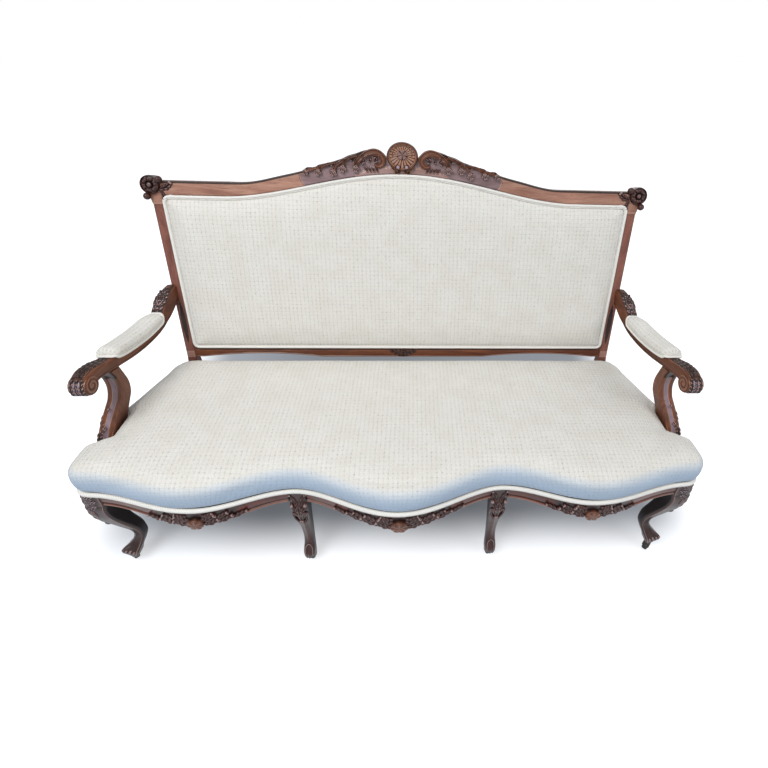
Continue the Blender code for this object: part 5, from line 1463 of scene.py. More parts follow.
ARM_LOW, ARM_RISE = 0.575, 0.117
ARM_WIDTH = 0.050
ARM_LANDING = (0.145, 0.424)
ARM_FRONT_X, ARM_REAR_X = 0.800, 0.731
EYE_Y, EYE_Z, DRUM_RADIUS = 0.127, 0.6168, 0.0250
DRUM_REACH = 0.0205
# Rows: share of the reach, share of the radius, tone; the low tone near each end is painted shade
# in a groove
DRUM_ROWS = (
    (1.0, 0.93, 0.35), (0.985, 0.985, 0.5), (0.93, 1.0, 0.6), (0.62, 1.0, 0.55),
    (0.52, 0.955, 0.15), (0.42, 1.0, 0.3),
)
ARM_START = 0.113


def arm_line(y):
    """Middle, top, underside and half width of the arm, whose foot is straight on the support."""
    share = (np.asarray(y, float) - ARM_FRONT_Y) / (ARM_REAR_Y - ARM_FRONT_Y)
    inward, top, foot, width = table_at(ARM_ROWS, share)
    start, end = ARM_LANDING
    low, high = table_at(ARM_ROWS, np.array(ARM_LANDING))[2]
    straight = low + (high - low) * (share - start) / (end - start)
    foot = np.where((share > start) & (share < end), straight, foot)
    return (
        ARM_REAR_X + inward * (ARM_FRONT_X - ARM_REAR_X), ARM_LOW + top * ARM_RISE,
        ARM_LOW + foot * ARM_RISE, width * ARM_WIDTH / 2,
    )


def arm():
    """The arm rail as sections along it: dipped under its pad, and rolled at the front on a drum.

    A quirk runs along each side, and the volute on the drum's ends follows a spiral."""
    y = np.concatenate((
        np.linspace(ARM_START, 0.205, 30), np.linspace(0.211, 0.42, 34),
        np.linspace(0.425, ARM_REAR_Y, 32),
    ))
    x, top, foot, half = arm_line(y)
    tall = (top - foot) / 2
    radius = np.minimum(0.0062, tall * 0.8)
    a, b = rounded_section(half, tall, radius, 6, 11)
    from_foot = b + tall[:, None]
    sides = smooth(np.abs(a), half[:, None] - 0.0035, half[:, None] - 0.0004)
    quirk = sides * bump_at(from_foot, 0.0085, 0.0026)
    crown = smooth(b, tall[:, None] - 0.0006, tall[:, None] - 0.0001)
    open_top = np.maximum(smooth(0.200 - y, 0.0, 0.006), smooth(y, 0.442, 0.450))[:, None]
    ridge = crown * open_top * bump_at(a, 0.0, 0.011)
    line = crown * open_top * bump_at(np.abs(a), 0.0135, 0.0022)
    across = a - np.sign(a) * 0.0014 * quirk
    up = b - 0.0014 * line + 0.0012 * ridge
    wide = (foot + tall)[:, None] + up
    end = smooth(y, ARM_REAR_Y - 0.03, ARM_REAR_Y)[:, None]
    face = BACK_FOOT_Y + (wide - BACK_FOOT_Z) * math.tan(BACK_RAKE) - JOINT_GAP
    place_y = y[:, None] + end * (face - ARM_REAR_Y)
    # Painted shade in the quirks and the lines; the open top's crown darker, and its ridge paler
    # with a painted highlight
    tone = 0.5 - 0.38 * quirk - 0.30 * line - 0.42 * crown * open_top + 0.25 * ridge
    taper = 1 - 0.14 * smooth(0.150 - y, 0.0, 0.037)[:, None]
    across = across * taper
    made = Body()
    made.loft(np.stack((x[:, None] + across, place_y, wide), axis=-1), wear=tone.reshape(-1))

    middle = float(arm_line(EYE_Y)[0])
    turn = np.linspace(0.0, math.tau, 72, endpoint=False)[None]
    rows = np.array(DRUM_ROWS)
    place_x, girth, drum_tone = np.vstack((rows * (-1, 1, 1), rows[::-1])).T[..., None]
    girth = girth * DRUM_RADIUS
    girth = girth + 0.0030 * (1 - place_x**2) * smooth(-np.cos(turn), 0.0, 0.8)
    # The drum's front takes tone 1.75: bloom with a painted silvery highlight
    made.loft(
        np.stack(np.broadcast_arrays(
            middle + DRUM_REACH * place_x, EYE_Y + girth * np.cos(turn),
            EYE_Z + girth * np.sin(turn),
        ), axis=-1),
        wear=np.where(
            (np.cos(turn) < -0.10) & (np.abs(place_x) < 0.90), 1.75, drum_tone,
        ).reshape(-1),
    )

    def coil(share, angle):
        return np.sin(math.pi * ((angle / math.tau + 1.9 * (1 - share) ** 0.8) % 1.0))

    def volute(share, angle):
        eye = smooth(0.24 - share, 0.0, 0.05)
        ball = np.sqrt(np.clip(1 - (share / 0.26) ** 2, 0, 1))
        return 0.0022 * coil(share, angle) ** 0.55 * (1 - eye) + 0.0040 * eye * ball

    # Painted highlight on the eye and the coil's ridges, painted shade between them
    def volute_wear_and_shade(share, angle):
        return np.where(share < 0.2, 0.7, 0.10 + 0.62 * coil(share, angle) ** 0.7)

    for side in SIDES:
        disc(made, (DRUM_RADIUS * 0.93, DRUM_RADIUS * 0.93), volute,
             lambda u, v, out, side=side: np.stack((
                 middle + side * (DRUM_REACH + out), EYE_Y + side * u, EYE_Z + v,
             ), axis=-1), 26, 96, volute_wear_and_shade)

    def on_nose(along, up, out):
        angle = math.radians(172) - np.asarray(up) / DRUM_RADIUS
        return np.stack(np.broadcast_arrays(
            middle + along, EYE_Y + (DRUM_RADIUS + out) * np.cos(angle),
            EYE_Z + (DRUM_RADIUS + out) * np.sin(angle),
        ), axis=-1)

    for across in (-0.0120, 0.0, 0.0120):
        leaf(made, ((across, -0.026), (across, -0.008), (across, 0.010), (across, 0.026)), 0.0070,
             0.0062, on_nose, lobes=5.5, shade=-0.38, silver=True)

    def on_top(along_x, along_y, out):
        place_x, high = arm_line(along_y)[:2]
        return np.stack((place_x + along_x, along_y, high + out), axis=-1)

    for side in SIDES:
        beads(made, ((side * 0.0145, 0.120), (side * 0.0160, 0.212)), 20, 0.0017, on_top)
        leaf(made, ((side * 0.0080, 0.222), (side * 0.0105, 0.190), (side * 0.0100, 0.158),
                    (side * 0.0090, 0.120)), 0.0066, 0.0060, on_top, 6.5, 0.1, shade=-0.36)
    leaf(made, ((0.0, 0.226), (0.0, 0.194), (0.0, 0.160), (0.0, 0.118)), 0.0088, 0.0090, on_top,
         6.5, curl=0.1, shade=-0.42)
    for place_x, start, end in (
        (-0.0120, 0.456, 0.496), (0.0, 0.448, 0.506), (0.0120, 0.456, 0.496),
        (-0.0065, 0.446, 0.480), (0.0065, 0.446, 0.480),
    ):
        spine = ((place_x * 0.8, start), (place_x, start + 0.015), (place_x, (start + end) / 2),
                 (place_x * 0.8, end))
        leaf(made, spine, 0.0074, 0.0062, on_top, shade=-0.40, silver=True)
    return made


SUPPORT_ROWS = (
    (0.0, 0.0, 0.0, 0.95, 1.0), (0.20, -0.07, 0.09, 1.0, 0.93), (0.314, -0.19, 0.20, 1.0, 0.87),
    (0.45, -0.42, 0.37, 1.0, 0.74), (0.544, -0.58, 0.50, 1.0, 0.64),
    (0.616, -0.68, 0.60, 1.0, 0.55), (0.758, -0.77, 0.67, 1.0, 0.45),
    (0.90, -0.762, 0.63, 1.0, 0.40), (1.0, -0.738, 0.55, 1.0, 0.42),
)
SUPPORT_X, SUPPORT_Y = 0.826, 0.166
SUPPORT_WIDTH, SUPPORT_DEPTH = 0.042, 0.092
SUPPORT_TOP_Z = 0.5905


def support_line(share):
    """Middle place and half sizes of the arm support at a share of its height."""
    shift_x, shift_y, wide, deep = table_at(SUPPORT_ROWS, share)
    return (
        SUPPORT_X + shift_x * SUPPORT_WIDTH, SUPPORT_Y + shift_y * SUPPORT_DEPTH,
        wide * SUPPORT_WIDTH / 2, deep * SUPPORT_DEPTH / 2,
    )


def support_share(z):
    """The share of the support's height at a level."""
    base = RAIL_TOP + JOINT_GAP
    return np.clip((np.asarray(z, float) - base) / (SUPPORT_TOP_Z - base), 0.0, 1.0)


def on_support(across, z, out):
    """Lays a carving on the front face of the support."""
    x, y, _, half_y = support_line(support_share(z))
    return np.stack(np.broadcast_arrays(x + across, y - half_y - out, z), axis=-1)


def arm_support():
    """The S-curved support: sections up its height, hollowed down the front between two fillets."""
    share = np.linspace(0.0, 1.0, 90)
    x, y, half_x, half_y = support_line(share)
    a, b = rounded_section(half_x, half_y, np.full(len(share), 0.0058), 5, 11)
    base = RAIL_TOP + JOINT_GAP
    ends = smooth(share, 0.02, 0.12) * smooth(1 - share, 0.02, 0.10)
    front = smooth(-b, half_y[:, None] - 0.004, half_y[:, None] - 0.0003)
    rear = smooth(b, half_y[:, None] - 0.004, half_y[:, None] - 0.0003)
    hollow = bump_at(a, 0.0, 0.0125) * front * ends[:, None]
    line = bump_at(np.abs(a), 0.0140, 0.0022) * front * ends[:, None]
    place_y = y[:, None] + b + 0.0042 * hollow + 0.0010 * line - 0.0015 * rear * ends[:, None]
    top = arm_line(np.clip(place_y, ARM_FRONT_Y, ARM_REAR_Y))[2] - JOINT_GAP
    level = base + share[:, None] * (top - base)
    # Bloom with a faint painted silvery highlight down the hollow, and painted shade in the lines
    # beside it
    tone = np.where(hollow > 0.35, 1.66, 0.5 - 0.36 * line + 0 * a)
    # Painted shadow: the top of the front, under the arm, goes black
    dark = smooth(share, 0.84, 0.93)[:, None] * front
    tone = np.where(dark > 0.4, 0.0, tone)
    # The inner side is painted paler, as if lit
    tone = tone + 0.10 * smooth(-a, half_x[:, None] - 0.004, half_x[:, None] - 0.001)
    made = Body()
    made.loft(np.stack((x[:, None] + a, place_y, level), axis=-1), wear=tone.reshape(-1))
    base_z = RAIL_TOP + 0.006
    beads(made, ((-0.0165, base_z), (-0.0165, 0.478)), 26, 0.0026, on_support)
    for low, high, across in (
        (base_z, 0.402, 0.0150), (0.396, 0.442, 0.0150), (0.434, 0.486, 0.0165),
    ):
        spine = ((across - 0.004, low), (across, (low * 2 + high) / 3),
                 (across, (low + high * 2) / 3), (across - 0.009, high))
        leaf(made, spine, 0.0085, 0.0070, on_support, shade=-0.32, silver=True)
    return made


PAD_FRONT_Y, PAD_REAR_Y = 0.230, 0.444
PAD_HALF, PAD_HEIGHT, PAD_CORD = 0.0255, 0.030, 0.0038
PAD_CORD_UV_RUN = 0.6  # length over which the cord's weave is mapped
PAD_ROWS = (
    (0.0, 0.66, 0.44), (0.012, 0.80, 0.64), (0.035, 0.92, 0.81), (0.08, 1.0, 0.94),
    (0.2, 1.0, 1.03), (0.5, 1.0, 1.06), (0.8, 1.0, 1.02), (0.90, 0.95, 0.95),
    (0.96, 0.84, 0.79), (0.99, 0.66, 0.54), (1.0, 0.46, 0.34),
)
PAD_SIDE_ROWS = (
    (0.90, 0.0), (0.93, -0.16), (1.03, -0.14), (1.14, -0.02), (1.22, 0.14), (1.25, 0.32),
    (1.22, 0.50), (1.12, 0.67), (0.95, 0.81), (0.71, 0.92), (0.38, 0.985), (0.0, 1.0),
)


def arm_cover():
    """The stuffed arm pad: a crowned section carried along the arm, rolled down over its sides."""
    share = np.sin(np.linspace(-0.5, 0.5, 49) * math.pi) * 0.5 + 0.5
    y = PAD_FRONT_Y + share * (PAD_REAR_Y - PAD_FRONT_Y)
    width, height = table_at(PAD_ROWS, share)
    x, top = arm_line(y)[:2]
    rows = np.array(PAD_SIDE_ROWS)
    section = np.vstack((rows, rows[-2::-1] * (-1, 1)))
    hang = np.where(section[None, :, 1] < 0.05, smooth(width, 0.93, 1.0)[:, None], 1.0)
    up = np.where(section[None, :, 1] < 0, hang, 1.0) * section[None, :, 1]
    rings = np.stack(np.broadcast_arrays(
        x[:, None] + section[None, :, 0] * (width * PAD_HALF)[:, None], y[:, None],
        top[:, None] + JOINT_GAP + up * (height * PAD_HEIGHT)[:, None],
    ), axis=-1)
    length = np.concatenate(([0.0], np.linalg.norm(np.diff(rings[24], axis=0), axis=1).cumsum()))
    made = Body()
    # Painted grey shade where the pad tucks under at its foot
    tuck_shade = np.where((np.abs(section[:, 1]) < 0.2) & (np.abs(section[:, 0]) < 1.2), 0.15, 0.5)
    made.loft(rings, wear=np.broadcast_to(tuck_shade, rings.shape[:2]).reshape(-1),
              uv=np.stack(np.broadcast_arrays(length[None], y[:, None]), axis=-1))
    return made


def arm_cord():
    """The cord round the foot of the arm pad: a circle carried round the pad's edge.

    Along the sides it hangs beside the arm, and at the ends it crosses the arm's top."""
    share = np.sin(np.linspace(-0.5, 0.5, 61) * math.pi) * 0.5 + 0.5
    y = PAD_FRONT_Y + share * (PAD_REAR_Y - PAD_FRONT_Y)
    half = table_at(PAD_ROWS, share)[0] * PAD_HALF * 0.98
    plan = np.vstack((np.stack((half, y), 1), np.stack((-half[::-1], y[::-1]), 1)))
    ring = inset_loop(plan, -PAD_CORD - JOINT_GAP)
    ring = evenly(np.vstack((ring, ring[:1])), 200)[:-1]
    x, top = arm_line(ring[:, 1])[:2]
    level = PAD_CORD + 3 * JOINT_GAP - 0.0062 * smooth(np.abs(ring[:, 0]), 0.0240, 0.0275)
    path = np.stack((x + ring[:, 0], ring[:, 1], top + level), axis=1)
    along = np.linspace(0.0, PAD_CORD_UV_RUN, len(path))
    turn = np.linspace(0.0, math.tau, 10, endpoint=False) * PAD_CORD
    made = Body()
    made.loft(
        tube_rings(path, PAD_CORD, 10),
        uv=np.stack(np.broadcast_arrays(along[:, None], turn[None]), axis=-1), closed=True,
    )
    return made


# Seat rails and front legs


RAIL_THICKNESS = 0.038
RAIL_LEDGE = 0.017


def on_rail(across, up, out):
    """Lays a carving on the serpentine front of the seat rails."""
    across, up, out = np.broadcast_arrays(across, up, out)
    normal = front_normal(across)
    return np.stack((
        across + normal[..., 0] * out, front_line(across) + normal[..., 1] * out, up,
    ), axis=-1)


def front_rail(start, end, count):
    """A stretch of the front rail: one section with a bead along its foot, carried on the bow."""
    x = np.linspace(start, end, count)
    low = rail_low(x)
    tall = RAIL_TOP - low
    # Rows: share of the height, shift, depth, tone. Painted shade under the cord at the top, in the
    # grooves and on the underside; a pale bead with a painted highlight
    rows = (
        (1.0, None, 0.0010, 0.15), (1.0, -0.0010, 0.0, 0.2), (0.86, None, 0.0, 0.25),
        (0.70, None, 0.0002, 0.40), (0.52, None, 0.0008, 0.46), (0.36, None, 0.0016, 0.42),
        (0.0, 0.0125, 0.0030, 0.35), (0.0, 0.0112, 0.0046, 0.1), (0.0, 0.0100, 0.0044, 0.2),
        (0.0, 0.0088, 0.0014, 0.6), (0.0, 0.0068, 0.0002, 0.76), (0.0, 0.0046, 0.0002, 0.76),
        (0.0, 0.0024, 0.0012, 0.6), (0.0, 0.0008, 0.0030, 0.3), (0.0, 0.0, 0.0060, 0.2),
        (0.0, 0.0, RAIL_LEDGE, 0.3),
    )
    level = np.stack([
        low + tall * share + (0.0 if shift is None else shift) for share, shift, depth, tone in rows
    ], axis=1)
    depth = np.broadcast_to([row[2] for row in rows], level.shape)
    foot = np.full(count, RAIL_FOOT)
    rear_level = np.stack((foot, foot, np.full(count, RAIL_TOP), np.full(count, RAIL_TOP)), axis=1)
    rear_depth = np.broadcast_to(
        (RAIL_LEDGE + 0.0034, RAIL_THICKNESS, RAIL_THICKNESS, RAIL_LEDGE), rear_level.shape
    )
    level = np.concatenate((level, rear_level), axis=1)
    depth = np.concatenate((depth, rear_depth), axis=1)
    tone = np.array([row[3] for row in rows] + [0.4, 0.4, 0.4, 0.4])
    carved = np.maximum(
        smooth(0.150 - np.abs(x), 0.0, 0.03), smooth(0.120 - np.abs(x - LOBE_X), 0.0, 0.03),
    )
    tone = tone - carved[:, None] * 0.36 * (np.abs(tone - 0.5) < 0.2)
    made = Body()
    made.loft(
        np.stack((np.broadcast_to(x[:, None], level.shape), front_line(x)[:, None] + depth, level),
                 axis=-1),
        wear=np.broadcast_to(tone, level.shape).reshape(-1),
    )
    return made


def bow_shell(centre, half, size):
    """A small shell on a bow: seven flutes fanned upwards from its foot."""
    def fan(angle):
        return np.abs(np.cos(3.5 * (angle - math.pi / 2)))

    def height(share, angle):
        return 0.0064 + 0.0040 * np.sqrt(np.clip(1 - share**2, 0, 1)) + 0.0022 * fan(angle) * share

    def wear(share, angle):
        # Painted highlight on the flutes and painted shade between them
        return 0.12 + 0.50 * fan(angle) ** 0.8 + 0.12 * (1 - share)

    up = float(rail_low(centre)) + size * 0.86
    made = Body()
    disc(made, (half, size), height, lambda a, b, out: on_rail(centre + a, up + b, out),
         18, 72, wear)
    return made


CENTRE_SPRAY = (
    (0.018, 0.064, -0.001, 0.012, 0.0095), (0.014, 0.056, 0.016, 0.030, 0.0095),
    (0.054, 0.104, 0.001, 0.012, 0.0088), (0.050, 0.092, 0.018, 0.029, 0.0085),
    (0.096, 0.142, 0.001, 0.011, 0.0080), (0.086, 0.122, 0.016, 0.024, 0.0072),
    (0.132, 0.176, 0.002, 0.009, 0.0066), (0.016, 0.050, 0.032, 0.042, 0.0070),
)
SIDE_SPRAY = (
    (0.018, 0.058, -0.001, 0.011, 0.0095), (0.014, 0.052, 0.016, 0.030, 0.0095),
    (0.050, 0.092, 0.000, 0.011, 0.0088), (0.046, 0.082, 0.017, 0.028, 0.0082),
    (0.084, 0.126, 0.001, 0.009, 0.0070), (0.018, 0.048, 0.032, 0.041, 0.0068),
)


def spray(centre, rows):
    """The leaf spray on a bow: pairs of leaves that sweep outwards from its shell in tiers."""
    made = Body()
    share, rise = np.array((0.0, 0.35, 0.7, 1.0)), np.array((0.2, 0.0, 0.45, 1.0))
    for side in SIDES:
        for inner, outer, low, high, width in rows:
            x = centre + side * (inner + (outer - inner) * share)
            spine = np.stack((x, rail_low(x) + 0.010 + low + (high - low) * rise), axis=1)
            leaf(made, spine, width, 0.0068, on_rail, lobes=3.5, stations=36)
    return made


CASTOR_HEIGHT = 0.0385
CORNER_LEG_ROWS = (
    (0.0, 0.18, 0.66), (0.053, 0.27, 0.74), (0.116, 0.65, 0.62), (0.196, 0.97, 0.56),
    (0.26, 1.0, 0.58), (0.349, 0.886, 0.65), (0.451, 0.596, 0.74), (0.563, 0.275, 0.84),
    (0.675, 0.015, 0.92), (0.786, -0.07, 0.97), (0.85, 0.0, 1.0), (1.0, 0.0, 1.0),
)
CORNER_SWEEP = (0.0345, 0.0275)
MID_LEG_ROWS = (
    (0.0, -0.55, 0.66, 0.68), (0.07, -0.5, 0.68, 0.70), (0.16, 0.55, 0.58, 0.62),
    (0.26, 1.0, 0.57, 0.62), (0.42, 0.75, 0.66, 0.71), (0.58, 0.1, 0.80, 0.84),
    (0.74, -0.45, 0.96, 0.96), (0.83, -0.35, 1.0, 1.0), (0.86, 0.0, 1.0, 1.0), (1.0, 0.0, 1.0, 1.0),
)
MID_BLOCK = 0.050
MID_SWEEP = 0.012


def leg_share(z):
    return np.clip((np.asarray(z, float) - CASTOR_HEIGHT) / (RAIL_TOP - CASTOR_HEIGHT), 0.0, 1.0)


def corner_line(z):
    """Middle and half size of a front corner leg at a level: an S-curve out at the knee and toe."""
    sweep, half = table_at(CORNER_LEG_ROWS, leg_share(z))
    return (
        FRONT_HALF - CORNER_BLOCK / 2 - sweep * CORNER_SWEEP[0],
        CORNER_BLOCK / 2 - LEG_PROUD + sweep * CORNER_SWEEP[1], half * CORNER_BLOCK / 2,
    )


KNEE_ROUND = 0.011
TOE_LIFT = 0.022
KNEE_CANT = 0.0095


def on_knee(across, z, out):
    """Lays a carving round the outer edge of the corner leg, as seen along its diagonal."""
    x, y, half = corner_line(z)
    reach = math.sqrt(2) * half - KNEE_CANT
    away = reach - (np.sqrt(np.asarray(across) ** 2 + KNEE_ROUND**2) - KNEE_ROUND) + out
    slant = 1 / math.sqrt(2)
    return np.stack(np.broadcast_arrays(
        x + slant * (away + across), y - slant * (away - across), z,
    ), axis=-1)


def corner_leg():
    """The cabriole corner leg: square sections with softened edges, carried down an S-curve."""
    z = np.concatenate((np.linspace(CASTOR_HEIGHT, 0.120, 40), np.linspace(0.123, RAIL_TOP, 70)))
    x, y, half = corner_line(z)
    share = leg_share(z)
    radius = 0.0060 + 0.0035 * bump_at(share, 0.45, 0.4)
    a, b = rounded_section(half, half, radius, 6, 9)
    toe = bump_at(share, 0.02, 0.10)[:, None]
    front = smooth(-b, half[:, None] - 0.0025, half[:, None] - 0.0002)
    outer = smooth(a, half[:, None] - 0.0025, half[:, None] - 0.0002)
    flute = toe * (front * np.cos(a * math.tau / 0.0085) + outer * np.cos(b * math.tau / 0.0085))
    line = bump_at(share, 0.845, 0.010)[:, None] * np.maximum(front, outer)
    grow = 1 + 0.035 * toe * (0.5 + 0.5 * flute) - 0.045 * line
    inner = smooth(-a, half[:, None] - 0.003, half[:, None] - 0.0003)
    near = (a + half[:, None]) * front
    arris = bump_at(near, 0.0058, 0.0022) * front
    band = smooth(0.0105 - near, 0.0, 0.002) * front
    # Painted shade over the whole leg, deeper on its front and outer faces and in the sunk line; a
    # pale bead on the front's inner arris with a painted highlight
    tone = 0.34 - 0.14 * front * (1 - band) - 0.06 * outer - 0.20 * line + 0.56 * arris
    # Painted silvery highlight on the toe's flutes
    tone = np.where((flute > 0.55) & (toe > 0.35) & (share > 0.02)[:, None], 1.80, tone)
    # Painted shadow: the inner face goes black, and the sole goes dark at the castor
    tone = np.where(inner > 0.5, 0.02, tone) * (1 - bump_at(share, 0.0, 0.05)[:, None])
    over = np.maximum((a - b) / math.sqrt(2) - (math.sqrt(2) * half[:, None] - KNEE_CANT), 0.0)
    over = over * smooth(share, 0.12, 0.35)[:, None] / math.sqrt(2)
    lift = TOE_LIFT * smooth((a - b) / (2 * half[:, None]), 0.05, 0.95)
    lift = lift * (1 - smooth(share, 0.0, 0.17))[:, None]
    made = Body()
    made.loft(
        np.stack((x[:, None] + a * grow - over, y[:, None] + b * grow + over - 0.0012 * arris,
                  z[:, None] + lift), axis=-1),
        wear=np.clip(tone, 0.02, 1.9).reshape(-1),
    )
    for side in SIDES:
        scroll = np.vstack((
            curve_through(((side * 0.004, 0.238), (side * 0.012, 0.250), (side * 0.0175, 0.266),
                           (side * 0.0170, 0.282)), 30),
            spiral((side * 0.0120, 0.2825), 0.0052, 0.0014, side * 1.3, 0 if side > 0 else 180, 40),
        ))
        strip(made, scroll, np.linspace(0.0028, 0.0013, len(scroll)), fillet_section(0.0044),
              on_knee)
        for low, high, out, width in ((0.306, 0.346, 0.026, 0.0074), (0.292, 0.326, 0.028, 0.0066),
                                      (0.268, 0.306, 0.025, 0.0060), (0.314, 0.348, 0.015, 0.0062)):
            spine = ((side * 0.004, low), (side * out * 0.42, (low * 2 + high) / 3),
                     (side * out * 0.74, (low + high * 2) / 3), (side * out, high))
            leaf(made, spine, width, 0.0056, on_knee, shade=-0.26, silver=True)
    leaf(made, ((0.0, 0.346), (0.0, 0.300), (0.0, 0.262), (0.0, 0.226), (0.0, 0.196)), 0.0095,
         0.0062, on_knee, lobes=6.5, shade=-0.25, silver=True)
    leaf(made, ((0.0, 0.128), (0.0, 0.110), (0.0, 0.092), (0.0, 0.074)), 0.0100, 0.0042, on_knee,
         lobes=3.5, shade=-0.1)
    beads(made, ((0.0, 0.192), (0.0, 0.150)), 7, 0.0026, on_knee)
    return made


def mid_line(z):
    """Middle and half sizes of a mid leg at a level."""
    sweep, wide, deep = table_at(MID_LEG_ROWS, leg_share(z))
    y = VALLEY_Y - LEG_PROUD + MID_BLOCK / 2 + sweep * MID_SWEEP
    return y, wide * MID_BLOCK / 2, deep * MID_BLOCK / 2


def on_mid(across, z, out):
    """Lays a carving on the front of a mid leg, which is bowed across its face."""
    y, wide, deep = mid_line(z)
    bow = 0.006 * np.clip(np.abs(across) / wide, 0.0, 1.0) ** 2
    return np.stack(np.broadcast_arrays(MID_LEG_X + across, y - deep + bow - out, z), axis=-1)


def mid_leg():
    """The mid leg: sections down a gentle S-curve, its front bowed and its toe fluted."""
    z = np.concatenate((np.linspace(CASTOR_HEIGHT, 0.110, 40), np.linspace(0.113, RAIL_TOP, 60)))
    y, wide, deep = mid_line(z)
    share = leg_share(z)
    a, b = rounded_section(wide, deep, np.minimum(wide, deep) * 0.32, 6, 9)
    front = smooth(-b, deep[:, None] - 0.0030, deep[:, None] - 0.0003)
    bow = 0.006 * (np.abs(a) / wide[:, None]) ** 2 * smooth(-b, 0.0, 0.01)
    toe = bump_at(share, 0.03, 0.13)[:, None]
    flute = np.cos(a * math.tau / 0.0080) * front * toe
    ridge = np.exp(-(a / 0.003) ** 2) * front * smooth(share, 0.16, 0.24)[:, None]
    ridge = ridge * smooth(0.62 - share, 0.0, 0.06)[:, None]
    # Painted shade over the whole leg; painted highlight on the flutes' crests and on the ridge
    tone = 0.32 + 0.30 * np.maximum(flute, 0) + 0.34 * ridge
    # Painted shade at the foot of the toe
    tone = tone - 0.45 * bump_at(share, 0.0, 0.06)[:, None]
    # Painted shade on the leg's sides
    tone = tone - 0.30 * smooth(np.abs(a), wide[:, None] - 0.003, wide[:, None] - 0.0005)
    place_y = y[:, None] + b + bow - 0.0012 * flute - 0.0022 * ridge - 0.002 * toe * front
    made = Body()
    made.loft(
        np.stack((MID_LEG_X + a, place_y, np.broadcast_to(z[:, None], a.shape)), axis=-1),
        wear=np.clip(tone, 0.05, 0.95).reshape(-1),
    )
    for side in SIDES:
        scroll = np.vstack((
            curve_through(((side * 0.002, 0.212), (side * 0.011, 0.222), (side * 0.0180, 0.241),
                           (side * 0.0195, 0.264)), 30),
            spiral((side * 0.0130, 0.2650), 0.0065, 0.0016, side * 1.3, 0 if side > 0 else 180, 40),
        ))
        strip(made, scroll, np.linspace(0.0036, 0.0016, len(scroll)), fillet_section(0.0050),
              on_mid)
        leaf(made, ((side * 0.002, 0.244), (side * 0.006, 0.266), (side * 0.012, 0.288),
                    (side * 0.0205, 0.305)), 0.0072, 0.0062, on_mid, lobes=3.5)
        leaf(made, ((side * 0.004, 0.300), (side * 0.010, 0.318), (side * 0.017, 0.330),
                    (side * 0.0225, 0.342)), 0.0062, 0.0052, on_mid, lobes=2.5)
    leaf(made, ((0.0, 0.302), (0.0, 0.276), (0.0, 0.248), (0.0, 0.222)), 0.0095, 0.0066, on_mid,
         lobes=4.5)
    beads(made, ((0.0, 0.216), (0.0, 0.186)), 6, 0.0023, on_mid)
    hoop = curve_through(((-0.0105, 0.046), (-0.0100, 0.075), (0.0, 0.088), (0.0100, 0.075),
                          (0.0105, 0.046)), 50)
    strip(made, hoop, 0.0013, round_section(0.0022), on_mid)
    return made


# Cloth and straps inside the seat and the back


STRAP_WIDTH = 0.050
STRAP_THICKNESS = 0.0009
STRAP_LIFT = 0.0005


def straps(columns, rows, low, high, lay):
    """Webbing straps woven over and under: flat strips whose level swings at the crossings.

    The swing is a cosine. Returns the body and the sum of the straps' straight lengths."""
    made = Body()
    length = 0.0
    centre_x = np.linspace(low[0] + STRAP_WIDTH / 2, high[0] - STRAP_WIDTH / 2, columns)
    centre_y = np.linspace(low[1] + STRAP_WIDTH / 2, high[1] - STRAP_WIDTH / 2, rows)
    section = np.array(((-1.0, -1.0), (1.0, -1.0), (1.0, 1.0), (-1.0, 1.0)))
    section = section * (STRAP_WIDTH / 2, STRAP_THICKNESS / 2)
    for across in (True, False):
        fixed, crossed = (centre_y, centre_x) if across else (centre_x, centre_y)
        start, end = (low[0], high[0]) if across else (low[1], high[1])
        for number, level in enumerate(fixed):
            run = np.linspace(start, end, 8 * len(crossed) + 1)
            step = crossed[1] - crossed[0]
            swing = np.cos(math.pi * ((run - crossed[0]) / step + number)) * STRAP_LIFT
            swing = swing if across else -swing
            flat = level + section[None, :, 0] + 0 * run[:, None]
            along = run[:, None] + 0 * section[None, :, 0]
            out = swing[:, None] + section[None, :, 1]
            made.loft(lay(along, flat, out) if across else lay(flat, along, out))
            length += end - start
    return made, length


def seat_straps():
    """The jute straps under the springs, across and along the seat."""
    level = RAIL_FOOT - JOINT_GAP - 0.001
    reach = REAR_HALF - REAR_BLOCK - 0.006

    def lay(across, along, out):
        return np.stack((across, along, level + out), axis=-1)

    return straps(8, 4, (-reach, 0.052), (reach, 0.455), lay)


def back_straps():
    """The jute straps behind the back pad, upright and across."""
    reach = POST_FOOT_X - POST_WIDTH / 2 - 0.004
    depth = 0.012 + JOINT_GAP + 0.001

    def lay(across, along, out):
        return raked(across, depth + out, along)

    return straps(8, 3, (-reach, 0.055), (reach, 0.508), lay)


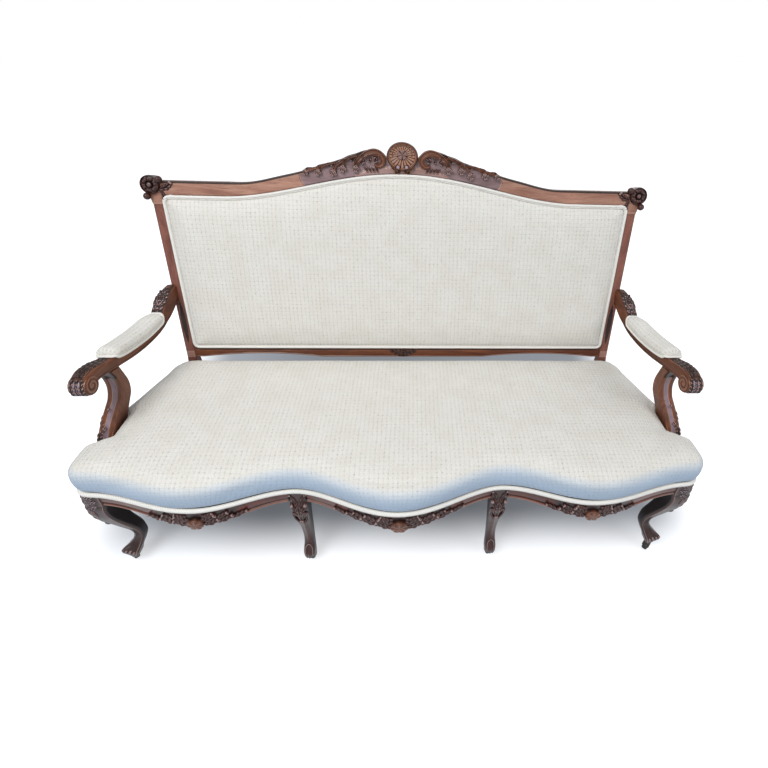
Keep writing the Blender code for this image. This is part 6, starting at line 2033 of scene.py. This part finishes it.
def dust_cloth():
    """The black cambric under the seat, tacked to the rails: a flat grid with a slight sag.

    The sag is the product of two half sines. Returns the body, the flat size and the area."""
    tack = 0.0236
    notch_y = VALLEY_Y - LEG_PROUD + MID_BLOCK + 2 * JOINT_GAP
    x = np.linspace(-1.0, 1.0, 181) * (FRONT_HALF - CORNER_BLOCK - 0.003)
    near_leg = smooth(np.abs(np.abs(x) - MID_LEG_X), 0.030, 0.042)
    front = np.where(near_leg < 1.0, notch_y + near_leg * (front_line(x) + tack - notch_y),
                     front_line(x) + tack)
    rear_y = BACK_FOOT_Y - 0.008
    v = np.linspace(0.0, 1.0, 41)[:, None]
    y = front[None] * (1 - v) + rear_y * v
    edge = side_line(np.maximum(y, 0.06)) - 0.030
    limit = np.where(y > 0.43, np.minimum(edge, REAR_HALF - REAR_BLOCK - 0.002), edge)
    limit = np.minimum(limit, FRONT_HALF - CORNER_BLOCK - 0.003 + np.maximum(y - 0.060, 0.0) * 2.0)
    across = x[None] / (FRONT_HALF - CORNER_BLOCK - 0.003) * limit
    sag = 0.0012 * np.sin(math.pi * v) * np.cos(x[None] / x.max() * math.pi / 2)
    level = RAIL_FOOT - 0.0031 - sag
    top = np.stack((across, y, level), axis=-1)
    made = Body()
    index = np.arange(top.size // 3).reshape(top.shape[:2])
    quads = np.stack((index[:-1, :-1], index[1:, :-1], index[1:, 1:], index[:-1, 1:]), axis=-1)
    made.add_faces(quads.reshape(-1, 4))
    made.keep(top.reshape(-1, 3), None, None)
    wide = np.diff(across, axis=1)[:-1]
    area = float((wide * np.diff(y, axis=0)[:, :-1]).sum())
    return made, (float(across.max() - across.min()), float(y.max() - y.min())), area


# Settings that a user would change


class SetteeSizes(bpy.types.PropertyGroup):
    """Sizes of the upholstery and the setting."""
    waffle: bpy.props.FloatProperty(
        name="Waffle period", description="Width of one square of the waffle cloth",
        default=0.0125, min=0.004, max=0.05, subtype="DISTANCE", unit="LENGTH",
    )
    swell: bpy.props.FloatProperty(
        name="Seat swell", description="Furthest that the simulated seat cloth may move",
        default=0.004, min=0.0, max=0.02, subtype="DISTANCE", unit="LENGTH",
    )
    back_swell: bpy.props.FloatProperty(
        name="Back swell", description="Furthest that the simulated back cloth may move",
        default=0.003, min=0.0, max=0.02, subtype="DISTANCE", unit="LENGTH",
    )
    pressure: bpy.props.FloatProperty(
        name="Stuffing pressure", description="Even push of the stuffing against the covers",
        default=4.0, min=0.0, max=20.0,
    )
    cord_pitch: bpy.props.FloatProperty(
        name="Cord rib pitch", description="Spacing of the slanting ribs on the covered cords",
        default=0.004, min=0.001, max=0.02, subtype="DISTANCE", unit="LENGTH",
    )


def tint(name, what, hex_colour):
    """A colour setting, given as sRGB hex and kept as linear."""
    return bpy.props.FloatVectorProperty(
        name=name, description=what, default=linear(hex_colour), size=4, min=0.0, max=1.0,
        subtype="COLOR",
    )


class SetteeColours(bpy.types.PropertyGroup):
    """Colours of the wood, the cloth and the setting."""
    # The crest's walnut is set paler than the rest of the frame: a painted sheen where the top rail
    # catches the light
    crest_body: tint("Crest wood", "Walnut of the crest between its streaks", "#cb9c86")
    crest_streak: tint("Crest streaks", "Streaks in the walnut of the crest", "#a37360")
    post_body: tint("Post wood", "Walnut of the back posts between its streaks", "#965f4f")
    post_streak: tint("Post streaks", "Streaks in the walnut of the back posts", "#6f4238")
    rail_body: tint("Rail wood", "Walnut of the front rails between its streaks", "#74301f")
    rail_streak: tint("Rail streaks", "Streaks in the walnut of the front rails", "#4a211c")
    warm_body: tint("Frame wood", "Walnut of the arms and rails between its streaks", "#80492c")
    warm_streak: tint("Frame streaks", "Streaks in the walnut of the arms and rails", "#5a301c")
    carved_body: tint("Carved wood", "Walnut of the carving and the legs", "#52241f")
    carved_streak: tint("Carved streaks", "Streaks in the walnut of the carving", "#33130f")
    # Pale colours for handled edges and high carving, which also paint a highlight on them
    rubbed: tint("Rubbed edges", "Edges of the frame rubbed pale", "#c99a80")
    carved_rubbed: tint("Rubbed carving", "High places of the carving rubbed pale", "#b9a09a")
    grain_dark: tint("Grain lines", "Fine dark lines of the grain", "#3a1f18")
    cloth: tint("Cloth", "The waffle cloth", "#ece9e1")
    cloth_warm: tint("Cloth, aged", "The waffle cloth where it has yellowed", "#e7e3d9")
    fleck: tint("Weft dashes", "The grey dashes between the waffle's squares", "#9b9a93")
    cord: tint("Cord", "The cloth over the cords", "#f6f4ef")
    cord_shade: tint("Cord hollows", "The cloth over the cords, between its ribs", "#e3e0d8")
    floor: tint("Floor", "The floor of the stage", "#aeb2b8")


def finish(name):
    """A finish by name, made from the settings the first time that it is asked for."""
    known = bpy.data.materials.get(name)
    if known:
        return known
    size, tone = bpy.context.scene.settee_sizes, bpy.context.scene.settee_colours
    makers = {
        "cotton_waffle_cloth": (waffle_cloth, tone.cloth, tone.cloth_warm, tone.fleck, size.waffle),
        "covered_cord": (cord_cloth, tone.cord, tone.cord_shade, size.cord_pitch),
        "sawn_beech": (sawn_beech,),
        "jute_webbing": (plain_weave, linear("#a68a5c"), linear("#5d4729"), 0.0022),
        "black_cambric": (plain_weave, linear("#26262a"), linear("#0e0e10"), 0.0016),
        "old_cast_brass": (dull_metal, linear("#8a6a3c"), linear("#33261a"), 0.38, 1.0),
        "worn_iron_wheel": (dull_metal, linear("#3a3e42"), linear("#15171a"), 0.42, 0.6),
        "coppered_spring_wire": (dull_metal, linear("#8a8480"), linear("#55483f"), 0.40, 1.0),
    }
    for stem, body, streak, rub_and_sheen in (
        ("crest_walnut", tone.crest_body, tone.crest_streak, tone.rubbed),
        ("post_walnut", tone.post_body, tone.post_streak, tone.rubbed),
        ("frame_walnut", tone.warm_body, tone.warm_streak, tone.rubbed),
        ("rail_walnut", tone.rail_body, tone.rail_streak, tone.rubbed),
        ("carved_walnut", tone.carved_body, tone.carved_streak, tone.carved_rubbed),
    ):
        for axis in GRAIN_AXES:
            makers[f"{stem}_{axis}"] = (polished_walnut, axis, tone.grain_dark, body, streak, rub_and_sheen)
    if name not in makers:
        raise ValueError(f"there is no finish named {name}")
    make, *values = makers[name]
    return make(name, *values)


# Angle above which an edge stays crisp, by slot, and for all other slots
SHARP_ANGLES = {"walnut": 50.0, "carved_walnut": 60.0}
PLAIN_ANGLE = 38.0
WOVEN_SLOTS = ("cream_cloth", "welt_cord")


def dress(made, name, material, slot_name, *nodes, sharp=None):
    """Builds a body as an object that rides on the frame and stands for CAD nodes.

    Edges sharper than an angle stay crisp: the slot's own angle, if no other is given."""
    angle = sharp or SHARP_ANGLES.get(slot_name, PLAIN_ANGLE)
    uv_name = "weave" if slot_name in WOVEN_SLOTS else None
    thing = made.build(name, finish(material), angle, uv_name)
    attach(thing, "frame")
    if nodes:
        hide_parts(*nodes)
    return thing


def dress_sides(*rows, sharp=None):
    """Dresses the left pieces, as mirror images, and then the right ones; returns all of them.

    A row is (shape for the right side, name, material, slot, and the stem of the CAD node)."""
    things = []
    for label in ("left", "right"):
        for shape, name, material, slot_name, *stems in rows:
            made = shape() if label == "right" else shape().mirrored()
            nodes = [f"{stem}_{label}" for stem in stems]
            things.append(dress(made, f"{name}_{label}", material, slot_name, *nodes, sharp=sharp))
    return things


def refinish(material, slot_name, *stems):
    """Gives a finish to the CAD nodes whose names start with the stems."""
    found = [node for name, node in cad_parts.items() if name.startswith(stems)]
    if not found:
        raise ValueError(f"no CAD node starts with {stems}")
    for node in found:
        node.data.materials.clear()
        node.data.materials.append(finish(material))


# Operators


class SETTEE_OT_seat(bpy.types.Operator):
    """Makes the stuffed seat and the thick cord on its lower edge"""
    bl_idname = "settee.seat"
    bl_label = "Seat cover and cord"

    def execute(self, context):
        made, hem = seat_cover()
        seat = dress(made, "seat_cover", "cotton_waffle_cloth", "cream_cloth", "seat_cushion")
        size = context.scene.settee_sizes
        swell(seat, hem, size.pressure, size.swell)
        dress(seat_welt(), "seat_edge_cord", "covered_cord", "welt_cord", "seat_welt")
        return {"FINISHED"}


class SETTEE_OT_back(bpy.types.Operator):
    """Makes the stuffed back, its double cord and the cover over the outside"""
    bl_idname = "settee.back"
    bl_label = "Back covers and cord"

    def execute(self, context):
        size = context.scene.settee_sizes
        made, hem = back_cover()
        pad = dress(made, "back_cover", "cotton_waffle_cloth", "cream_cloth", "back_pad")
        swell(pad, hem * 2, size.pressure, size.back_swell)
        dress(back_cord(), "back_double_cord", "covered_cord", "welt_cord", "back_welt")
        outside = dress(outside_cover()[0], "outside_back_cover", "cotton_waffle_cloth",
                        "cream_cloth", "outside_back")
        return {"FINISHED"}


class SETTEE_OT_arm_covers(bpy.types.Operator):
    """Makes the stuffed arm pads and the cord round each"""
    bl_idname = "settee.arm_covers"
    bl_label = "Arm pads and cords"

    def execute(self, context):
        things = dress_sides(
            (arm_cover, "arm_cover", "cotton_waffle_cloth", "cream_cloth", "arm_pad"),
            (arm_cord, "arm_cord", "covered_cord", "welt_cord", "arm_welt"),
        )
        for cover in things[::2]:
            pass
        return {"FINISHED"}


class SETTEE_OT_crest(bpy.types.Operator):
    """Makes the crest rail with its shell, scrolls, fronds and corner rosettes"""
    bl_idname = "settee.crest"
    bl_label = "Crest and its carving"

    def execute(self, context):
        dress(crest_rail(), "crest_plank", "crest_walnut_x", "walnut", "crest_rail")
        dress(crest_shell(), "crest_scallop", "frame_walnut_z", "carved_walnut", "crest_shell")
        dress_sides(
            (crest_band, "crest_band", "frame_walnut_x", "carved_walnut"),
            (crest_scroll, "crest_fronds", "carved_walnut_x", "carved_walnut", "crest_scroll"),
            (finial, "corner_rosette", "carved_walnut_z", "carved_walnut", "finial"),
        )
        return {"FINISHED"}


class SETTEE_OT_back_frame(bpy.types.Operator):
    """Makes the rear legs with their posts, and the rail under the back"""
    bl_idname = "settee.back_frame"
    bl_label = "Posts and lower back rail"

    def execute(self, context):
        post = (rear_post, "post_and_rear_leg", "post_walnut_z", "walnut", "rear_post")
        dress_sides(post, sharp=PLAIN_ANGLE)
        dress(lower_back_rail(), "scalloped_back_rail", "frame_walnut_x", "walnut",
              "lower_back_rail")
        return {"FINISHED"}


class SETTEE_OT_arms(bpy.types.Operator):
    """Makes the open arms with their volutes, and the supports under them"""
    bl_idname = "settee.arms"
    bl_label = "Arms and supports"

    def execute(self, context):
        dress_sides(
            (arm, "scrolled_arm", "frame_walnut_y", "walnut", "arm"),
            (arm_support, "curved_support", "frame_walnut_z", "walnut", "arm_support"),
        )
        return {"FINISHED"}


class SETTEE_OT_front_rails(bpy.types.Operator):
    """Makes the serpentine front rails and the leaf sprays on their bows"""
    bl_idname = "settee.front_rails"
    bl_label = "Front rails and sprays"

    def execute(self, context):
        low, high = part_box("front_rail_right")
        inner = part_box("front_rail_centre")[1].x
        dress(front_rail(-inner, inner, 150), "front_rail_middle", "rail_walnut_x", "walnut",
              "front_rail_centre")
        dress(bow_shell(0.0, 0.0230, 0.0195), "bow_shell_middle", "frame_walnut_x",
              "carved_walnut")
        dress(spray(0.0, CENTRE_SPRAY), "spray_middle", "carved_walnut_x", "carved_walnut",
              "rail_leaf_centre")
        dress_sides(
            (lambda: bow_shell(LOBE_X, 0.0205, 0.0180), "bow_shell", "frame_walnut_x",
             "carved_walnut"),
            (lambda: front_rail(low.x, high.x, 120), "front_rail_bow", "rail_walnut_x", "walnut",
             "front_rail"),
            (lambda: spray(LOBE_X, SIDE_SPRAY), "spray", "carved_walnut_x", "carved_walnut",
             "rail_leaf"),
        )
        return {"FINISHED"}


class SETTEE_OT_legs(bpy.types.Operator):
    """Makes the four carved cabriole legs at the front"""
    bl_idname = "settee.legs"
    bl_label = "Front legs"

    def execute(self, context):
        dress_sides(
            (corner_leg, "cabriole_leg", "carved_walnut_z", "walnut", "corner_leg"),
            (mid_leg, "shield_leg", "carved_walnut_z", "walnut", "mid_leg"),
        )
        return {"FINISHED"}


class SETTEE_OT_inside(bpy.types.Operator):
    """Makes the straps and the dust cover, and finishes the parts kept from the frame"""
    bl_idname = "settee.inside"
    bl_label = "Straps, dust cover and kept parts"

    def execute(self, context):
        for name, (made, length), node, rest in (
            ("seat_straps", seat_straps(), "seat_webbing", "seat_brace_left"),
            ("back_straps", back_straps(), "back_webbing", "post_and_rear_leg_left"),
        ):
            webbing = dress(made, name, "jute_webbing", "jute", node)
        made, flat, area = dust_cloth()
        cloth = dress(made, "cambric_dust_cover", "black_cambric", "black_cambric", "dust_cover")
        refinish("frame_walnut_y", "walnut", "side_rail_")
        refinish("sawn_beech", "beech", "rear_seat_rail", "seat_brace_", "glue_block_")
        refinish("coppered_spring_wire", "spring_steel", "seat_springs")
        refinish("old_cast_brass", "aged_brass", "castor_plate_", "castor_horn_", "castor_axle_")
        refinish("worn_iron_wheel", "castor_wheel", "castor_wheel_")
        return {"FINISHED"}


# The camera's place and angles, lens and shift, as solved from the view that is rebuilt
CAMERA_PLACE = (0.033, -1.094736, 1.428)
CAMERA_YAW, CAMERA_PITCH, CAMERA_ROLL = (math.radians(a) for a in (4.544, 33.588, 2.784))
SENSOR_WIDTH, LENS = 36.0, 21.837
LENS_SHIFT = (-0.07757, -0.07239)
FLOOR_HALF, FLOOR_DROP = 14.0, 0.0005
LAMP_AIM = (0.0, -0.10, 0.45)
LAMPS = (
    ("key", (-1.2, -1.7, 3.2), 76.0, 1.9), ("fill", (2.6, -1.4, 2.4), 26.0, 2.4),
    ("rear", (0.6, 3.0, 2.6), 26.0, 2.0), ("front", (0.2, -3.2, 1.1), 7.0, 2.0),
)


def camera_turn():
    """The camera's axes as a matrix: forward from yaw and pitch, then a roll about it."""
    level_share = math.cos(CAMERA_PITCH)
    forward = Vector((
        math.sin(CAMERA_YAW) * level_share, math.cos(CAMERA_YAW) * level_share,
        -math.sin(CAMERA_PITCH),
    ))
    level = Vector((math.cos(CAMERA_YAW), -math.sin(CAMERA_YAW), 0.0))
    above = level.cross(forward)
    right = level * math.cos(CAMERA_ROLL) + above * math.sin(CAMERA_ROLL)
    up = above * math.cos(CAMERA_ROLL) - level * math.sin(CAMERA_ROLL)
    return Matrix((right, up, -forward)).transposed()


def studio_world(name):
    """A soft cool sky for the light, and plain white where it is looked at or mirrored."""
    world = bpy.data.worlds.new(name)
    world.use_nodes = True
    tree = world.node_tree
    tree.nodes.clear()
    soft = add(tree, "ShaderNodeBackground", links={"Color": linear("#eaf0fb"), "Strength": 0.42})
    white = add(tree, "ShaderNodeBackground", links={"Color": WHITE, "Strength": 1.0})
    both = add(tree, "ShaderNodeMixShader", links={
        "Fac": looked_at(tree), 1: soft.outputs["Background"], 2: white.outputs["Background"],
    })
    add(tree, "ShaderNodeOutputWorld", links={"Surface": both.outputs["Shader"]})
    return world


class SETTEE_OT_stage(bpy.types.Operator):
    """Makes the floor, the lamps, the world light and the camera"""
    bl_idname = "settee.stage"
    bl_label = "Stage, lights and camera"

    def execute(self, context):
        tone = context.scene.settee_colours
        mesh = bpy.data.meshes.new("floor")
        corners = np.array(((-1, -1, 0), (1, -1, 0), (1, 1, 0), (-1, 1, 0)), float) * FLOOR_HALF
        mesh.from_pydata(corners.tolist(), [], [(0, 1, 2, 3)])
        floor = bpy.data.objects.new("floor", mesh)
        mesh.materials.append(stage_floor("painted_floor", tone.floor))
        context.scene.collection.objects.link(floor)
        floor.location.z = -FLOOR_DROP
        for name, place, power, size in LAMPS:
            data = bpy.data.lights.new(name, "AREA")
            data.energy, data.size, data.shape = power, size, "DISK"
            lamp = bpy.data.objects.new(name, data)
            lamp.location = place
            away = Vector(LAMP_AIM) - Vector(place)
            lamp.rotation_euler = away.to_track_quat("-Z", "Y").to_euler()
            context.scene.collection.objects.link(lamp)
        context.scene.world = studio_world("soft_studio")
        data = bpy.data.cameras.new("camera")
        data.sensor_width, data.lens = SENSOR_WIDTH, LENS
        data.shift_x, data.shift_y = LENS_SHIFT
        data.clip_start, data.clip_end = 0.01, 100.0
        camera = bpy.data.objects.new("camera", data)
        camera.matrix_world = Matrix.Translation(CAMERA_PLACE) @ camera_turn().to_4x4()
        context.scene.collection.objects.link(camera)
        context.scene.camera = camera
        context.scene.view_settings.view_transform = "Standard"
        return {"FINISHED"}


STEPS = (
    SETTEE_OT_stage, SETTEE_OT_seat, SETTEE_OT_back, SETTEE_OT_arm_covers, SETTEE_OT_crest,
    SETTEE_OT_back_frame, SETTEE_OT_arms, SETTEE_OT_front_rails, SETTEE_OT_legs, SETTEE_OT_inside,
)


class SETTEE_PT_pieces(bpy.types.Panel):
    """Lists the settee's pieces and its settings"""
    bl_idname = "SETTEE_PT_pieces"
    bl_label = "Settee"
    bl_space_type = "VIEW_3D"
    bl_region_type = "UI"
    bl_category = "Settee"

    def draw(self, context):
        for step in STEPS:
            self.layout.operator(step.bl_idname)
        for group in (context.scene.settee_sizes, context.scene.settee_colours):
            box = self.layout.box()
            for name in group.__annotations__:
                box.prop(group, name)


CLASSES = (SetteeSizes, SetteeColours, *STEPS, SETTEE_PT_pieces)


def register():
    for kind in CLASSES:
        bpy.utils.register_class(kind)
    bpy.types.Scene.settee_sizes = bpy.props.PointerProperty(type=SetteeSizes)
    bpy.types.Scene.settee_colours = bpy.props.PointerProperty(type=SetteeColours)


def unregister():
    del bpy.types.Scene.settee_colours
    del bpy.types.Scene.settee_sizes
    for kind in reversed(CLASSES):
        bpy.utils.unregister_class(kind)


def main():
    register()
    for step in STEPS:
        group, name = step.bl_idname.split(".")
        getattr(getattr(bpy.ops, group), name)()
    bpy.context.view_layer.update()


if __name__ == "__main__":
    main()
